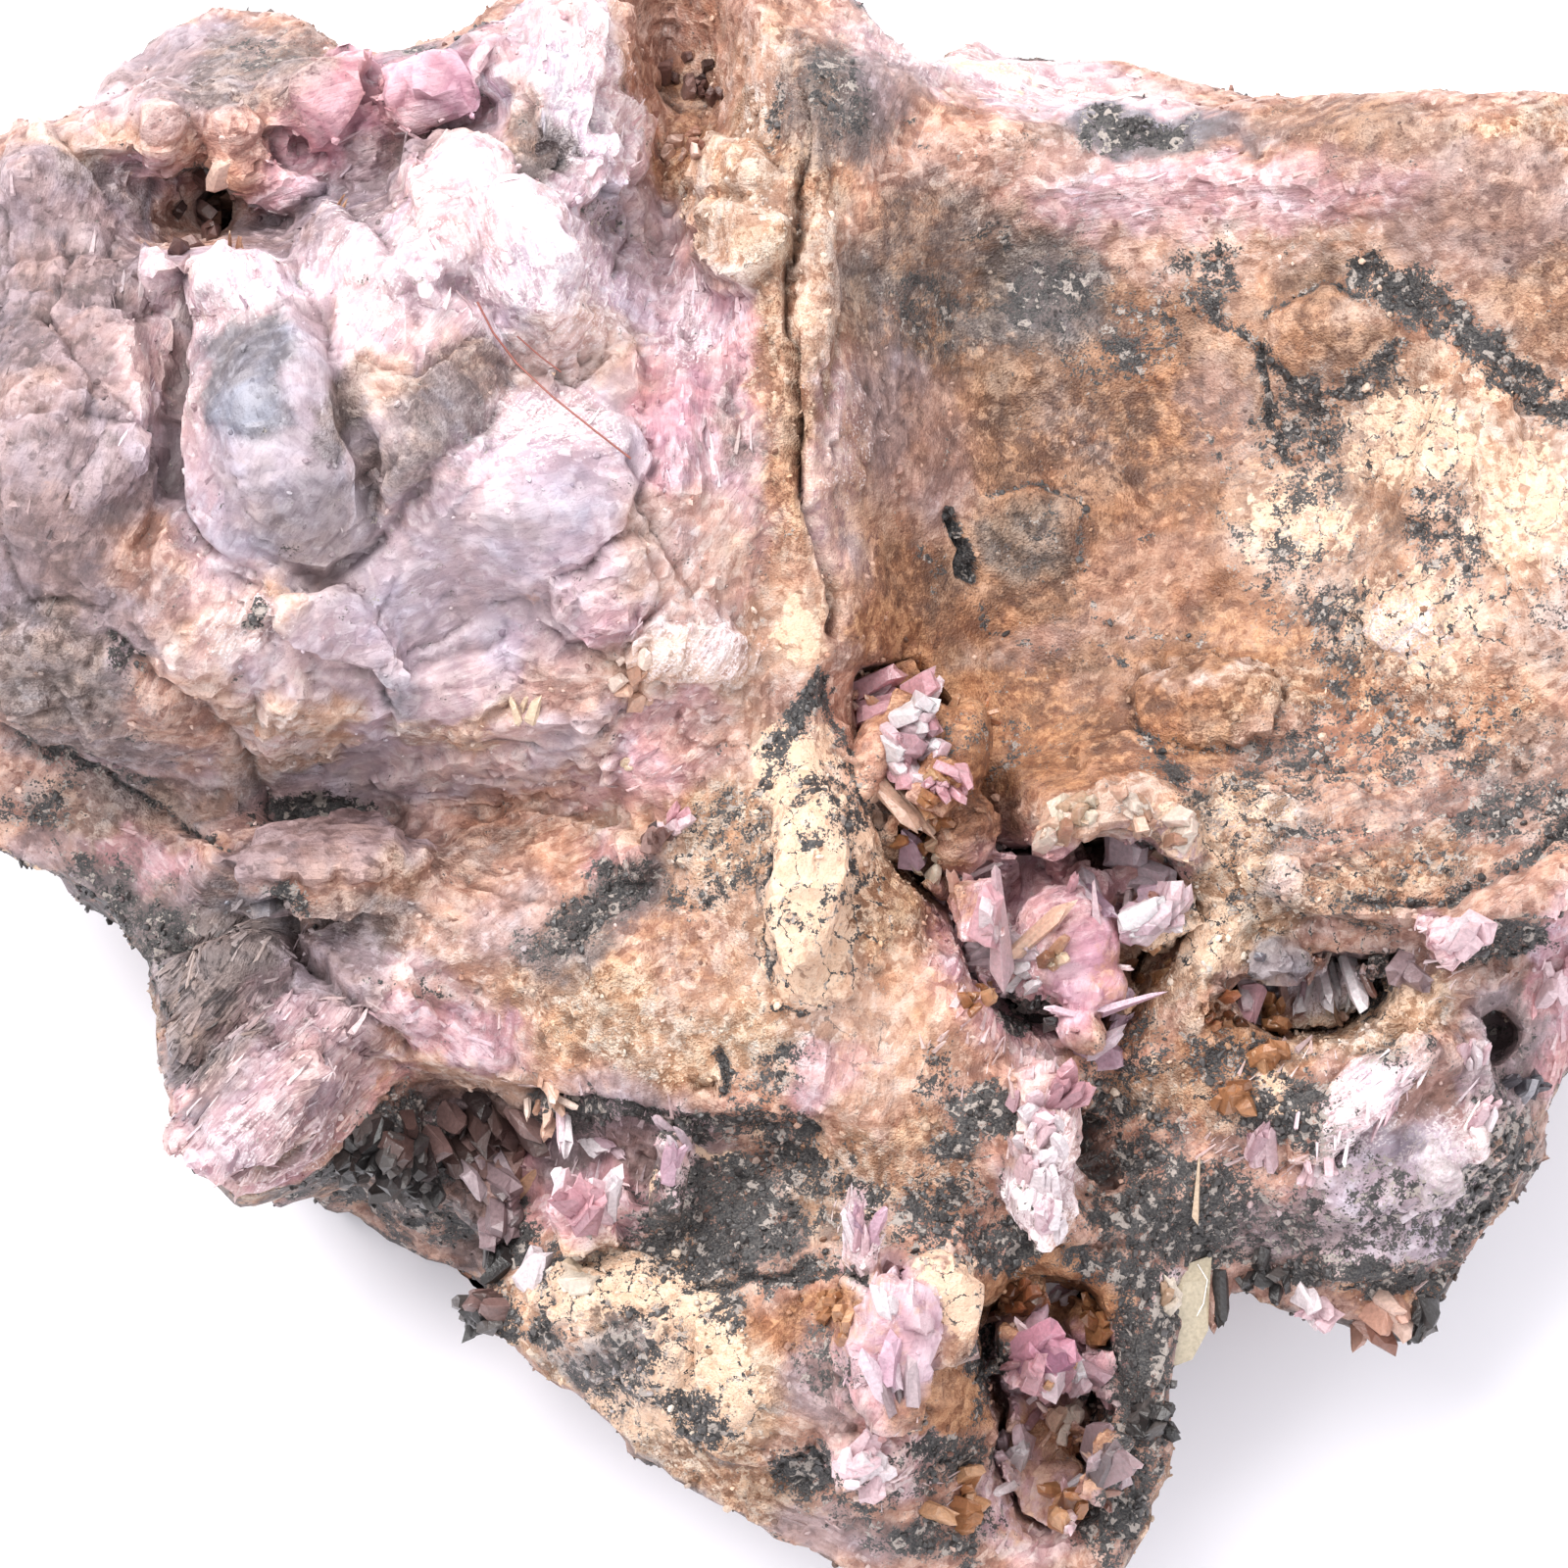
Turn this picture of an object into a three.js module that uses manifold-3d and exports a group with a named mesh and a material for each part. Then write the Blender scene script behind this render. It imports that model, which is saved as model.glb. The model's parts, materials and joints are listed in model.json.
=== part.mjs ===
// A hand specimen of inesite: a lump of fibrous pink mineral with tan and cream crusts on a black matrix.
// Millimetres, +Z up. The origin is the middle of the specimen's box, on the surface that it rests on.
// The face is drawn as it is seen from the front and above, and the last step leans it to that view.
import * as THREE from "three";
import { mergeVertices } from "three/addons/utils/BufferGeometryUtils.js";
import { ImprovedNoise } from "three/addons/math/ImprovedNoise.js";
import Module from "manifold-3d";

const wasm = await Module();
wasm.setup();

// Driving dimensions
const VIEW_TILT = 15; // degrees between the view that the face is drawn for and straight down
const LEAN_HEIGHT = 20; // height that the lean leaves in place
const SKY = 50; // a height above everything
const CELLAR = -5; // a height below everything

// The face
const GRID_STEP = 2; // spacing of the face's points
const FACE_HALF_WIDTH = 41;
const FACE_HALF_DEPTH = 37;
const REACH = 15; // how far a survey line is felt
const NEAR_PULL = 1.35; // how strongly the nearest survey line counts
const EDGE_SOFTNESS = 0.8; // softness of the face's own edge
const SCALE_ROUNDNESS = 0.6; // how steeply a scale's rim stands
const LUMP_HEIGHT = 0.55; // height of the small lumps all over the face
const LUMP_LENGTH = 4.2; // how far apart those lumps are
const GRAIN_HEIGHT = 0.28;
const GRAIN_LENGTH = 1.9;
const LUMP_SLICE = 3.7; // where in the noise the lumps are taken
const GRAIN_SLICE = 9.2;

// The wall and the base
const WALL_STEP = 3.1; // spacing of the points around the wall
const BASE_RADII = [29, 24]; // the oval that the specimen rests on
const BASE_CENTRE = [2, -1];
const BULGE_SPREAD = 0.12; // how unevenly the wall draws in
const BULGE_LENGTH = 7;
const CHIP_DEPTH = 0.09; // share by which chips move the wall in or out
const CHIP_LENGTH = 4;
const CHIP_SLICE = 5.3; // where in the noise the chips are taken
// Rings down the wall: height as a share of the edge's, share of the way in to the base, share of the bulge
const WALL_RINGS = [[1, 0, 0], [0.82, 0.05, 1], [0.62, 0.3, 1], [0.42, 0.5, 1], [0.22, 0.82, 1],
  [0.08, 0.97, 0],
  [0, 1, 0]];

// Lumps, blades and crystals
const LUMP_KNOBS = 0.28; // how knobbly a lump is
const KNOB_CLOSENESS = 1.6;
const BLADE_SIDES = 6;
const BLADE_TOP = 0.84; // a blade's top against its bottom
const BLADE_CHIPPING = 0.5; // how uneven a blade's outline is
const BLADE_SLICE = 2.6; // where in the noise that outline is taken
const CRYSTAL_SIDES = 6;
const CRYSTAL_FLATNESS = 0.7;
const PIT_SIDES = 7;
const PIT_TAPER = 0.6;

// Hollows and their crusts
const CRUST_GAP = 0.35; // clearance between a crystal crust and its hollow
const WELL_TAPER = 0.78; // how much narrower a hollow is at its floor
const WELL_FLARE = 6; // height over the floor at which it is full width

const noise = new ImprovedNoise();

// The edge of the face, clockwise from the left, as [x, y, height of the edge].
const OUTLINE = [
  [-38, 20, 21], [-35.5, 25.4, 20], [-32, 27.1, 20], [-29.1, 27.8, 19], [-28.8, 29.6, 17],
  [-26.8, 31.5, 16],
  [-24, 33.2, 16], [-20.4, 32.4, 17], [-18.6, 30.8, 18], [-16.6, 30.5, 19], [-13.2, 31.6, 20],
  [-11.2, 33.6, 20],
  [-7.2, 35.2, 21], [-2.4, 34.8, 22], [2, 33.2, 23], [4, 31.4, 22], [6, 30, 20], [9.6, 30.5, 18],
  [14, 30.4, 18], [19.2, 28.8, 19], [21.6, 28.4, 22], [25.2, 28.4, 25], [28, 28.3, 26], [32, 28.2, 26],
  [36, 26, 25], [38.4, 20, 24], [39.2, 12, 24], [38.8, 4, 23], [37.6, -3.2, 21], [35.2, -8.8, 18],
  [32.2, -11.6, 16], [31.2, -13.2, 15], [29.8, -16.8, 14], [28, -19.6, 12.5], [26.8, -21.8, 11.5],
  [26, -23, 11],
  [24, -22.3, 11], [21.6, -22, 11], [19.2, -21, 11.5], [17, -20.6, 12], [16, -22.8, 12.5],
  [15.6, -24.8, 13],
  [15.8, -27.6, 12.5], [14.6, -30.4, 12], [13.6, -32.2, 11.5], [11.2, -34.2, 11], [7.2, -34, 11.5],
  [3.2, -32.2, 12],
  [0, -30.8, 12.5], [-3.2, -29, 13], [-6.4, -26.8, 13], [-8.4, -25, 13], [-12, -22.6, 12.5],
  [-12.9, -21.4, 12],
  [-11.8, -20, 10.5], [-12.2, -18.6, 9], [-13.2, -17, 8], [-15, -17.4, 8], [-16.8, -16.4, 9],
  [-18.2, -15.5, 14],
  [-20, -16.4, 16.5], [-22, -16.9, 17], [-23, -15.4, 17], [-25, -14, 17], [-25.4, -11, 16.5],
  [-25.8, -8, 15.5],
  [-27.6, -5.4, 14], [-30.4, -3.6, 14], [-35, -1.4, 15], [-38, 3.2, 18], [-39, 12, 21],
];

// The lie of the face: crests, creases, rims and hollows, each a line of [x, y, height], grouped by form.
// A low softness keeps a line sharp.
const SURVEY = {
  ridge: [0.1, [[-1.2, 34.4, 25], [-0.4, 30.4, 27], [0.6, 27.2, 28], [0.8, 23.2, 28.5], [0.6, 18.8, 29],
    [0.6, 15.2, 29], [1.4, 10.8, 28], [2, 7.2, 27], [1.8, 4.4, 26]]],
  wedgeCrest: [0.6, [[1.4, 2, 26], [0.6, -4, 25.2], [0.8, -8, 24.2], [1, -12.2, 22.8]]],
  wedgeLeft: [0.4, [[-2.2, -1.2, 24.4], [-4, -4.2, 23.4], [-6.6, -8, 21.6]]],
  wedgeRight: [0.4, [[3.2, 0.4, 24.4], [4.2, -3.4, 23.6], [6, -6.4, 22.6], [7.6, -10.6, 21.6]]],
  lobeTop: [0.2, [[-32, 25.6, 26], [-28, 23.4, 27.5], [-24.4, 20.8, 29], [-22.4, 21.3, 29.5],
    [-20.4, 21.2, 29],
    [-18.4, 22.8, 29.5], [-15.8, 21.6, 30], [-14.2, 24, 29.5], [-12.2, 25.4, 29.5], [-10, 23.8, 30],
    [-8, 22, 29]]],
  lobeBrow: [1.4, [[-36, 13, 28.5], [-29.6, 14, 31], [-22, 14.8, 32], [-16, 13.2, 31.6], [-10, 11.4, 31],
    [-5.2, 10, 29.4]]],
  lobeFlank: [1.2, [[-34, 4.4, 24.5], [-26, 4.6, 25], [-20, 5, 25], [-14, 3.4, 24.2], [-8.4, 3, 24],
    [-4, 1.4, 24]]],
  crease: [0.1, [[-36, 0.2, 17], [-32, -1.6, 16], [-27.2, -2, 16], [-22, -1.3, 15], [-17, -1.3, 14.4],
    [-13.4, -1.2, 15.6], [-9.6, -1.2, 18], [-6.4, -1.4, 19.5]]],
  bladeGap: [0.05, [[-24.5, 20, 25], [-24, 16, 26], [-24.6, 12.4, 27], [-23, 9.8, 28]]],
  shellGroove: [0.1, [[-18.9, 16.4, 30], [-17, 12.6, 29], [-15.4, 9.8, 27.5], [-18, 8, 27]]],
  trough: [0.1, [[-30, 23.8, 22.5], [-26.4, 23, 21], [-23.6, 23.6, 18.5], [-20.2, 23.8, 19.5],
    [-17, 25, 21.5], [-14.6, 26.4, 23.5]]],
  bandCrest: [0.7, [[-31, 26.2, 22], [-28.6, 26.8, 24], [-25.4, 27.4, 25], [-23, 27.4, 25.5],
    [-19.6, 28.4, 26],
    [-16.1, 28.4, 26.5], [-12.9, 29.4, 27], [-11, 28.4, 28]]],
  backLump: [0.8, [[-27.6, 30, 18], [-24, 31, 19.5], [-20, 30.4, 20], [-15, 31, 21.5]]],
  column: [0.5, [[-8, 33.6, 25], [-8.4, 29.6, 28], [-8, 26.4, 29], [-7.4, 24.2, 29]]],
  columnFoot: [0.1, [[-9, 22.4, 26.5], [-7, 22.4, 24.5], [-5.4, 24, 23]]],
  brownHollow: [0.2, [[-4.2, 31.4, 16], [-4, 28, 17.5], [-4.8, 25, 20], [-5, 22.6, 22],
    [-4.6, 20.4, 23.6]]],
  pinkSlope: [0.8, [[-4.4, 18, 26], [-3.4, 14, 27], [-2.6, 9.6, 27.2], [-1.8, 5.6, 25.8]]],
  footLumps: [0.5, [[-7.6, 7, 28], [-4.6, 5.4, 26.8]]],
  footLumpEdge: [0.1, [[-9, 5, 25], [-6.4, 3.8, 24.2], [-3.4, 2.6, 24]]],
  shelfLedge: [0.1, [[-24, -3.4, 17.5], [-22.4, -2.9, 19.4], [-18.8, -2.4, 20.2], [-14.8, -2.1, 20.4],
    [-12, -2.6, 20.2]]],
  shelfMiddle: [1, [[-13.2, -5.2, 20.2], [-9.6, -4, 21], [-6, -4.8, 21.4]]],
  shelfEdge: [0.1, [[-14.6, -11.2, 18.6], [-11.2, -12, 19.8], [-7.2, -12.5, 20.8], [-3.2, -12.8, 21.8],
    [0.8, -13, 22.4], [3.6, -13, 22.2]]],
  recess: [0.2, [[-14, -13.2, 11], [-11.2, -14, 12.4], [-7.2, -14.4, 14], [-3.2, -14.6, 16.8],
    [0.8, -14.8, 19]]],
  recessFloor: [0.8, [[-12, -16.4, 11], [-9.6, -17.2, 13], [-5.6, -16.8, 15.5], [-1.6, -17.2, 18],
    [3, -17, 19.5]]],
  tongue: [0.8, [[-22.8, -8.6, 20], [-20.6, -11, 20.2], [-22, -14, 19.4], [-19.4, -14.4, 19]]],
  tongueInner: [0.4, [[-16.4, -8.6, 20], [-15.4, -10.4, 19]]],
  tongueTrough: [0.1, [[-24.6, -4.9, 15.6], [-21.6, -5, 16.6], [-18.6, -5.2, 18]]],
  strata: [0.4, [[-29, -3.8, 15.4], [-26, -6.4, 15.2]]],
  lowerCrest: [0.5, [[-10.6, -20.2, 15.4], [-6.4, -19.4, 17.4], [-1.6, -20, 19.6], [2.4, -20, 20.6],
    [6.4, -19.6, 20.6]]],
  lowerLobe: [1.2, [[-8, -23.2, 16.8], [-4, -24.2, 18.4], [0.8, -25, 19.4], [5.6, -25.4, 18.8]]],
  lowerFoot: [0.8, [[-3, -27.2, 15.6], [2, -29.6, 15.8], [6.4, -31.4, 15.2]]],
  lowerWall: [0.3, [[13.2, -18.8, 18], [14.8, -22, 17], [14.6, -26, 16.4], [13.8, -29.4, 15],
    [12, -32.4, 14]]],
  vugFloor: [0.3, [[10, -21.2, 15], [11.4, -25.6, 12.6], [10.2, -30.4, 12.6]]],
  centreLumps: [0.6, [[8, -13.2, 21.4], [10.4, -14.2, 21.6], [10.2, -17, 20]]],
  slot: [0.1, [[12.6, -13.2, 16], [12.8, -15.6, 15.6]]],
  cavityFloor: [0.2, [[4.2, 3, 16], [5.4, -0.6, 15], [7.6, -4.2, 15], [10.6, -6.4, 15.4], [13, -9, 16]]],
  bowlLeft: [0.6, [[3.4, 24, 25.4], [3.4, 18, 24.4], [3.4, 12, 23.6], [4.6, 8, 20.6]]],
  bowlFloor: [2, [[8, 20, 20.6], [8, 12, 18.6], [8.8, 5, 17], [10, 1.6, 16.6]]],
  bowlMiddle: [2.4, [[14, 21, 20.6], [14, 14, 18.4], [14.8, 6, 17.4], [18, 1.6, 18.4]]],
  bowlRight: [2, [[22, 20, 22], [21, 12, 19.6], [22, 5, 19.8], [25, 0.6, 21.8]]],
  bowlFarRight: [1.4, [[29, 20, 25.4], [28.4, 12, 24], [29, 5, 24.4], [35, 10, 27]]],
  topRim: [0.3, [[2.4, 29.8, 26.6], [6.4, 28, 25.6], [10, 26.4, 25], [15, 26.2, 25.6], [20, 26.2, 27.2],
    [26, 26.9, 28.6], [31, 26.4, 29], [35.6, 21.6, 28]]],
  behindRim: [0.2, [[8, 29.4, 20.6], [14, 28.6, 20], [19, 28, 21.6]]],
  lowerRim: [0.3, [[11.2, -1.2, 22], [16, -1.7, 22.8], [20, -3.2, 23.2], [24, -5, 23.6], [28, -4.8, 24.2],
    [32, -3.2, 25], [36, -0.8, 25]]],
  belowRim: [0.4, [[18, -6.6, 20.6], [21.2, -7.4, 20], [26, -7.2, 20.4], [30.4, -6.2, 21.4],
    [34, -5.4, 21.6]]],
  rightLobe: [0.8, [[16.4, -8, 21.4], [17.2, -12, 20], [20, -14, 19.2], [24, -12.4, 20],
    [26.2, -11, 20.6]]],
  rightLobeFoot: [0.8, [[16, -15.4, 18.4], [20, -17.6, 17], [24, -16.4, 17.8], [28, -14.4, 17.6],
    [30, -11.4, 18]]],
  rightLobeEdge: [0.4, [[18, -19.4, 14.4], [22, -19.8, 14.6], [26, -20.4, 13.6]]],
};

// Hollows that hold a crust of crystals, each with its outline from above, anticlockwise.
const HOLLOWS = {
  cavity_crystals: {
    outline: [[2.7, 4.8], [3, 0], [4.2, -3.4], [6.6, -5.4], [7.6, -8.2], [10.2, -10.4], [12.8, -11.2],
      [15.2, -8.4],
      [16.8, -5.2], [15.6, -2.6], [12.8, -1.8], [10.6, -2.6], [8.4, -2.4], [7.7, 0], [7.2, 2.8], [5.6, 5]],
    floor: 13, lining: 3.6,
    // x, y, length, width, lean towards, lean, in millimetres and degrees
    crystals: [
      [4.3, 3.4, 7.4, 2.6, 60, 28], [5.4, 1.6, 8.6, 2.8, 300, 16], [6.3, -0.4, 7.4, 2, 20, 24],
      [4.6, -0.9, 5.6, 1.6, 250, 20],
      [5.4, -2.6, 5.4, 1.5, 90, 25], [7.6, -4.4, 6.6, 1.7, 180, 20], [8.4, -6.6, 8.2, 2.2, 120, 18],
      [9.4, -5.4, 9.6, 1.6, 100, 30],
      [9.6, -7.6, 6.8, 2.2, 200, 22], [11.2, -7.4, 6.2, 2.6, 40, 10], [11.9, -4.6, 6.8, 1.9, 110, 30],
      [13.6, -4.2, 6, 1.6, 60, 26],
      [14.6, -5.4, 7.4, 2.6, 330, 20], [13.4, -7.2, 5.6, 2, 290, 24], [12.6, -9.4, 6.4, 2.2, 250, 18],
      [11, -9.2, 5.6, 1.5, 210, 30],
    ],
  },
  lower_vug_crystals: {
    outline: [[8, -21], [7.8, -23.4], [8.8, -25.4], [8.2, -28], [9.4, -30.8], [11, -31.8], [12.6, -29.8],
      [13.3, -26],
      [13.6, -23], [12.8, -20.4], [10.4, -19.8]],
    floor: 9.5, lining: 2.6,
    crystals: [
      [9.4, -21.6, 6.6, 2, 130, 16], [11.6, -21.4, 6.2, 1.8, 60, 24], [12.4, -23.6, 6.4, 1.8, 0, 22],
      [10.4, -23.4, 5, 1.7, 200, 14],
      [10.2, -25.8, 5.6, 2, 180, 26], [12, -26.2, 5.8, 1.8, 330, 18], [9.6, -28.2, 5.8, 1.8, 190, 22],
      [11.4, -28.6, 5, 1.9, 280, 20],
      [10.8, -30.4, 5, 1.6, 260, 24],
    ],
  },
  right_pit_crystals: {
    outline: [[18, -8.2], [18.4, -9.8], [20.4, -10.6], [23.2, -10.4], [25, -8.8], [24.6, -7],
      [21.2, -6.6], [19, -7]],
    floor: 14.5, lining: 2.4,
    crystals: [
      [19.2, -8.4, 5.4, 1.5, 160, 20], [20.6, -7.7, 6, 1.2, 80, 22], [21.8, -7.8, 6.2, 1.1, 100, 12],
      [22.9, -8.4, 5.6, 1.3, 40, 18],
      [20.6, -9.5, 4.6, 1.3, 230, 24], [23.6, -9.4, 4.6, 1.2, 320, 24],
    ],
  },
};

// Pits that hold nothing: [x, y, floor, radius]
const PITS = [
  [-5.2, -2.4, 17.4, 1.3], [28.8, -10.2, 15.4, 1.7], [28.2, -12.8, 15.6, 1.1], [12.6, -14.2, 14.6, 1.2],
  [24.4, -17.8, 14, 1], [19.4, -17.2, 14.2, 1.1], [-3.4, 19.6, 22, 1.1], [-23.6, 24, 16.5, 1.5],
  [22.8, -18.2, 13.4, 0.9],
  [6.9, 10.6, 16.6, 0.7], [7.8, 9.2, 16.6, 0.7], [27, -8.6, 16.4, 0.8],
];

// Rounded scales that the face is made of: [x, y, half width, half length, turn in degrees, rise]
const SCALES = [
  // the left lobe
  [-30, 20, 5.4, 8.2, 4, 2.6], [-20.4, 14.6, 4.6, 7.4, -8, 3], [-14.2, 12.6, 3.4, 5.6, -34, 2.2],
  [-9.4, 11.2, 4.6, 4.8, 30, 2.2], [-16.2, 19.6, 3.8, 4.6, -20, 2.4], [-11, 20.4, 3.6, 5.6, -30, 2.6],
  [-29.6, 9, 5.6, 6.4, 0, 2.2], [-23.4, 5.4, 3.8, 5.8, 60, 1.9], [-15.6, 4.6, 3.2, 6, 66, 1.6],
  [-8.2, 5.6, 3.4, 3.6, 0, 2], [-4, 5.2, 3, 3, 0, 1.8], [-3.8, 12.4, 1.9, 6.4, -6, 1.3],
  [-6.6, 16.6, 1.9, 4.2, 0, 1.4],
  [-23.4, 20.4, 3, 3, 0, 1.6], [-33, 2.6, 4.6, 3, 0, 1.4], [-7.8, 1, 2.4, 5, 80, 1],
  // the ridge and the bowl
  [2.2, 26.4, 2, 4.8, 6, 1.7], [2.8, 15.4, 2, 5, 0, 1.2], [12.8, 9.4, 4.6, 5, 70, 1],
  [17.6, 3, 2.4, 4.2, 82, 1.3],
  [22.2, 17.8, 3, 3.8, 60, 1.1], [30.6, 9.6, 4.2, 5, 0, 1.2], [27, 23.4, 3, 5.4, 80, 1.2],
  [12, 17.6, 4, 3.6, 0, 0.9],
  [7.4, 12.4, 2.4, 4.6, 10, 0.8], [24.4, 7.4, 3, 3.4, 40, 1.2],
  // knobs on the ridge
  [-1.8, 23.8, 2.1, 2.6, 0, 2], [-1.4, 20.2, 1.9, 2.2, 0, 1.8], [-4.8, 0.2, 2, 2.2, 0, 1.4],
  // lumps between the cavity and the lower lobe
  [10.2, -13.8, 1.7, 2.6, 0, 1.9], [10.6, -17.6, 1.6, 2.6, 0, 1.8], [6.2, -8.4, 1.8, 2.4, 0, 1.4],
  [14.6, -10.6, 2.2, 1.8, 30, 1.8], [17.2, -8.4, 1.8, 2.4, 0, 1.6], [12.8, -1.4, 3, 1.8, 14, 1.8],
  [26, -11.4, 2.4, 1.6, 50, 1.6], [22.4, -13.6, 2.6, 1.8, 30, 1.5], [-7, -17.8, 2.2, 2.6, 0, 1.8],
  // the shelf and the tongue
  [-18.4, -3.4, 1.9, 5.6, 86, 1.4], [-12.6, -6.2, 2.6, 4.4, 60, 1.1], [-6.6, -9.4, 3.2, 5.2, 70, 1],
  [4, -9.6, 3, 4.2, 0, 0.9],
  [0.8, -3.4, 2.6, 4.2, 0, 1.2], [-21.4, -12.6, 3, 6.4, -42, 1.8], [-23.6, -9.2, 1.8, 4.4, -40, 1.2],
  [-16.2, -8.6, 2.2, 3.8, -60, 1.2],
  // the lower lobe
  [-6.6, -21.4, 2.8, 4.4, 84, 1.3], [-1.6, -24, 3.4, 3.8, 0, 1.1], [4, -22.8, 1.9, 4.4, -8, 1.7],
  [-3.2, -27.6, 1.9, 4, 50, 0.9],
  [4, -28.2, 2.8, 3, 0, 0.9], [6.6, -20, 1.6, 2.8, 0, 1.3], [-2.4, -17.2, 2.4, 3.4, 80, 1.1],
  // the right lobe
  [17.8, -4.2, 2, 3.2, 70, 1.1], [15.4, -17.4, 2, 3, 70, 1], [24.6, -17, 3, 3, 0, 1.2],
  [20.6, -13.6, 2, 3.2, 70, 1.2],
  [28.6, -14, 2, 3, -40, 1], [30, -4.6, 2, 4, 70, 1],
];

// Lumps grown on the face: [x, y, height of the middle over the face, radii in x, y and z, turn in degrees]
const LUMPS = [
  // the pink band
  [-28.6, 26.2, -0.4, 2.4, 1.9, 2.2, 10], [-25.4, 27.2, 0, 2.2, 2.1, 2.4, 0],
  [-22.4, 27, 0, 2, 2.3, 2.2, 30],
  [-19.6, 28.3, 0, 2.3, 1.7, 2.2, 0], [-17.4, 26.9, 0, 1.7, 2.1, 2, 20],
  [-14.4, 28.6, 0, 2.8, 1.5, 2.2, 14],
  [-11.8, 29.8, 0, 2.2, 1.6, 2.2, 20], [-21, 25.2, 1.4, 2.8, 1.2, 1.6, -20],
  // the black nodule at the back of the bowl
  [15, 27.2, -0.6, 4.2, 1.3, 1.8, -4], [19.8, 27.2, -0.4, 3, 1.2, 1.5, 4],
  // dark crystals in the hollow beside the tongue
  [-14.6, -15.4, -1, 2.2, 1.9, 2.6, 0], [-11.8, -17, -1, 1.8, 2, 2.8, 20],
  [-16.4, -14.6, 0.5, 1.6, 1.6, 2.2, 40],
];

// Blades and plates:
// [x, y, rise of its top over the face, length, width, thickness, heading, pitch, roll].
// Each lies along the face.
// Heading turns the length from +X, pitch lifts its far end, roll lifts its left edge, all in degrees.
const BLADES = [
  // the left lobe
  [-13.4, 22.6, 2.2, 7, 3.4, 3.6, 60, 8, -6], [-8.6, 19.4, 2.4, 9, 3, 3.4, 100, 4, 10],
  [-26, 17.2, 1, 12, 2, 3, 92, 0, 26],
  [-34.6, 15, 1.2, 10, 5, 3, 84, 4, 10], [-18, 6, 1.2, 9, 2.6, 2.6, 146, 6, 16],
  [-28, 2.6, 1.2, 8, 3, 2.6, 150, 6, 16], [-10.4, 2, 0.9, 9, 1.8, 2, 20, 0, 20],
  // the fibrous slope and the pink column
  [-4.6, 15.8, 1, 9, 1.8, 2, 96, 0, -14], [-8.8, 28.6, 1.2, 9.6, 3.6, 3, 84, 4, 0],
  [-6.9, 24.4, 1.2, 4.6, 3.4, 3, 110, 0, 0],
  // the ledge below the crease, and the shelf
  [-18.2, -2.9, 1, 9.4, 2.2, 2.6, 6, 0, -14],
  // the tongue's bundles
  [-24, -9.2, 0.9, 6.6, 2, 2.6, 52, 0, 0], [-23.2, -12.8, 1, 6.8, 1.8, 3, 50, 0, 0],
  [-21, -13.8, 1.1, 8, 1.9, 3, 47, 0, 0],
  [-18.9, -12.8, 1, 7.6, 1.8, 3, 43, 0, 0],
  // the bowl's flake and plates
  [17.4, 3, 0.9, 6.8, 4, 1.6, 0, 2, 8], [27.4, 13.6, 1, 9, 4.6, 2, 60, 0, 10],
  [1.8, 20, 1.2, 9, 1.8, 2.4, 88, 0, -20],
  // plates on the wedge and the lower lobe
  [1, -3.6, 0.9, 9, 3.4, 2, 88, 0, 0], [4.3, -22.8, 1.5, 5.8, 2.4, 2.6, 98, -4, 10],
  [-1.2, -26.6, 0.9, 6, 3, 2, 20, -6, -8], [-7.2, -21.4, 0.9, 7, 2.8, 2, 10, 0, -6],
  // plates along the lower rim and the right lobe
  [22, -4.2, 1.1, 9, 2.2, 2.4, -16, 0, -16], [30.6, -4.4, 1, 8.6, 2, 2.4, 16, 0, -16],
  [28.2, -8.2, 1.2, 5, 1.4, 2.4, 24, 0, 0],
  [27.6, -15.6, 1, 8, 2.6, 2.4, 60, 0, 12], [24.6, -19.6, 1, 6.4, 2.4, 2.6, 20, 0, -8],
  // a rod hanging at the notch
  [17.8, -20.9, 0.8, 4, 1, 1.6, 105, 0, 0],
];

// Points along a closed line, each segment cut so that no step is longer than the given one.
function alongOutline(points, step) {
  return points.flatMap(([x, y, z], i) => {
    const [nextX, nextY, nextZ] = points[(i + 1) % points.length];
    const parts = Math.ceil(Math.hypot(nextX - x, nextY - y) / step);
    return Array.from({ length: parts }, (_, k) => [
      x + ((nextX - x) * k) / parts,
      y + ((nextY - y) * k) / parts,
      z + ((nextZ - z) * k) / parts,
    ]);
  });
}

// Nearest point of a surveyed line to (x, y): its distance and its height there.
function nearest(line, x, y) {
  let best = { distance: Infinity, height: 0 };
  for (let i = 0; i + 1 < line.length; i++) {
    const [ax, ay, az] = line[i];
    const [bx, by, bz] = line[i + 1];
    const span = (bx - ax) ** 2 + (by - ay) ** 2;
    const share = Math.min(1, Math.max(0, ((x - ax) * (bx - ax) + (y - ay) * (by - ay)) / span));
    const distance = Math.hypot(x - ax - share * (bx - ax), y - ay - share * (by - ay));
    if (distance < best.distance) best = { distance, height: az + share * (bz - az) };
  }
  return best;
}

// How far the highest scale at (x, y) stands over its bed.
function scaleRise(x, y) {
  let highest = 0;
  for (const [middleX, middleY, halfWidth, halfLength, turn, rise] of SCALES) {
    const angle = THREE.MathUtils.degToRad(turn);
    const across = (x - middleX) * Math.cos(angle) + (y - middleY) * Math.sin(angle);
    const along = (y - middleY) * Math.cos(angle) - (x - middleX) * Math.sin(angle);
    const outward = (across / halfWidth) ** 2 + (along / halfLength) ** 2;
    if (outward < 1) highest = Math.max(highest, rise * (1 - outward) ** SCALE_ROUNDNESS);
  }
  return highest;
}

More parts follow.
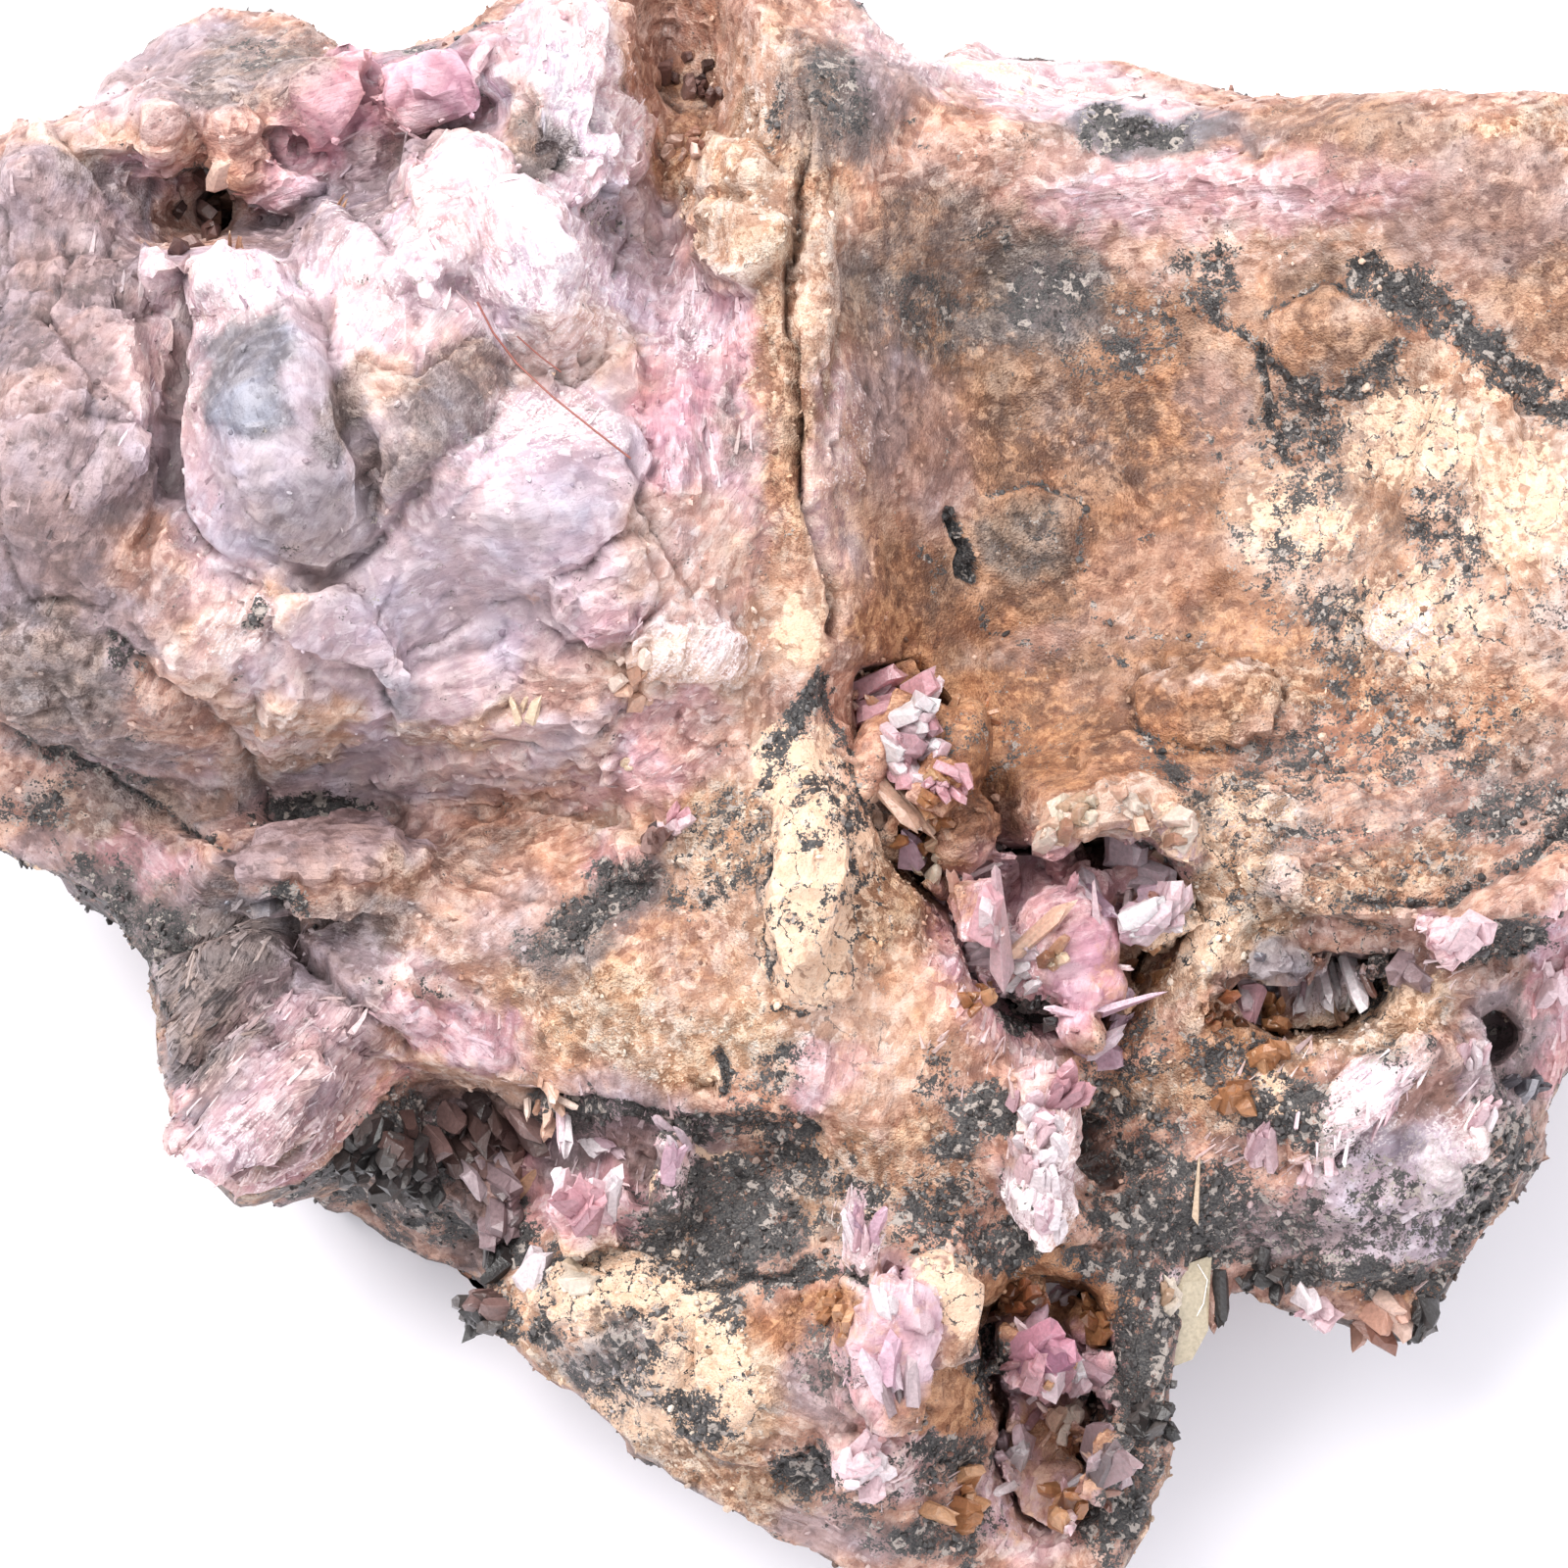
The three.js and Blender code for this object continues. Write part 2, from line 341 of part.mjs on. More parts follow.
// Height of the face at (x, y): the survey lines within reach, the nearest counting most, and its scales.
function faceHeight(x, y) {
  const lines = [[EDGE_SOFTNESS, [...OUTLINE, OUTLINE[0]]], ...Object.values(SURVEY)];
  let sum = 0;
  let weights = 0;
  for (const [softness, line] of lines) {
    const { distance, height } = nearest(line, x, y);
    if (distance >= REACH) continue;
    const weight = (REACH - distance) ** 3 / (distance + softness) ** NEAR_PULL;
    sum += weight * height;
    weights += weight;
  }
  const lumps = LUMP_HEIGHT * noise.noise(x / LUMP_LENGTH, y / LUMP_LENGTH, LUMP_SLICE);
  const grain = GRAIN_HEIGHT * noise.noise(x / GRAIN_LENGTH, y / GRAIN_LENGTH, GRAIN_SLICE);
  return (weights ? sum / weights : 0) + scaleRise(x, y) + lumps + grain;
}

// A geometry's bare corners, each shared by the faces that meet in it.
function merge(geometry) {
  return mergeVertices(geometry.deleteAttribute("normal").deleteAttribute("uv"));
}

// A closed mesh as a solid that can be joined and cut.
function solid(geometry) {
  const merged = merge(geometry);
  return new wasm.Manifold(
    new wasm.Mesh({
      numProp: 3,
      vertProperties: new Float32Array(merged.attributes.position.array),
      triVerts: new Uint32Array(merged.index.array),
    }),
  );
}

// A solid as a mesh again.
function geometryOf(shape) {
  const mesh = shape.getMesh();
  const geometry = new THREE.BufferGeometry();
  geometry.setAttribute("position", new THREE.BufferAttribute(mesh.vertProperties, 3));
  geometry.setIndex(new THREE.BufferAttribute(mesh.triVerts, 1));
  return geometry;
}

// A mesh from its points and the triples of points that are its faces.
function meshOf(points, faces) {
  const geometry = new THREE.BufferGeometry();
  geometry.setAttribute("position", new THREE.BufferAttribute(new Float32Array(points.flat()), 3));
  geometry.setIndex(faces.flat());
  return geometry;
}

// A block whose top is the face.
function faceBlock() {
  const columns = Math.round((2 * FACE_HALF_WIDTH) / GRID_STEP);
  const rows = Math.round((2 * FACE_HALF_DEPTH) / GRID_STEP);
  const points = [];
  for (let j = 0; j <= rows; j++)
    for (let i = 0; i <= columns; i++) {
      const x = -FACE_HALF_WIDTH + (2 * FACE_HALF_WIDTH * i) / columns;
      const y = -FACE_HALF_DEPTH + (2 * FACE_HALF_DEPTH * j) / rows;
      points.push([x, y, faceHeight(x, y)]);
    }
  const at = (i, j) => j * (columns + 1) + i;
  const faces = [];
  for (let j = 0; j < rows; j++)
    for (let i = 0; i < columns; i++) {
      const corners = [at(i, j), at(i + 1, j), at(i + 1, j + 1), at(i, j + 1)];
      if ((i + j) % 2) corners.push(corners.shift());
      const [a, b, c, d] = corners;
      faces.push([a, b, c], [a, c, d]);
    }
  const border = [];
  for (let i = 0; i < columns; i++) border.push(at(i, 0));
  for (let j = 0; j < rows; j++) border.push(at(columns, j));
  for (let i = columns; i > 0; i--) border.push(at(i, rows));
  for (let j = rows; j > 0; j--) border.push(at(0, j));
  const firstLow = points.length;
  for (const index of border) points.push([points[index][0], points[index][1], CELLAR]);
  const middle = points.push([0, 0, CELLAR]) - 1;
  border.forEach((index, k) => {
    const next = (k + 1) % border.length;
    faces.push([index, firstLow + k, firstLow + next], [index, firstLow + next, border[next]]);
    faces.push([middle, firstLow + next, firstLow + k]);
  });
  return solid(meshOf(points, faces));
}

// One point of the wall under (x, y), on the given ring.
function wallPoint([x, y, height], ring) {
  const [share, inward, bulge] = WALL_RINGS[ring];
  const angle = Math.atan2(y / BASE_RADII[1], x / BASE_RADII[0]);
  const baseX = BASE_CENTRE[0] + BASE_RADII[0] * Math.cos(angle);
  const baseY = BASE_CENTRE[1] + BASE_RADII[1] * Math.sin(angle);
  const uneven = bulge * BULGE_SPREAD * noise.noise(x / BULGE_LENGTH, y / BULGE_LENGTH, ring);
  const reach = Math.min(1, inward + uneven);
  const chips = ring ? CHIP_DEPTH * noise.noise(x / CHIP_LENGTH, y / CHIP_LENGTH, CHIP_SLICE + ring) : 0;
  return [(x + (baseX - x) * reach) * (1 + chips), (y + (baseY - y) * reach) * (1 + chips), height * share];
}

// The wall: it drops from the face's edge and draws in to the oval that the specimen rests on.
function wallSolid() {
  const edge = alongOutline(OUTLINE, WALL_STEP);
  const rings = [
    edge.map(([x, y]) => [x, y, SKY]),
    ...WALL_RINGS.map((_, ring) => edge.map((point) => wallPoint(point, ring))),
  ];
  const count = edge.length;
  const points = rings.flat();
  const faces = [];
  for (let ring = 0; ring + 1 < rings.length; ring++)
    for (let k = 0; k < count; k++) {
      const next = (k + 1) % count;
      const [a, b] = [ring * count + k, ring * count + next];
      faces.push([a, b + count, a + count], [a, b, b + count]);
    }
  const top = points.push([0, 0, SKY]) - 1;
  const bottom = points.push([BASE_CENTRE[0], BASE_CENTRE[1], 0]) - 1;
  const last = (rings.length - 1) * count;
  for (let k = 0; k < count; k++) {
    const next = (k + 1) % count;
    faces.push([top, next, k], [bottom, last + k, last + next]);
  }
  return solid(meshOf(points, faces));
}

// The turn that lays a level thing along the face around (x, y).
function lieOfFace(x, y, span) {
  const riseX = (faceHeight(x + span, y) - faceHeight(x - span, y)) / (2 * span);
  const riseY = (faceHeight(x, y + span) - faceHeight(x, y - span)) / (2 * span);
  const up = new THREE.Vector3(-riseX, -riseY, 1).normalize();
  return new THREE.Matrix4().makeRotationFromQuaternion(
    new THREE.Quaternion().setFromUnitVectors(new THREE.Vector3(0, 0, 1), up),
  );
}

// The turn by a heading, a pitch and a roll in degrees.
function turned(heading, pitch = 0, roll = 0) {
  const [x, y, z] = [roll, -pitch, heading].map(THREE.MathUtils.degToRad);
  return new THREE.Matrix4().makeRotationFromEuler(new THREE.Euler(x, y, z, "ZYX"));
}

// A rounded, knobbly lump.
function lump([x, y, over, wide, deep, tall, turn]) {
  const ball = merge(new THREE.IcosahedronGeometry(1, 1));
  const position = ball.attributes.position;
  for (let i = 0; i < position.count; i++) {
    const corner = new THREE.Vector3().fromBufferAttribute(position, i);
    const place = corner.clone().multiplyScalar(KNOB_CLOSENESS);
    corner.multiplyScalar(1 + LUMP_KNOBS * noise.noise(place.x + x, place.y + y, place.z));
    position.setXYZ(i, corner.x * wide, corner.y * deep, corner.z * tall);
  }
  return solid(ball.applyMatrix4(turned(turn)).translate(x, y, faceHeight(x, y) + over));
}

// A flat blade with a chipped outline and a narrower top.
function blade([x, y, over, length, width, thickness, heading, pitch, roll]) {
  const prism = new THREE.CylinderGeometry(BLADE_TOP / 2, 0.5, thickness, BLADE_SIDES);
  const slab = merge(prism.rotateX(Math.PI / 2));
  const position = slab.attributes.position;
  for (let i = 0; i < position.count; i++) {
    const [along, across] = [position.getX(i) * length, position.getY(i) * width];
    const chip = 1 + BLADE_CHIPPING * noise.noise(x + along, y + across, BLADE_SLICE);
    position.setXYZ(i, along * chip, across * chip, position.getZ(i) - thickness / 2);
  }
  slab.applyMatrix4(turned(heading, pitch, roll)).applyMatrix4(lieOfFace(x, y, width / 2));
  return solid(slab.translate(x, y, faceHeight(x, y) + over));
}

// A six-sided crystal with a blunt point, standing on its root.
function crystal(x, y, root, length, width, towards, lean) {
  const radius = width / 2;
  const profile = [[0, 0], [radius, 0], [radius * 0.86, length * 0.8], [radius * 0.4, length], [0, length]];
  const lathe = new THREE.LatheGeometry(profile.map(([r, h]) => new THREE.Vector2(r, h)), CRYSTAL_SIDES);
  const [spin, tip] = [towards, lean].map(THREE.MathUtils.degToRad);
  lathe.rotateX(Math.PI / 2).scale(1, CRYSTAL_FLATNESS, 1).rotateZ(towards).rotateY(tip).rotateZ(spin);
  return solid(lathe.translate(x, y, root));
}

// The way in from an outline's side, which runs anticlockwise from a to b.
function inwards([ax, ay], [bx, by]) {
  const length = Math.hypot(bx - ax, by - ay);
  return [(ay - by) / length, (bx - ax) / length];
}

// The outline drawn in by a margin.
function drawnIn(outline, margin) {
  return outline.map((corner, i) => {
    const before = inwards(outline[(i + outline.length - 1) % outline.length], corner);
    const after = inwards(corner, outline[(i + 1) % outline.length]);
    const both = [before[0] + after[0], before[1] + after[1]];
    const step = (2 * margin) / (both[0] ** 2 + both[1] ** 2);
    return [corner[0] + both[0] * step, corner[1] + both[1] * step];
  });
}

// The middle of an outline's corners.
function middleOf(outline) {
  const [sumX, sumY] = outline.reduce(([a, b], [x, y]) => [a + x, b + y], [0, 0]);
  return [sumX / outline.length, sumY / outline.length];
}

// The space over a hollow's floor, up to the sky, narrower at the floor.
function well(outline, floor) {
  const count = outline.length;
  const [middleX, middleY] = middleOf(outline);
  const drawn = (value, centre) => centre + (value - centre) * WELL_TAPER;
  const narrowed = outline.map(([x, y]) => [drawn(x, middleX), drawn(y, middleY)]);
  const rings = [[narrowed, floor], [outline, floor + WELL_FLARE], [outline, SKY]];
  const points = rings.flatMap(([ring, z]) => ring.map(([x, y]) => [x, y, z]));
  const faces = [];
  for (let ring = 0; ring < 2; ring++)
    for (let k = 0; k < count; k++) {
      const next = (k + 1) % count;
      const [a, b] = [ring * count + k, ring * count + next];
      faces.push([a, b, b + count], [a, b + count, a + count]);
    }
  const caps = THREE.ShapeUtils.triangulateShape(outline.map(([x, y]) => new THREE.Vector2(x, y)), []);
  for (const [a, b, c] of caps) faces.push([a, c, b], [2 * count + a, 2 * count + b, 2 * count + c]);
  return solid(meshOf(points, faces));
}

// The crust in a hollow: a rough lining with its crystals, kept clear of the rock.
function crust({ outline, floor, lining, crystals }) {
  const inside = well(drawnIn(outline, CRUST_GAP), floor + CRUST_GAP);
  const [middleX, middleY] = middleOf(outline);
  let made = solid(new THREE.BoxGeometry(SKY, SKY, 2 * lining).translate(middleX, middleY, floor));
  for (const [x, y, length, width, towards, lean] of crystals)
    made = made.add(crystal(x, y, floor + lining / 2, length, width, towards, lean));
  return made.intersect(inside);
}

// The whole lump: its face and wall, what grows on the face, and the hollows and pits in it.
function body() {
  let made = faceBlock().intersect(wallSolid());
  for (const entry of BLADES) made = made.add(blade(entry));
  for (const entry of LUMPS) made = made.add(lump(entry));
  for (const { outline, floor } of Object.values(HOLLOWS)) made = made.subtract(well(outline, floor));
  for (const [x, y, floor, radius] of PITS) {
    const pit = new THREE.CylinderGeometry(radius, radius * PIT_TAPER, SKY - floor, PIT_SIDES);
    made = made.subtract(solid(pit.rotateX(Math.PI / 2).translate(x, y, (SKY + floor) / 2)));
  }
  return made;
}

// Seen from the front and above, each layer moves forward with its height.
function lean(shape) {
  const tilt = THREE.MathUtils.degToRad(VIEW_TILT);
  const stretch = 1 / Math.cos(tilt);
  const forward = -Math.tan(tilt);
  const matrix = new THREE.Matrix4().set(
    1, 0, 0, 0,
    0, stretch, forward, -forward * LEAN_HEIGHT,
    0, 0, 1, 0,
    0, 0, 0, 1,
  );
  return geometryOf(shape).applyMatrix4(matrix);
}

const FINISHES = {
  specimen_body: { color: 0xc39a82, roughness: 0.8, metalness: 0 },
  cavity_crystals: { color: 0xd9a3a8, roughness: 0.55, metalness: 0 },
  lower_vug_crystals: { color: 0xc98a72, roughness: 0.6, metalness: 0 },
  right_pit_crystals: { color: 0xdcc6c0, roughness: 0.5, metalness: 0 },
};

const pieces = { specimen_body: lean(body()) };
for (const [name, hollow] of Object.entries(HOLLOWS)) pieces[name] = lean(crust(hollow));

const box = new THREE.Box3();
for (const geometry of Object.values(pieces)) {
  geometry.computeBoundingBox();
  box.union(geometry.boundingBox);
}
const middle = box.getCenter(new THREE.Vector3());

const specimen = new THREE.Group();
for (const [name, geometry] of Object.entries(pieces)) {
  geometry.translate(-middle.x, -middle.y, -box.min.z);
  const mesh = new THREE.Mesh(geometry, new THREE.MeshStandardMaterial(FINISHES[name]));
  mesh.name = name;
  specimen.add(mesh);
}

export default specimen;
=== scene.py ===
"""Looks of a hand specimen of inesite: pink fibrous mineral, tan and cream crusts and a black matrix.

The face of the lump is marked out on a drawing of it as it is seen from the front and above. The drawing's
units are 0.04 mm, its origin is the top left corner, x runs to the right and y towards the front.
"""

import json
import logging
import math
from collections.abc import Callable
from dataclasses import dataclass
from enum import Enum

import bpy
import numpy as np
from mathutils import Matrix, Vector

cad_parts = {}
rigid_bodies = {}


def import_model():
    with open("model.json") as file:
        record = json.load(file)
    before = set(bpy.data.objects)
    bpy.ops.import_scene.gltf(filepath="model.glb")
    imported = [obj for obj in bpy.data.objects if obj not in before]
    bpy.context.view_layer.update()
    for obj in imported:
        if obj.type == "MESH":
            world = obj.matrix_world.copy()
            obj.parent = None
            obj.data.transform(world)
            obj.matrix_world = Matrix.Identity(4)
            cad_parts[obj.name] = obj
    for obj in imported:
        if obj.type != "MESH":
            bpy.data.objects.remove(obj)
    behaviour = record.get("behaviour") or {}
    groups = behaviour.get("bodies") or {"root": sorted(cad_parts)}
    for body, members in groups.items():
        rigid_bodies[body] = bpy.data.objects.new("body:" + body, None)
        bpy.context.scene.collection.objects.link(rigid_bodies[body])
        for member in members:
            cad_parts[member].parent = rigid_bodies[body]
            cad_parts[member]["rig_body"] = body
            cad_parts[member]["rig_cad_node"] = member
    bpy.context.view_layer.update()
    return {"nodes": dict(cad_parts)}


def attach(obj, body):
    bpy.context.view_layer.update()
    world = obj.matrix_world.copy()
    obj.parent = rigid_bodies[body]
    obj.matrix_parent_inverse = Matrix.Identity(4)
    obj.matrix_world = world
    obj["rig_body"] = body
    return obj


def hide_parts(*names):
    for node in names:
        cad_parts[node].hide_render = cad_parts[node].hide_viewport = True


log = logging.getLogger("inesite")

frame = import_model()

MM = 0.001
DRAWING_UNIT = 0.04  # mm
DRAWING_MIDDLE = 800
VIEW_ELEVATION = math.radians(75)
VIEW_DISTANCE = 300  # mm
VIEW_WIDTH = 64  # mm of the specimen across the picture
FACE_OFFSET = (0.16, 1.6)  # mm from the drawing's middle to the middle of the specimen's box
FACE_LEVEL = 20  # mm, the height at which the drawing is true to scale
DEPTH = 0.66  # how much darker the stuffs are than they look in bright light
EYE = np.array([0, -math.cos(VIEW_ELEVATION), math.sin(VIEW_ELEVATION)])  # the way to the viewer
UP = np.array([0, math.sin(VIEW_ELEVATION), math.cos(VIEW_ELEVATION)])  # the way up the drawing
RIGHT = np.array([1.0, 0, 0])
DRAWING_HOME = np.array([-FACE_OFFSET[0], -FACE_OFFSET[1], FACE_LEVEL])  # mm, where the drawing's middle is

BENT = 0.6  # how exactly the lines of the drawing are followed, from 0 to 1
SAME_PLACE = 0.001  # mm, points nearer than this are one
LUMP_POINTS = 8  # a lump sits on the highest of so many points
FACES_UP = 0.05  # least upward part of the normal of a square in the finer part of the skin
FACE_FOOT = 7  # mm, the finer part of the skin starts at this height
FLAT_CUT = 0.45  # mm, points below this height lie in the flat cut
SHARP_EDGE = math.radians(34)  # edges sharper than this stay sharp
DEEPEST, HIGHEST = -1.6, 1.5  # mm, limits of the relief
HIDDEN_DEPTH = 2.5  # mm below the highest point at a place, what lies deeper is behind something
FACES_AWAY = -0.2  # least upward part of the normal of a point that something can stand on
PALEST, DARKEST = 0.95, 0.004  # limits of the colours
FLOOR_GAP = 0.05  # mm, small pieces stay this far above the floor
CRYSTAL_MIX = (0.5, 0.35, 0.15)  # shares of crystals with the colour, the light and the dark of their stuff
STUBBY, SLIM = 0.45, 0.26  # widths as shares of the length: wider crystals are blocks, slimmer ones splinters
MUCH_NEARER = 6  # drawing units by which a later skin has to be nearer to be the one a crystal stands on
THREAD_STEP = 9  # drawing units between the points of a thread
THREAD_REACH = 8  # drawing units, how far around a thread its height is read
THREAD_SPAN = 3  # points to each side over which a thread bridges and smooths what is under it
THREAD_LIFT = 0.1  # mm


@dataclass(frozen=True)
class Stuff:
    """What a part of the surface is made of.

    Args:
        colour: its colour as six hexadecimal digits.
        light: the colour of its palest grains.
        dark: the colour of its darkest grains.
        chunk: how far its facets stand out, in mm.
        grain: how far its grains stand out, in mm.
        streak: how strongly fibres show, from 0 to 1.
        busy: how strongly its grains differ, from 0 to 1.
        gloss: how glossy it is, from 0 to 1.
    """

    colour: str
    light: str
    dark: str
    chunk: float
    grain: float
    streak: float
    busy: float
    gloss: float

    def tones(self) -> np.ndarray:
        """Gives colour, light and dark as nine linear numbers."""
        return np.concatenate([linear(shown) for shown in (self.colour, self.light, self.dark)]) * DEPTH

    def traits(self) -> np.ndarray:
        """Gives chunk, grain, streak, busy and gloss."""
        return np.array([self.chunk, self.grain, self.streak, self.busy, self.gloss])


def linear(shown: str) -> np.ndarray:
    """Turns six hexadecimal digits into linear red, green and blue."""
    value = np.array([int(shown[k : k + 2], 16) for k in (0, 2, 4)]) / 255
    return np.where(value <= 0.04045, value / 12.92, ((value + 0.055) / 1.055) ** 2.4)


STUFF = {
    "lilac": Stuff("c8b1ba", "e9d9e0", "a28f99", 0.07, 0.01, 0.15, 0.35, 0.5),
    "lilac_pink": Stuff("dfbec9", "f6e3ea", "b798a5", 0.09, 0.01, 0.2, 0.4, 0.5),
    "dusty": Stuff("a98c8e", "ccb2b4", "7a6364", 0.05, 0.02, 0.25, 0.5, 0.5),
    "mauve": Stuff("a38a8e", "c9b3b8", "756466", 0.08, 0.02, 0.3, 0.5, 0.5),
    "pale_pink": Stuff("efccd3", "fff0f4", "cfa6b0", 0.11, 0.02, 0.3, 0.5, 0.5),
    "white_pink": Stuff("f5d7df", "fff2f6", "d6b2be", 0.13, 0.02, 0.3, 0.45, 0.5),
    "rose": Stuff("e8b0b9", "fbdce2", "c08e98", 0.12, 0.02, 0.4, 0.5, 0.6),
    "deep_rose": Stuff("d597aa", "eec6d3", "a8738a", 0.05, 0.02, 0.2, 0.3, 0.6),
    "pink_mass": Stuff("d6afc0", "f1d8e2", "aa889b", 0.04, 0.01, 0.1, 0.25, 0.7),
    "peach": Stuff("e8bda6", "fbe1d2", "bb8e77", 0.1, 0.04, 0.1, 0.65, 0.4),
    "salmon": Stuff("d09d89", "efcbbb", "9c6c5d", 0.1, 0.03, 0.2, 0.65, 0.4),
    "tan": Stuff("cc9c7d", "ecccb0", "93664a", 0.09, 0.07, 0.08, 0.95, 0.25),
    "sand": Stuff("dfb89b", "f4dfca", "aa8163", 0.09, 0.07, 0.1, 0.95, 0.2),
    "cream": Stuff("e8ccb0", "f7e6d4", "c19f84", 0.05, 0.03, 0.05, 0.4, 0.3),
    "bowl": Stuff("a5785c", "cfa284", "735041", 0.03, 0.008, 0.04, 0.85, 0.45),
    "bronze": Stuff("ad7653", "d39d77", "7c503c", 0.02, 0.006, 0.04, 0.75, 0.5),
    "grey_brown": Stuff("97827c", "bcaaa4", "67554f", 0.07, 0.03, 0.25, 0.85, 0.35),
    "olive": Stuff("8a7b72", "b3a59b", "4f4844", 0.05, 0.03, 0.2, 0.95, 0.35),
    "orange": Stuff("ba8057", "dba67d", "865433", 0.07, 0.04, 0.08, 0.75, 0.35),
    "rust": Stuff("94593a", "ba8260", "60361f", 0.1, 0.06, 0.1, 0.8, 0.3),
    "slate": Stuff("7d7a83", "a5a2aa", "56535b", 0.08, 0.02, 0.2, 0.5, 0.4),
    "waxy": Stuff("e0d0b4", "f2e8d6", "c2b092", 0.05, 0.01, 0.1, 0.3, 0.6),
    "charcoal": Stuff("3b3737", "5d5654", "232020", 0.12, 0.12, 0.05, 0.7, 0.5),
    "umber": Stuff("5b4440", "8a6c68", "382a2a", 0.12, 0.04, 0.2, 0.6, 0.6),
    "strand_pink": Stuff("c49da0", "ecd2d3", "86666a", 0.05, 0.02, 0.95, 0.3, 0.5),
    "strand_grey": Stuff("786764", "b5a29d", "3f3332", 0.05, 0.02, 0.95, 0.6, 0.5),
    "dark_red": Stuff("76554f", "9c7a73", "4a3634", 0.12, 0.04, 0.2, 0.6, 0.6),
}

# The outline of the face
RIM = [
    (-150, 300), (-88, 165), (0, 122), (72, 105), (80, 60), (130, 12), (200, -30), (290, -10), (335, 30),
    (385, 38), (470, 10), (520, -40), (620, -80), (740, -70), (850, -30), (900, 15), (950, 50), (1040, 38),
    (1150, 40), (1280, 80), (1340, 90), (1430, 90), (1500, 92), (1600, 95), (1700, 150), (1760, 300),
    (1780, 500), (1770, 700), (1740, 880), (1680, 1020), (1605, 1090), (1580, 1130), (1545, 1220),
    (1500, 1290), (1470, 1345), (1450, 1375), (1400, 1358), (1340, 1350), (1280, 1325), (1225, 1315),
    (1200, 1370), (1190, 1420), (1195, 1490), (1165, 1560), (1140, 1605), (1080, 1655), (980, 1650),
    (880, 1605), (800, 1570), (720, 1525), (640, 1470), (590, 1425), (500, 1365), (478, 1335), (496, 1305),
    (480, 1290), (440, 1275), (390, 1250), (345, 1215), (300, 1210), (250, 1222), (225, 1185), (175, 1150),
    (165, 1075), (155, 1000), (110, 935), (40, 890), (-75, 835), (-150, 720), (-175, 500),
]

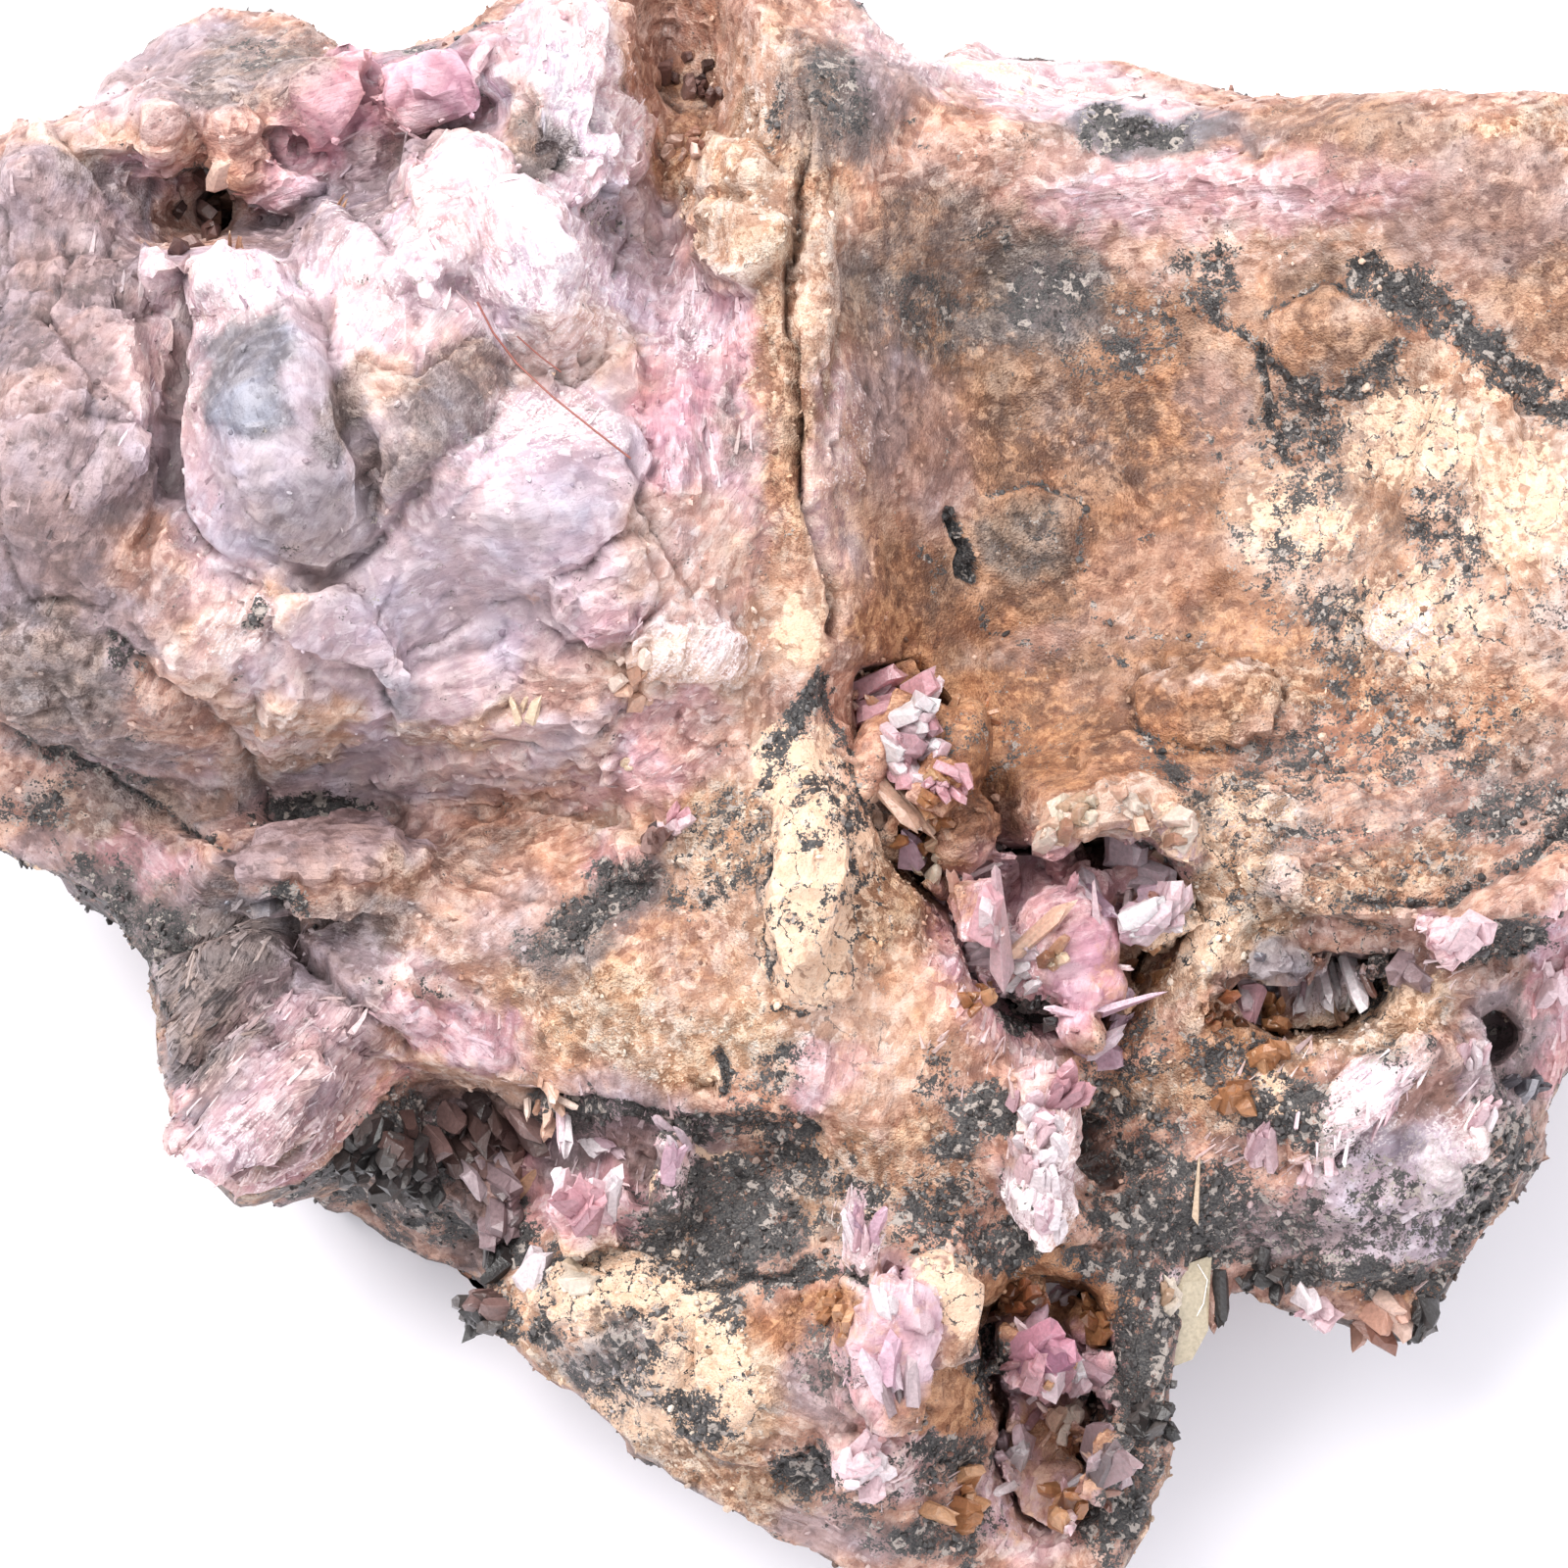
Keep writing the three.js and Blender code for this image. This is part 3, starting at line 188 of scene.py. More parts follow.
# Where each stuff lies on the face, the later rows over the earlier; a few rows are painted light and shade,
# marked below:
# stuff, x, y, half width, half height, turn in degrees, strength
PATCHES = [
    # the left lobe
    ("lilac", 300, 450, 420, 400, 0, 1.0), ("dusty", 50, 420, 150, 260, 0, 0.9),
    ("lilac_pink", 420, 270, 240, 130, 0, 0.9), ("dusty", 60, 330, 110, 80, 0, 0.6),
    ("mauve", 60, 230, 110, 80, 0, 0.7), ("pale_pink", 165, 350, 26, 110, -6, 0.6),
    ("salmon", 30, 350, 40, 90, 0, 0.6), ("dusty", 30, 370, 44, 90, 0, 0.8),
    ("mauve", 30, 355, 46, 90, 0, 0.75), ("umber", 30, 355, 46, 90, 0, 0.42),
    ("salmon", 40, 440, 60, 60, 0, 0.35), ("mauve", 60, 560, 120, 130, 0, 0.7),
    # the mauve and umber ovals at 100, 288 are painted shade, darkening facets that face the lamp
    ("lilac_pink", 120, 470, 60, 40, 0, 0.3), ("mauve", 100, 288, 44, 40, 0, 0.9),
    ("umber", 100, 288, 42, 38, 0, 0.42), ("mauve", 90, 520, 84, 94, 0, 0.95),
    ("umber", 86, 520, 80, 94, 0, 0.15), ("grey_brown", 90, 650, 90, 50, 0, 0.6),
    ("salmon", 170, 590, 60, 60, -40, 0.7), ("mauve", 100, 640, 70, 50, 0, 0.8),
    ("white_pink", 256, 310, 76, 50, 0, 0.95), ("lilac", 290, 400, 80, 110, 0, 0.8),
    ("slate", 270, 396, 52, 62, -10, 0.9), ("slate", 330, 536, 70, 56, 0, 0.5),
    ("mauve", 250, 500, 36, 50, 0, 0.3), ("white_pink", 250, 310, 70, 50, 0, 1.0),
    ("pale_pink", 220, 460, 30, 110, 0, 0.5), ("white_pink", 400, 300, 80, 80, 20, 0.5),
    ("white_pink", 510, 270, 90, 100, 30, 0.75), ("white_pink", 560, 310, 80, 70, 0, 0.8),
    ("pale_pink", 460, 190, 70, 60, 0, 0.7), ("mauve", 350, 240, 50, 40, 0, 0.5),
    ("peach", 400, 390, 50, 30, -30, 0.7), ("peach", 590, 370, 70, 50, 20, 0.6),
    ("grey_brown", 480, 420, 70, 60, 40, 0.75), ("grey_brown", 360, 420, 30, 60, -20, 0.8),
    ("grey_brown", 420, 500, 40, 60, 30, 0.55), ("white_pink", 550, 460, 90, 50, 30, 0.7),
    ("lilac_pink", 540, 530, 150, 70, 15, 0.6), ("lilac", 500, 570, 140, 60, 15, 0.7),
    ("lilac_pink", 620, 590, 60, 50, 0, 0.5), ("peach", 250, 640, 80, 44, 30, 0.9),
    ("peach", 255, 660, 60, 50, 20, 0.5), ("white_pink", 250, 655, 64, 48, 30, 0.5),
    ("pale_pink", 230, 590, 40, 30, 30, 0.5), ("lilac_pink", 340, 700, 110, 70, 10, 0.6),
    ("peach", 290, 745, 80, 46, 10, 0.9), ("peach", 300, 730, 60, 40, 10, 0.5),
    ("peach", 285, 755, 60, 36, 10, 0.5), ("peach", 280, 755, 64, 40, 10, 0.6),
    ("pale_pink", 280, 760, 50, 24, 10, 0.4), ("dusty", 360, 690, 60, 30, 10, 0.5),
    ("slate", 420, 702, 34, 18, 10, 0.7), ("lilac_pink", 560, 700, 150, 60, 14, 0.8),
    ("mauve", 560, 740, 110, 30, 14, 0.4), ("lilac", 480, 775, 150, 40, 12, 0.7),
    ("lilac_pink", 470, 768, 90, 34, 12, 0.6), ("pale_pink", 470, 770, 80, 30, 12, 0.35),
    ("sand", 460, 736, 70, 22, 10, 0.6), ("peach", 470, 765, 80, 36, 12, 0.35),
    ("pale_pink", 640, 800, 80, 36, 20, 0.6), ("grey_brown", 100, 730, 110, 60, -10, 0.7),
    ("grey_brown", 50, 680, 70, 60, 0, 0.8), ("salmon", 190, 720, 70, 50, -30, 0.8),
    ("peach", 220, 700, 40, 30, -30, 0.5), ("grey_brown", 200, 810, 110, 26, 10, 0.6),
    ("olive", 100, 830, 90, 34, 0, 0.5), ("peach", 250, 790, 60, 24, 30, 0.4),
    ("rose", 640, 640, 50, 40, 30, 0.7), ("dusty", 610, 680, 70, 40, 0, 0.6),
    ("salmon", 610, 690, 70, 36, 10, 0.4), ("salmon", 600, 700, 80, 30, 10, 0.4),
    ("rose", 700, 620, 70, 60, 0, 0.5), ("peach", 720, 670, 80, 60, 20, 0.9),
    ("pale_pink", 725, 650, 70, 40, 10, 0.5), ("white_pink", 720, 640, 60, 34, 10, 0.4),
    ("peach", 680, 700, 70, 40, -20, 0.7), ("peach", 735, 650, 80, 50, 0, 0.5),
    ("rose", 700, 760, 60, 60, 0, 0.7), ("salmon", 735, 765, 50, 50, 0, 0.6),
    ("peach", 760, 760, 40, 50, 0, 0.5), ("rose", 640, 820, 60, 30, 10, 0.6),
    # the pink slope and the ridge
    ("rose", 720, 400, 70, 180, 0, 0.95), ("pale_pink", 690, 330, 50, 60, 0, 0.6),
    ("pale_pink", 750, 500, 60, 90, 0, 0.5), ("deep_rose", 690, 420, 30, 50, 0, 0.5),
    ("grey_brown", 745, 440, 14, 60, 0, 0.6), ("peach", 700, 560, 70, 60, 0, 0.6),
    ("tan", 810, 300, 45, 300, 0, 0.8), ("peach", 800, 640, 50, 60, 0, 0.9),
    ("cream", 820, 640, 26, 50, 0, 0.7), ("rose", 860, 440, 34, 90, 0, 0.7),
    ("peach", 850, 560, 30, 60, 0, 0.8), ("peach", 868, 490, 30, 80, 0, 0.7),
    # the white_pink ovals at 872, 480 and 866, 480 are painted light on the ridge's right flank, which faces
    # away from the lamp
    ("white_pink", 872, 480, 36, 100, 0, 0.9), ("white_pink", 866, 480, 44, 110, 0, 0.8),
    ("peach", 850, 300, 40, 110, 0, 0.35), ("sand", 750, 190, 44, 46, 0, 0.95),
    ("peach", 738, 210, 24, 24, 0, 0.5), ("sand", 768, 258, 48, 38, 0, 0.95),
    ("peach", 755, 215, 60, 70, 0, 0.5), ("peach", 790, 240, 20, 30, 0, 0.5),
    ("peach", 750, 290, 40, 20, 0, 0.6), ("peach", 766, 90, 40, 80, 0, 0.8),
    ("sand", 770, 120, 30, 40, 0, 0.5), ("grey_brown", 850, 100, 60, 70, 0, 0.7),
    ("olive", 855, 90, 40, 50, 0, 0.6),
    # the pink band, the column and the recess at the back left
    ("rose", 330, 120, 240, 70, 15, 0.9), ("deep_rose", 470, 75, 80, 30, 12, 0.9),
    ("deep_rose", 340, 100, 60, 60, 0, 0.7), ("salmon", 220, 140, 60, 50, 0, 0.8),
    ("salmon", 150, 120, 40, 40, 0, 0.7), ("grey_brown", 100, 190, 60, 26, -30, 0.7),
    ("peach", 90, 150, 70, 24, 0, 0.7), ("salmon", 200, 200, 60, 50, 0, 0.5),
    # the salmon ovals at 190, 225, 205, 228 and 200, 215 are painted light, paling the shade in the deep hole
    # there
    ("salmon", 190, 225, 40, 30, 0, 0.8), ("salmon", 205, 228, 50, 30, 0, 0.5),
    ("salmon", 200, 215, 50, 40, 0, 0.6), ("mauve", 280, 235, 60, 40, 0, 0.8),
    ("mauve", 370, 190, 60, 50, 30, 0.8), ("mauve", 450, 150, 60, 30, 20, 0.8),
    ("lilac", 180, 50, 110, 60, 0, 0.9), ("grey_brown", 250, 30, 70, 40, 0, 0.6),
    # the mauve oval at 150, 64 is painted shade on the back lump, which faces the lamp
    ("dusty", 120, 70, 80, 50, 0, 0.7), ("mauve", 150, 64, 110, 60, 0, 0.55),
    ("grey_brown", 250, 66, 76, 50, 0, 0.8), ("slate", 420, 40, 50, 20, 0, 0.6),
    ("white_pink", 110, 95, 50, 30, 0, 0.6), ("pale_pink", 560, 60, 70, 90, 0, 0.9),
    ("pale_pink", 600, 150, 70, 80, 0, 0.9), ("white_pink", 610, 60, 20, 90, 8, 0.6),
    ("grey_brown", 565, 160, 45, 40, 0, 0.85), ("peach", 535, 120, 18, 40, 0, 0.5),
    ("salmon", 700, 70, 46, 80, 0, 0.6), ("salmon", 704, 56, 26, 44, 0, 0.7),
    ("tan", 700, 150, 34, 50, 0, 0.7), ("rust", 694, 140, 20, 24, 0, 0.3),
    ("dark_red", 690, 70, 20, 30, 0, 0.6), ("tan", 704, 60, 34, 44, 0, 0.4),
    ("dusty", 650, 230, 45, 50, 0, 0.9), ("slate", 630, 230, 22, 40, 0, 0.3),
    ("mauve", 700, 280, 40, 30, 0, 0.6), ("pale_pink", 660, 250, 60, 60, 0, 0.3),
    # the strip behind the bowl
    ("pale_pink", 1040, 60, 200, 50, -14, 0.9), ("cream", 1000, 50, 100, 24, -16, 0.6),
    ("mauve", 910, 80, 50, 40, 0, 0.7),
    # the bowl
    ("bowl", 1160, 480, 330, 330, 0, 1.0), ("bowl", 1200, 400, 150, 110, 0, 0.6),
    ("peach", 1440, 400, 240, 300, 0, 0.4), ("tan", 1500, 330, 120, 140, 0, 0.5),
    ("salmon", 1250, 205, 330, 76, 0, 0.85), ("peach", 1330, 240, 160, 50, 0, 0.6),
    ("pale_pink", 1230, 195, 170, 40, 4, 0.5), ("rose", 1150, 185, 130, 44, 0, 0.5),
    ("peach", 1080, 160, 60, 40, 0, 0.5), ("rose", 1350, 190, 120, 40, 0, 0.5),
    ("bowl", 1420, 140, 90, 40, 0, 0.6), ("tan", 1560, 160, 80, 60, 0, 0.7),
    ("bowl", 1520, 240, 90, 90, 0, 0.7), ("bowl", 1590, 300, 60, 70, 0, 0.7),
    ("slate", 1160, 125, 90, 24, 0, 0.9), ("slate", 1270, 124, 60, 16, -4, 0.6),
    ("bowl", 1360, 120, 90, 26, -4, 0.6), ("olive", 970, 300, 120, 120, 0, 0.7),
    ("bowl", 930, 240, 60, 40, 0, 0.5), ("orange", 1005, 270, 36, 20, 30, 0.5),
    ("olive", 1070, 290, 80, 70, 30, 0.8), ("slate", 1080, 300, 50, 44, 30, 0.4),
    ("mauve", 930, 440, 60, 80, 0, 0.6), ("salmon", 940, 500, 60, 60, 0, 0.5),
    ("salmon", 900, 700, 30, 90, 0, 0.5), ("bronze", 975, 790, 40, 70, 0, 0.7),
    ("bowl", 960, 440, 60, 60, 0, 0.6), ("olive", 1056, 548, 54, 50, 0, 0.8),
    ("bowl", 1150, 400, 90, 70, 40, 0.8), ("bowl", 1180, 500, 120, 110, 30, 0.6),
    ("bronze", 1200, 560, 90, 70, 30, 0.6), ("orange", 1010, 380, 60, 30, 30, 0.5),
    ("orange", 1284, 640, 50, 34, 30, 0.7), ("peach", 1280, 626, 50, 36, 20, 0.45),
    ("bronze", 1210, 600, 110, 60, 20, 0.6), ("bronze", 1010, 720, 130, 100, 0, 0.8),
    ("orange", 960, 690, 60, 40, 0, 0.4), ("rust", 1000, 830, 46, 50, 0, 0.6),
    ("rust", 900, 650, 40, 40, 0, 0.7), ("bronze", 1130, 760, 90, 70, 20, 0.5),
    ("dusty", 950, 440, 50, 90, 0, 0.4), ("salmon", 1170, 590, 80, 60, 20, 0.4),
    ("peach", 1150, 620, 50, 30, 20, 0.35), ("mauve", 900, 400, 30, 90, 0, 0.4),
    ("rust", 1080, 470, 60, 18, 30, 0.35), ("dusty", 1060, 650, 60, 22, 10, 0.4),
    ("peach", 1010, 655, 50, 20, 20, 0.4), ("rust", 940, 740, 36, 60, 0, 0.4),
    ("salmon", 1120, 700, 60, 28, 10, 0.45), ("dusty", 1510, 220, 110, 80, 10, 0.4),
    ("salmon", 1480, 310, 60, 50, 0, 0.4), ("grey_brown", 1110, 440, 26, 60, 40, 0.4),
    ("dusty", 1250, 420, 36, 60, 20, 0.4), ("peach", 1290, 470, 60, 36, 0, 0.4),
    ("rust", 1120, 800, 50, 26, 20, 0.3), ("bowl", 1080, 700, 70, 50, 0, 0.4),
    ("bronze", 1220, 700, 100, 50, 0, 0.6), ("bronze", 1245, 725, 80, 40, 0, 0.9),
    ("rust", 1245, 720, 84, 40, 0, 0.3), ("rust", 1245, 728, 78, 34, 0, 0.4),
    ("peach", 1245, 692, 86, 9, 0, 0.9), ("bowl", 1366, 345, 62, 46, 10, 0.9),
    ("peach", 1370, 318, 40, 14, 10, 0.4), ("bowl", 1340, 300, 40, 30, 0, 0.8),
    ("cream", 1330, 530, 80, 66, 0, 0.62), ("peach", 1330, 560, 80, 60, 0, 0.6),
    ("peach", 1540, 520, 100, 110, 0, 0.8), ("cream", 1550, 520, 80, 90, 0, 0.58),
    ("cream", 1440, 450, 80, 60, 0, 0.62), ("cream", 1440, 640, 90, 60, 0, 0.66),
    ("peach", 1440, 640, 100, 60, 0, 0.4), ("peach", 1560, 640, 60, 60, 0, 0.6),
    ("tan", 1400, 740, 180, 80, 0, 0.7), ("salmon", 1330, 760, 80, 40, 0, 0.6),
    ("peach", 1330, 820, 90, 30, 0, 0.8), ("salmon", 1450, 820, 120, 50, 0, 0.7),
    ("cream", 1230, 850, 90, 40, 0, 0.6), ("sand", 1240, 850, 80, 50, 0, 0.8),
    ("grey_brown", 1560, 800, 60, 70, 0, 0.6),
    # the wedge and the shelf
    ("peach", 650, 960, 230, 150, 0, 1.0), ("tan", 690, 1010, 190, 110, 0, 0.75),
    ("peach", 760, 1040, 120, 60, 0, 0.5), ("salmon", 690, 960, 60, 40, 0, 0.6),
    ("sand", 620, 1020, 60, 50, 0, 0.7), ("sand", 700, 1060, 80, 40, 0, 0.6),
    ("sand", 780, 1050, 60, 40, 0, 0.7), ("peach", 830, 900, 80, 140, -6, 0.8),
    ("cream", 832, 900, 70, 130, -6, 0.75), ("cream", 810, 780, 50, 60, 0, 0.9),
    ("sand", 740, 850, 50, 60, 0, 0.8), ("tan", 930, 950, 60, 110, 0, 0.9),
    ("salmon", 960, 1010, 40, 60, 0, 0.6), ("peach", 890, 1060, 90, 70, 0, 0.8),
    ("peach", 940, 1020, 70, 70, 0, 0.65), ("rose", 840, 1090, 50, 30, 20, 0.6),
    ("mauve", 330, 876, 120, 30, 6, 0.95), ("salmon", 340, 895, 90, 18, 6, 0.6),
    ("dusty", 320, 876, 104, 34, 6, 0.75), ("umber", 320, 876, 104, 34, 6, 0.28),
    ("tan", 410, 895, 40, 20, 0, 0.5), ("salmon", 520, 890, 100, 60, 10, 0.9),
    ("grey_brown", 490, 870, 60, 20, 0, 0.6), ("grey_brown", 400, 950, 90, 34, -12, 0.85),
    ("salmon", 470, 970, 70, 60, 0, 0.6), ("mauve", 530, 940, 60, 50, 0, 0.6),
    ("pale_pink", 420, 1010, 80, 40, -20, 0.7), ("peach", 430, 1020, 80, 40, -20, 0.4),
    ("rose", 460, 1050, 90, 30, -20, 0.9), ("peach", 500, 1100, 80, 24, -20, 0.9),
    ("rose", 640, 900, 40, 50, 0, 0.7), ("grey_brown", 610, 940, 100, 40, 38, 0.85),
    # the left flank, the tongue and the hollow beside it
    ("mauve", 60, 880, 90, 40, 0, 0.7), ("rose", 140, 880, 60, 24, -20, 0.7),
    ("slate", 120, 950, 90, 50, -40, 0.8), ("mauve", 190, 930, 40, 40, 0, 0.8),
    ("grey_brown", 250, 970, 80, 50, -30, 0.9), ("slate", 260, 940, 40, 30, -20, 0.8),
    ("mauve", 300, 1050, 130, 80, 50, 0.9), ("rose", 270, 1110, 110, 80, 40, 0.7),
    ("rose", 240, 1180, 90, 40, -10, 0.6), ("salmon", 340, 1165, 60, 24, 30, 0.6),
    ("lilac_pink", 290, 1130, 110, 60, 45, 0.5), ("white_pink", 212, 1128, 46, 6, 47, 0.7),
    ("slate", 232, 1108, 70, 7, 47, 0.75), ("pale_pink", 250, 1120, 96, 7, 47, 0.8),
    ("grey_brown", 262, 1092, 96, 6, 47, 0.8), ("rose", 285, 1105, 100, 7, 47, 0.8),
    ("mauve", 300, 1108, 96, 7, 47, 0.8), ("white_pink", 322, 1104, 84, 6, 46, 0.7),
    ("mauve", 342, 1110, 80, 7, 45, 0.8), ("pale_pink", 366, 1106, 60, 8, 42, 0.7),
    ("rose", 250, 1196, 90, 14, -8, 0.7), ("rose", 380, 1128, 60, 12, 40, 0.6),
    ("pale_pink", 320, 1080, 50, 50, 40, 0.5), ("grey_brown", 220, 1080, 30, 50, 30, 0.5),
    ("slate", 225, 1050, 74, 38, 45, 0.85), ("olive", 215, 1000, 60, 36, 45, 0.8),
    ("umber", 240, 1060, 50, 8, 45, 0.7), ("umber", 225, 1050, 70, 36, 45, 0.22),
    ("strand_grey", 228, 1020, 56, 90, -10, 0.95), ("strand_pink", 262, 1010, 16, 70, -40, 0.5),
    ("umber", 214, 1050, 14, 60, -40, 0.35), ("strand_pink", 300, 1100, 120, 66, 45, 0.55),
    ("umber", 490, 1170, 110, 70, 0, 0.9), ("charcoal", 410, 1190, 60, 60, 0, 1.0),
    ("charcoal", 405, 1245, 100, 26, -24, 0.95), ("umber", 480, 1270, 34, 60, 20, 0.8),
    ("mauve", 470, 1150, 40, 20, 0, 0.6), ("deep_rose", 530, 1170, 30, 30, 0, 0.5),
    ("rose", 540, 1230, 40, 30, 0, 0.6),
    # the recess under the shelf and the lower lobe
    ("mauve", 640, 1170, 110, 70, 0, 0.9), ("rose", 610, 1220, 60, 40, 0, 0.8),
    ("pale_pink", 690, 1180, 24, 60, 0, 0.8), ("charcoal", 730, 1240, 110, 60, 10, 0.9),
    ("charcoal", 800, 1190, 60, 50, 0, 0.7), ("cream", 722, 1178, 9, 30, 35, 0.9),
    ("cream", 744, 1196, 8, 32, 45, 0.9), ("cream", 770, 1160, 10, 20, 20, 0.7),
    ("sand", 640, 1400, 170, 150, 0, 1.0), ("cream", 640, 1310, 130, 40, 0, 0.75),
    ("grey_brown", 650, 1334, 60, 14, 0, 0.6), ("cream", 720, 1390, 70, 100, 0, 0.9),
    ("cream", 650, 1430, 70, 50, 0, 0.7), ("slate", 640, 1390, 60, 50, 0, 0.7),
    ("peach", 560, 1340, 40, 60, 0, 0.7), ("tan", 750, 1510, 90, 40, -20, 0.9),
    ("rust", 850, 1330, 80, 36, 0, 0.5), ("orange", 850, 1335, 70, 30, 0, 0.6),
    ("rust", 850, 1330, 64, 30, 0, 0.4), ("rust", 840, 1320, 40, 20, 0, 0.5),
    ("mauve", 850, 1390, 50, 60, 0, 0.8), ("rose", 910, 1370, 44, 80, 0, 0.8),
    ("mauve", 930, 1400, 30, 50, 0, 0.5), ("pink_mass", 910, 1340, 30, 70, 0, 0.6),
    ("cream", 965, 1310, 30, 46, -10, 0.9), ("orange", 960, 1420, 60, 50, 0, 0.8),
    ("tan", 1000, 1360, 40, 40, 0, 0.5), ("charcoal", 825, 1490, 36, 44, 0, 0.9),
    ("pale_pink", 890, 1480, 60, 40, 0, 0.8), ("mauve", 860, 1560, 90, 30, 0, 0.8),
    ("charcoal", 980, 1490, 60, 30, 0, 0.7), ("charcoal", 960, 1560, 60, 30, 0, 0.7),
    ("orange", 1060, 1330, 80, 60, 0, 0.9), ("rose", 1070, 1400, 70, 60, 0, 0.9),
    ("rust", 1080, 1480, 40, 30, 0, 0.5), ("pale_pink", 1050, 1550, 60, 60, 0, 0.6),
    ("pale_pink", 1056, 1535, 54, 64, 0, 0.8), ("charcoal", 1160, 1400, 46, 180, 0, 0.8),
    ("charcoal", 1144, 1545, 44, 50, 0, 0.9), ("sand", 860, 1210, 60, 70, 0, 0.7),
    ("pale_pink", 870, 1250, 24, 50, 0, 0.9), ("tan", 940, 1180, 60, 60, 0, 0.8),
    ("charcoal", 960, 1160, 30, 24, 0, 0.7), ("charcoal", 1000, 1130, 34, 30, 0, 0.9),
    # around the cavity and the right lobe
    ("peach", 1130, 830, 80, 36, 0, 0.95), ("rose", 1170, 870, 50, 30, 0, 0.6),
    ("rose", 1060, 960, 120, 110, 0, 0.9), ("deep_rose", 1110, 990, 50, 60, 0, 0.7),
    ("pale_pink", 1060, 1150, 44, 90, 0, 1.0), ("peach", 1060, 1130, 34, 50, 0, 0.4),
    ("white_pink", 1055, 1220, 24, 40, 0, 0.8), ("sand", 1190, 980, 50, 50, 0, 0.8),
    ("cream", 1200, 970, 40, 40, 0, 0.5), ("tan", 1150, 1040, 40, 30, 0, 0.6),
    ("dark_red", 1110, 1170, 30, 40, 0, 0.9), ("sand", 1170, 1110, 40, 30, 0, 0.8),
    ("charcoal", 1170, 1150, 50, 40, 0, 0.6), ("charcoal", 1180, 1246, 100, 40, -10, 0.82),
    ("sand", 1250, 930, 90, 50, 0, 0.9), ("cream", 1230, 960, 50, 40, 0, 0.6),
    ("slate", 1300, 985, 34, 30, 0, 0.8), ("tan", 1260, 1060, 80, 40, 0, 0.5),
    ("tan", 1240, 1090, 50, 60, 0, 0.8), ("rust", 1240, 1070, 30, 30, 0, 0.6),
    ("orange", 1290, 1080, 50, 30, 0, 0.8), ("charcoal", 1310, 1130, 60, 36, 0, 0.62),
    ("cream", 1300, 1110, 20, 20, 0, 0.8), ("tan", 1400, 900, 120, 40, 12, 0.8),
    ("white_pink", 1350, 1010, 34, 40, 0, 0.8), ("charcoal", 1402, 996, 22, 26, 0, 0.9),
    ("rose", 1470, 955, 34, 24, 0, 0.9), ("sand", 1400, 1040, 90, 40, 20, 0.8),
    ("cream", 1420, 1020, 60, 26, 25, 0.6), ("charcoal", 1530, 960, 50, 34, 0, 0.9),
    ("rose", 1585, 1020, 30, 110, 0, 1.0), ("lilac", 1530, 1080, 44, 70, 0, 0.8),
    ("mauve", 1440, 1110, 60, 50, 0, 0.5), ("pale_pink", 1390, 1120, 60, 24, 40, 0.9),
    ("white_pink", 1500, 1100, 14, 70, 10, 0.9), ("white_pink", 1420, 1220, 100, 80, 0, 0.9),
    ("slate", 1420, 1160, 36, 24, 0, 0.4), ("pale_pink", 1480, 1170, 50, 30, 30, 0.6),
    ("charcoal", 1520, 1280, 50, 60, 40, 0.85), ("charcoal", 1562, 1190, 34, 90, 30, 0.95),
    ("charcoal", 1400, 1305, 120, 22, -6, 0.9), ("lilac", 1430, 1220, 100, 80, 0, 0.75),
    ("salmon", 1380, 1330, 80, 24, -10, 0.8), ("orange", 1440, 1330, 40, 20, -10, 0.7),
    ("mauve", 1300, 1250, 70, 40, 0, 0.8), ("charcoal", 1300, 1262, 60, 34, 0, 0.66),
    ("pale_pink", 1190, 1330, 26, 30, 0, 0.8), ("rust", 835, 1330, 40, 30, 0, 0.4),
]

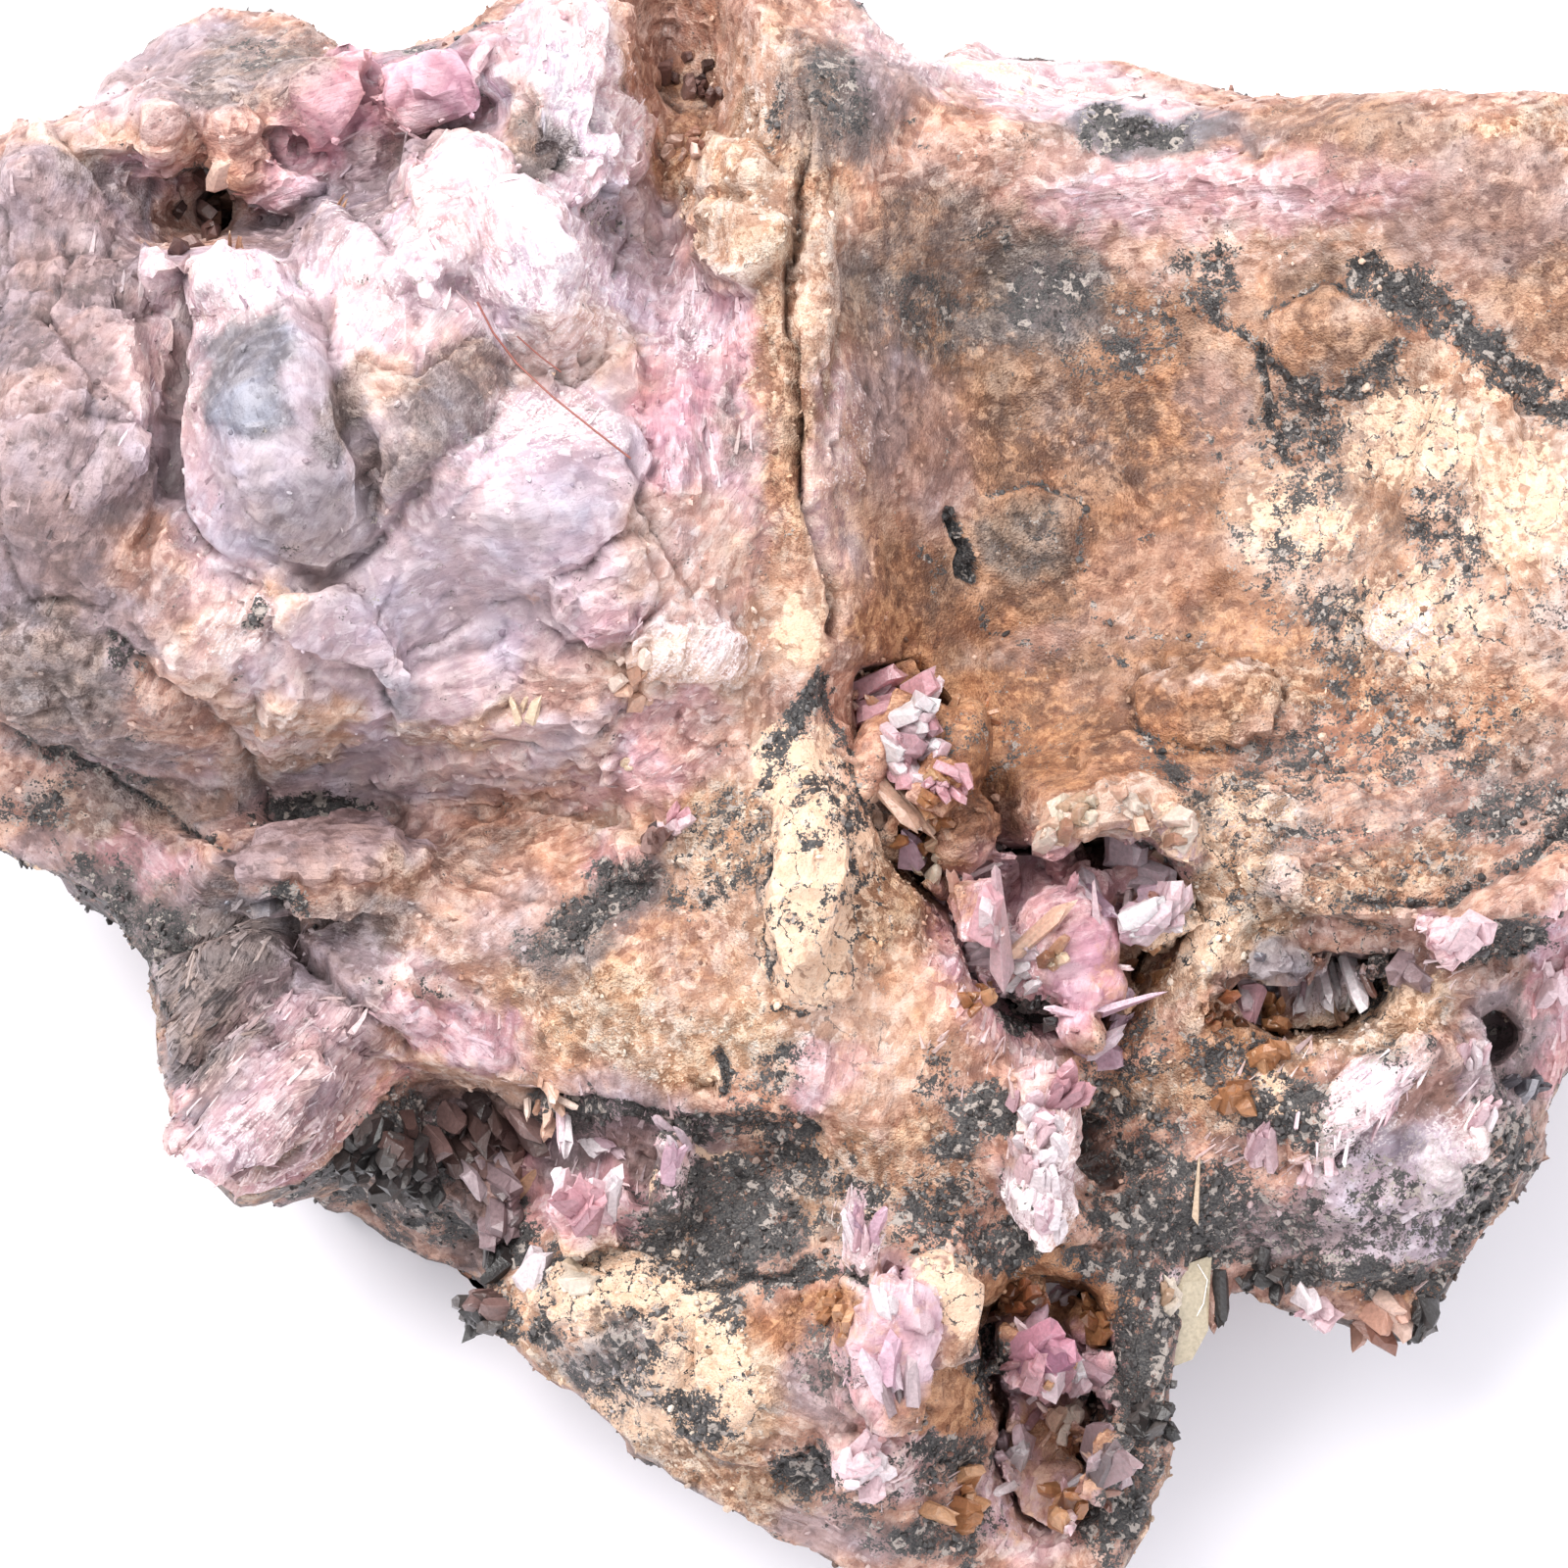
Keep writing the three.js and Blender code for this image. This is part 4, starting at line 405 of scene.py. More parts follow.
# Black crust, by the same rule: x, y, half width, half height, turn, strength
BLACK = [
    (850, 90, 36, 50, 10, 0.62), (790, 110, 16, 50, -10, 0.7), (1080, 296, 70, 60, 30, 0.58),
    (950, 310, 60, 50, 0, 0.5), (1120, 350, 50, 30, 40, 0.5), (1230, 280, 36, 34, 0, 0.62),
    (1170, 330, 60, 50, 0, 0.48), (1240, 250, 30, 20, 0, 0.7), (1150, 370, 50, 30, 0, 0.5),
    (1400, 390, 50, 30, 20, 0.62), (1330, 440, 50, 60, 0, 0.7), (1350, 490, 60, 30, 20, 0.58),
    (1056, 548, 44, 40, 20, 0.4), (1460, 540, 44, 60, -10, 0.56), (1370, 650, 40, 60, 10, 0.6),
    (1490, 560, 40, 70, 0, 0.5), (1320, 590, 60, 60, 0, 0.5), (1190, 780, 44, 26, -30, 0.5),
    (1300, 800, 150, 34, 10, 0.5), (1520, 830, 80, 26, 30, 0.66), (1280, 900, 120, 50, 10, 0.3),
    (1420, 760, 160, 60, 0, 0.51), (1580, 840, 30, 40, 0, 0.7), (830, 700, 14, 30, 0, 0.8),
    (798, 760, 20, 60, -30, 0.75), (850, 820, 40, 60, 0, 0.6), (822, 860, 30, 6, 8, 0.8),
    (820, 944, 32, 8, 4, 0.75), (822, 1022, 34, 8, 10, 0.75), (750, 860, 50, 60, 0, 0.5),
    (606, 930, 96, 38, 38, 0.8), (560, 965, 50, 22, 30, 0.6), (620, 920, 44, 20, 36, 0.7),
    (710, 920, 40, 30, 0, 0.5), (330, 826, 64, 14, 4, 0.8), (270, 836, 50, 10, -10, 0.55),
    (130, 660, 40, 20, -40, 0.6), (270, 630, 14, 14, 0, 0.8), (300, 560, 14, 16, 0, 0.5),
    (130, 740, 70, 12, -36, 0.45), (30, 820, 60, 30, 0, 0.6), (90, 790, 80, 12, -20, 0.6),
    (90, 900, 60, 30, -40, 0.6), (150, 960, 50, 60, -40, 0.7), (300, 930, 40, 14, -40, 0.8),
    (420, 1000, 60, 12, -20, 0.5), (660, 1140, 170, 20, -4, 0.78), (790, 1140, 50, 30, 0, 0.8),
    (840, 1190, 40, 40, 0, 0.7), (780, 1090, 60, 20, 10, 0.5), (950, 1100, 30, 40, 0, 0.5),
    (960, 1230, 60, 50, 0, 0.72), (1040, 1030, 26, 24, 0, 0.9), (1000, 1130, 34, 30, 0, 0.95),
    (960, 1160, 26, 22, 0, 0.9), (900, 1220, 40, 30, 0, 0.6), (720, 1250, 90, 40, 10, 0.75),
    (760, 1290, 120, 14, 6, 0.8), (570, 1290, 34, 30, 0, 0.75), (560, 1360, 24, 30, 0, 0.8),
    (640, 1390, 70, 50, 0, 0.64), (650, 1332, 50, 12, 0, 0.66), (760, 1330, 24, 30, 0, 0.8),
    (720, 1440, 30, 40, 0, 0.75), (850, 1370, 40, 40, 0, 0.5), (825, 1490, 34, 40, 0, 0.97),
    (1000, 1390, 20, 70, -10, 0.75), (960, 1480, 80, 24, -10, 0.7), (960, 1560, 70, 30, 0, 0.75),
    (870, 1520, 60, 40, 0, 0.5), (600, 1450, 70, 10, 40, 0.5), (1162, 1380, 30, 150, 0, 0.85),
    (1144, 1540, 40, 60, 0, 0.9), (1130, 1290, 60, 20, 0, 0.8), (1190, 1246, 100, 34, -8, 0.92),
    (1170, 1180, 50, 36, 0, 0.82), (1210, 1275, 90, 24, -5, 0.85), (1230, 1212, 90, 50, 0, 0.74),
    (1310, 1130, 56, 36, 0, 0.86), (1290, 1090, 30, 30, 0, 0.5), (1160, 1070, 50, 40, 0, 0.55),
    (1320, 1240, 50, 40, 0, 0.6), (1400, 1000, 34, 40, 0, 0.85), (1520, 966, 50, 24, 10, 0.8),
    (1450, 890, 60, 30, 20, 0.48), (1380, 930, 40, 30, 0, 0.5), (1430, 1080, 50, 30, 0, 0.5),
    (1400, 1230, 70, 60, 0, 0.6), (1370, 1180, 50, 30, 0, 0.5), (1460, 1250, 60, 50, 0, 0.62),
    (1530, 1240, 40, 90, 30, 0.86), (1480, 1330, 40, 40, 0, 0.85), (1540, 1090, 30, 60, 0, 0.38),
    (1370, 1280, 60, 30, 0, 0.62), (1010, 230, 40, 12, -10, 0.5), (1020, 1268, 70, 22, 0, 0.82),
    (1250, 1085, 60, 44, 0, 0.62), (930, 1250, 44, 34, 0, 0.52), (1130, 1120, 40, 50, 0, 0.62),
    (400, 1190, 60, 60, 0, 0.9), (520, 1250, 20, 40, 0, 0.8), (510, 1350, 30, 40, 0, 0.8),
    (1160, 125, 80, 18, 4, 0.85), (630, 220, 20, 30, 0, 0.36), (560, 170, 30, 26, 0, 0.42),
    (420, 40, 40, 12, 0, 0.5), (260, 30, 60, 30, 0, 0.42), (1000, 760, 100, 60, 0, 0.3),
    (1580, 620, 30, 50, 0, 0.4),
]

# Black lines: width, strength, points
BLACK_LINES = [
    (20, 0.78, [(1400, 280), (1450, 300), (1500, 350), (1560, 400), (1600, 430)]),
    (5, 0.8, [(1230, 270), (1250, 320), (1290, 350), (1340, 400), (1380, 400), (1430, 350)]),
    (5, 0.85, [(1290, 350), (1300, 420), (1320, 470)]),
    (7, 0.6, [(1330, 440), (1300, 470), (1310, 520)]),
    (2, 0.8, [(830, 690), (800, 740), (784, 780), (768, 815)]),
    (7, 0.75, [(836, 690), (818, 725), (800, 745)]),
    (2, 0.7, [(840, 720), (870, 780), (885, 830)]),
    (2, 0.85, [(780, 850), (772, 900), (785, 960), (788, 990)]),
    (3, 0.8, [(860, 860), (880, 900), (840, 920)]),
    (5, 0.9, [(620, 1125), (700, 1135), (770, 1140), (830, 1150)]),
    (4, 0.8, [(735, 1065), (745, 1090), (740, 1110)]),
    (3, 0.8, [(795, 1080), (790, 1130)]),
    (3, 0.75, [(700, 1310), (760, 1295), (830, 1280), (880, 1290)]),
    (3, 0.55, [(1230, 830), (1290, 850), (1350, 850), (1430, 850), (1510, 820)]),
    (4, 0.6, [(1380, 920), (1450, 920), (1530, 880), (1600, 830)]),
    (3, 1.0, [(1170, 752), (1190, 780), (1206, 800)]),
    (5, 1.3, [(966, 526), (980, 548)]),
    (5, 1.3, [(992, 560), (994, 584)]),
    (2, 1.0, [(982, 548), (991, 560)]),
    (4, 0.7, [(1440, 500), (1480, 540), (1500, 590)]),
    (2, 0.62, [(1004, 500), (1060, 488), (1104, 520), (1106, 580)]),
    (2, 0.6, [(1100, 600), (1140, 640), (1200, 652), (1240, 640)]),
    (1, 0.5, [(1342, 716), (1330, 744), (1290, 760), (1220, 764), (1160, 742), (1165, 700)]),
    (2, 0.6, [(1010, 640), (1080, 662), (1130, 652), (1160, 680)]),
    (2, 0.66, [(1296, 312), (1350, 292), (1410, 302), (1445, 336)]),
    (2, 0.6, [(940, 560), (1000, 610), (1010, 640)]),
    (2, 0.6, [(1230, 420), (1260, 470), (1250, 520), (1280, 560)]),
    (3, 0.6, [(0, 740), (90, 790), (160, 830), (230, 860)]),
    (5, 0.75, [(80, 900), (120, 950), (160, 990), (180, 1040)]),
]

# Grey soot in the grain of the surface
SOOT = [
    (960, 290, 110, 100, 0, 0.55), (1070, 290, 90, 80, 20, 0.65), (930, 400, 50, 60, 0, 0.3),
    (1056, 548, 50, 44, 20, 0.4), (1190, 130, 90, 24, 0, 0.8), (850, 110, 80, 90, 0, 0.6),
    (480, 440, 80, 60, 40, 0.5), (420, 480, 50, 70, 30, 0.5), (440, 800, 70, 20, 12, 0.3),
    (220, 810, 80, 20, 10, 0.4), (90, 720, 100, 90, 0, 0.45), (250, 960, 80, 60, -30, 0.7),
    (140, 940, 90, 60, -40, 0.8), (610, 935, 110, 44, 38, 0.8), (640, 1390, 110, 80, 0, 0.5),
    (860, 1400, 60, 70, 0, 0.4), (1330, 440, 110, 90, 0, 0.5), (1420, 600, 110, 130, 0, 0.45),
    (1330, 840, 200, 60, 0, 0.5), (1500, 800, 120, 60, 0, 0.5), (1440, 1220, 110, 90, 0, 0.6),
    (1530, 1080, 60, 90, 0, 0.7), (760, 450, 40, 80, 0, 0.4), (560, 160, 50, 50, 0, 0.7),
    (640, 240, 50, 50, 0, 0.25), (280, 30, 90, 50, 0, 0.5), (280, 130, 50, 30, 0, 0.4),
    (760, 1250, 130, 50, 0, 0.7), (940, 1180, 80, 60, 0, 0.4), (1180, 1180, 90, 60, 0, 0.6),
    (750, 860, 60, 80, 0, 0.4), (60, 560, 60, 60, 0, 0.3),
]

# Cream crust crossed by black cracks
CRACKLE = [
    (830, 900, 80, 140, -6, 1.0), (1540, 520, 80, 90, 0, 0.45), (1440, 640, 90, 60, 0, 1.0),
    (1340, 540, 80, 60, 0, 0.6), (640, 1320, 130, 50, 0, 0.9), (640, 1400, 90, 80, 0, 1.0),
    (720, 1400, 70, 90, 0, 0.8), (735, 1180, 40, 30, 0, 0.9), (700, 1140, 120, 24, 0, 1.0),
    (960, 1310, 30, 50, 0, 0.5), (750, 870, 60, 60, 0, 0.8), (1300, 870, 110, 40, 0, 0.8),
    (1320, 1110, 60, 60, 0, 0.9), (1230, 960, 60, 60, 0, 0.8), (1000, 1210, 80, 50, 0, 0.8),
    (1440, 450, 80, 60, 0, 0.7), (1250, 900, 90, 60, 0, 0.9), (1340, 960, 60, 40, 0, 0.7),
    (1200, 1090, 60, 50, 0, 0.8), (850, 1060, 120, 50, 0, 0.4), (1500, 620, 90, 60, 0, 0.5),
    (1260, 830, 70, 40, 0, 0.8),
]

# Orange and rusty stains
STAIN = [
    (1010, 740, 140, 100, 0, 0.66), (900, 640, 50, 40, 0, 0.8), (1290, 650, 70, 40, 0, 0.8),
    (1160, 440, 120, 60, 0, 0.5), (960, 900, 50, 60, 0, 0.7), (960, 1020, 50, 60, 0, 0.6),
    (690, 980, 90, 60, 0, 0.5), (850, 1330, 80, 36, 0, 0.7), (960, 1420, 60, 50, 0, 0.8),
    (1070, 1330, 90, 50, 0, 0.8), (1080, 1480, 70, 70, 0, 0.9), (1040, 1540, 50, 40, 0, 0.7),
    (1160, 990, 60, 60, 0, 0.7), (1240, 1070, 60, 50, 0, 0.65), (900, 1060, 60, 50, 0, 0.5),
    (700, 110, 34, 90, 0, 0.6), (610, 1480, 60, 30, 40, 0.7), (1420, 1320, 60, 30, 0, 0.7),
    (1230, 740, 90, 50, 0, 0.5), (960, 330, 90, 60, 0, 0.4), (880, 900, 60, 90, 0, 0.4),
    (1380, 800, 120, 50, 0, 0.4), (560, 600, 50, 20, 0, 0.3), (300, 600, 40, 16, 0, 0.5),
    (480, 740, 60, 30, 0, 0.3), (760, 1510, 70, 30, 0, 0.5), (220, 860, 50, 20, 0, 0.4),
    (780, 480, 30, 200, 0, 0.35),
]

# White frosting, and painted highlight on the lit tops of the left lobe's blocks
FROST_AND_HIGHLIGHT = [
    (420, 280, 140, 90, 0, 0.4), (560, 290, 100, 100, 0, 0.5), (560, 450, 90, 50, 0, 0.6),
    (700, 340, 40, 60, 0, 0.5), (1440, 640, 50, 36, 0, 0.6), (1350, 1010, 40, 40, 0, 0.8),
    (1060, 1200, 40, 80, 0, 0.7), (910, 1320, 20, 40, 0, 0.3), (1380, 1130, 100, 34, 40, 0.62),
    (1480, 1180, 80, 60, 0, 0.6), (600, 100, 60, 110, 0, 0.5), (1020, 60, 200, 40, -14, 0.5),
    (240, 320, 60, 60, 0, 0.5), (720, 670, 90, 40, 0, 0.5), (860, 440, 40, 100, 0, 0.4),
    (260, 640, 60, 40, 0, 0.5), (1290, 850, 120, 30, 0, 0.4), (1010, 970, 60, 50, 0, 0.5),
    (300, 1160, 110, 50, 0, 0.4), (1190, 1330, 40, 40, 0, 0.6),
]

# Where white splinters stand up
SPIKY = [
    (1370, 1140, 90, 34, 40, 0.6), (1460, 1180, 60, 60, 0, 0.25), (1060, 1180, 44, 90, 0, 0.9),
    (1350, 1010, 40, 40, 0, 0.8), (910, 1370, 40, 90, 0, 0.6), (870, 1250, 30, 60, 0, 0.7),
    (620, 1190, 80, 50, 0, 0.8), (1240, 1190, 40, 50, 0, 0.6), (700, 300, 60, 60, 0, 0.4),
    (600, 90, 50, 110, 0, 0.1), (540, 330, 120, 40, 0, 0.35), (1000, 1080, 90, 50, 0, 0.6),
    (1480, 980, 80, 40, 20, 0.6), (1300, 1100, 90, 50, 0, 0.5), (1130, 900, 90, 60, 0, 0.5),
    (1420, 1300, 80, 40, 0, 0.5), (560, 1110, 90, 24, -10, 0.5), (640, 800, 90, 30, 20, 0.3),
    (930, 1500, 90, 50, 0, 0.4), (700, 650, 70, 40, 0, 0.3),
]

# Which way the fibres run on the face: x, y, direction in degrees, anticlockwise from the right
FIBRES = [
    (70, 300, 80), (60, 560, 70), (280, 380, 100), (290, 540, 60), (400, 300, 60), (430, 470, 130),
    (520, 260, 110), (560, 400, 50), (540, 540, 15), (450, 600, 20), (640, 640, 30), (700, 660, 60),
    (700, 450, 88), (760, 400, 92), (660, 340, 75), (720, 570, 60), (200, 650, 60), (80, 700, 55),
    (300, 720, 40), (430, 740, 22), (560, 730, 18), (690, 750, 35), (600, 800, 14), (330, 840, 8),
    (160, 810, 155), (180, 60, 50), (300, 100, 20), (460, 80, 12), (200, 190, 0), (400, 190, 25),
    (560, 80, 85), (600, 180, 60), (640, 60, 82), (700, 120, 70), (760, 240, 90), (780, 80, 85),
    (870, 90, 75), (860, 280, 95), (870, 430, 90), (820, 620, 88), (960, 260, 20), (1070, 300, -30),
    (960, 420, 70), (1000, 560, 40), (1100, 540, 0), (1060, 680, 20), (1200, 450, 30), (1250, 560, 15),
    (1240, 720, 0), (1000, 800, 10), (1200, 220, 8), (1480, 180, 12), (1350, 350, 30), (1480, 400, -40),
    (1560, 560, -70), (1420, 620, 45), (1400, 760, 15), (1520, 780, 30), (1050, 60, -16), (830, 900, 80),
    (740, 900, 75), (620, 980, 25), (700, 1060, 30), (940, 960, 70), (880, 1080, 75), (340, 880, 8),
    (430, 920, 165), (520, 960, 35), (440, 1030, 145), (480, 1090, 150), (230, 1030, 50), (290, 1090, 47),
    (340, 1130, 43), (120, 920, -45), (630, 1170, 80), (730, 1220, 40), (620, 1310, 10), (700, 1400, 60),
    (760, 1500, -30), (900, 1370, 85), (960, 1320, 80), (870, 1250, 85), (940, 1500, 40), (1080, 1420, 60),
    (1160, 1380, 80), (1060, 1150, 82), (1150, 1190, 30), (1170, 880, 20), (1250, 980, 60),
    (1240, 1080, 50), (1330, 1130, 40), (1380, 1020, 80), (1480, 950, 30), (1580, 1000, 80),
    (1420, 1130, 45), (1420, 1240, 60), (1380, 1330, 20),
]

# Cracks and creases in the face: half width, depth in mm, points
CRACKS = [
    (5, 0.9, [
        (815, 100), (820, 180), (812, 260), (808, 400), (812, 470), (830, 530), (850, 590), (852, 650),
    ]),
    (9, 0.5, [(808, 400), (812, 470), (830, 530)]),
    (12, 0.9, [(192, 290), (196, 380), (185, 480), (200, 540), (222, 572)]),
    (10, 0.6, [(340, 330), (360, 400), (388, 470), (395, 520)]),
    (8, 0.4, [(395, 560), (430, 520), (470, 470), (520, 430)]),
    (8, 0.45, [(230, 590), (290, 612), (350, 600), (395, 560)]),
    (6, 0.5, [(640, 480), (665, 520), (680, 560)]),
    (7, 0.45, [(560, 650), (610, 668), (650, 690), (690, 700)]),
    (9, 0.6, [(270, 832), (330, 826), (400, 836), (450, 850)]),
    (6, 0.5, [(0, 745), (90, 790), (160, 835), (230, 862)]),
    (8, 0.5, [(120, 650), (180, 700), (240, 760), (270, 820)]),
    (7, 0.7, [(288, 930), (300, 970), (345, 1000), (380, 1030), (415, 1070)]),
    (5, 0.5, [(150, 980), (200, 960), (260, 930), (290, 925)]),
    (5, 0.5, [(965, 525), (975, 545), (990, 560), (998, 590)]),
    (4, 0.3, [(1160, 740), (1155, 700), (1180, 680), (1230, 668), (1290, 680), (1320, 700), (1300, 740)]),
    (5, 0.35, [(1290, 350), (1300, 420), (1320, 470)]),
    (5, 0.4, [(780, 830), (772, 900), (785, 960), (792, 1010)]),
    (4, 0.4, [(735, 1065), (745, 1090), (740, 1110)]),
    (6, 0.6, [(540, 1120), (640, 1130), (760, 1150), (830, 1150)]),
    (5, 0.4, [(700, 1310), (760, 1295), (830, 1280), (880, 1290)]),
    (5, 0.5, [(1000, 1330), (1010, 1390), (1015, 1440)]),
    (5, 0.4, [(870, 1440), (920, 1450), (945, 1430), (940, 1370)]),
    (8, 0.6, [(1040, 1270), (1090, 1280), (1140, 1270)]),
    (6, 0.5, [(1380, 920), (1450, 925), (1530, 885), (1600, 835)]),
    (6, 0.5, [(1230, 1000), (1290, 1010), (1330, 990)]),
    (6, 0.5, [(1300, 1190), (1360, 1180), (1420, 1120)]),
    (5, 0.4, [(640, 180), (650, 240), (630, 280)]),
    (7, 0.6, [(530, 190), (560, 210), (600, 215), (640, 190)]),
    (6, 0.4, [(120, 330), (180, 320), (188, 280)]),
    (4, 0.4, [(60, 330), (70, 280), (64, 240)]),
    (6, 0.5, [(60, 430), (110, 440), (160, 450), (178, 500)]),
]

# Small hollows: x, y, half width, half height, turn, depth in mm
DENTS = [
    (973, 538, 6, 14, 30, 0.5), (994, 571, 6, 16, 0, 0.5), (195, 222, 40, 24, 0, 0.2),
    (565, 165, 36, 26, 0, 0.7), (375, 85, 22, 16, 0, 1.0), (270, 150, 40, 20, 0, 0.8),
    (110, 175, 36, 20, -20, 0.4), (678, 862, 24, 44, 0, 0.5), (1124, 872, 18, 12, 0, 1.2),
    (1110, 1165, 22, 34, 0, 1.0), (690, 70, 22, 34, 0, 0.5), (700, 330, 10, 20, 0, 0.4),
    (1402, 996, 20, 24, 0, 0.8), (1535, 1085, 28, 50, 0, 0.2), (1245, 1042, 24, 14, 0, 0.6),
    (625, 225, 18, 30, 0, 0.4), (490, 1170, 40, 24, 0, 0.8), (660, 1200, 24, 30, 0, 0.7),
    (280, 1350, 10, 10, 0, 0.3), (715, 1100, 16, 8, 0, 0.5), (900, 830, 12, 16, 0, 0.6),
    (930, 860, 10, 10, 0, 0.8), (1090, 1490, 24, 20, 0, 0.5), (1100, 1430, 24, 20, 0, 0.8),
    (755, 430, 8, 40, 0, 0.35), (1540, 780, 14, 10, 0, 0.4), (1345, 880, 14, 10, 0, 0.4),
    (1420, 1050, 20, 12, 0, 0.5),
]

# Raised knobs: x, y, half width, half height, turn, height in mm
RISES = [
    (1240, 715, 80, 40, -4, 0.35), (640, 600, 40, 34, 30, 0.4), (640, 650, 44, 26, 20, 0.35),
    (700, 660, 50, 40, 0, 0.3), (745, 200, 36, 40, 0, 0.5), (770, 262, 44, 34, 0, 0.45),
    (740, 290, 30, 20, 0, 0.4), (340, 880, 100, 28, 6, 0.35), (830, 960, 50, 60, 0, 0.2),
    (825, 875, 40, 40, 0, 0.2), (900, 1370, 40, 70, -6, 0.4), (710, 1390, 60, 70, 0, 0.25),
    (620, 1310, 90, 26, 0, 0.25), (1150, 830, 60, 26, 10, 0.4), (1460, 955, 28, 20, 0, 0.5),
    (1300, 980, 30, 26, 0, 0.4), (470, 75, 70, 24, 12, 0.4), (340, 90, 50, 40, 0, 0.4),
    (230, 660, 70, 40, 40, 0.3), (330, 730, 70, 40, 20, 0.25), (1380, 320, 50, 40, 20, 0.25),
    (1540, 520, 60, 70, 0, 0.2), (1330, 820, 60, 20, 0, 0.3), (1120, 540, 60, 50, 0, 0.2),
    (1060, 1130, 30, 40, 0, 0.4), (1060, 1220, 24, 36, 0, 0.4), (740, 740, 30, 30, 0, 0.3),
    (632, 778, 10, 9, 0, 0.5), (1430, 630, 40, 30, 0, 0.3), (860, 440, 30, 60, 0, 0.25),
    (600, 760, 90, 16, 16, 0.2), (500, 810, 90, 14, 12, 0.2), (560, 700, 100, 20, 14, 0.2),
]

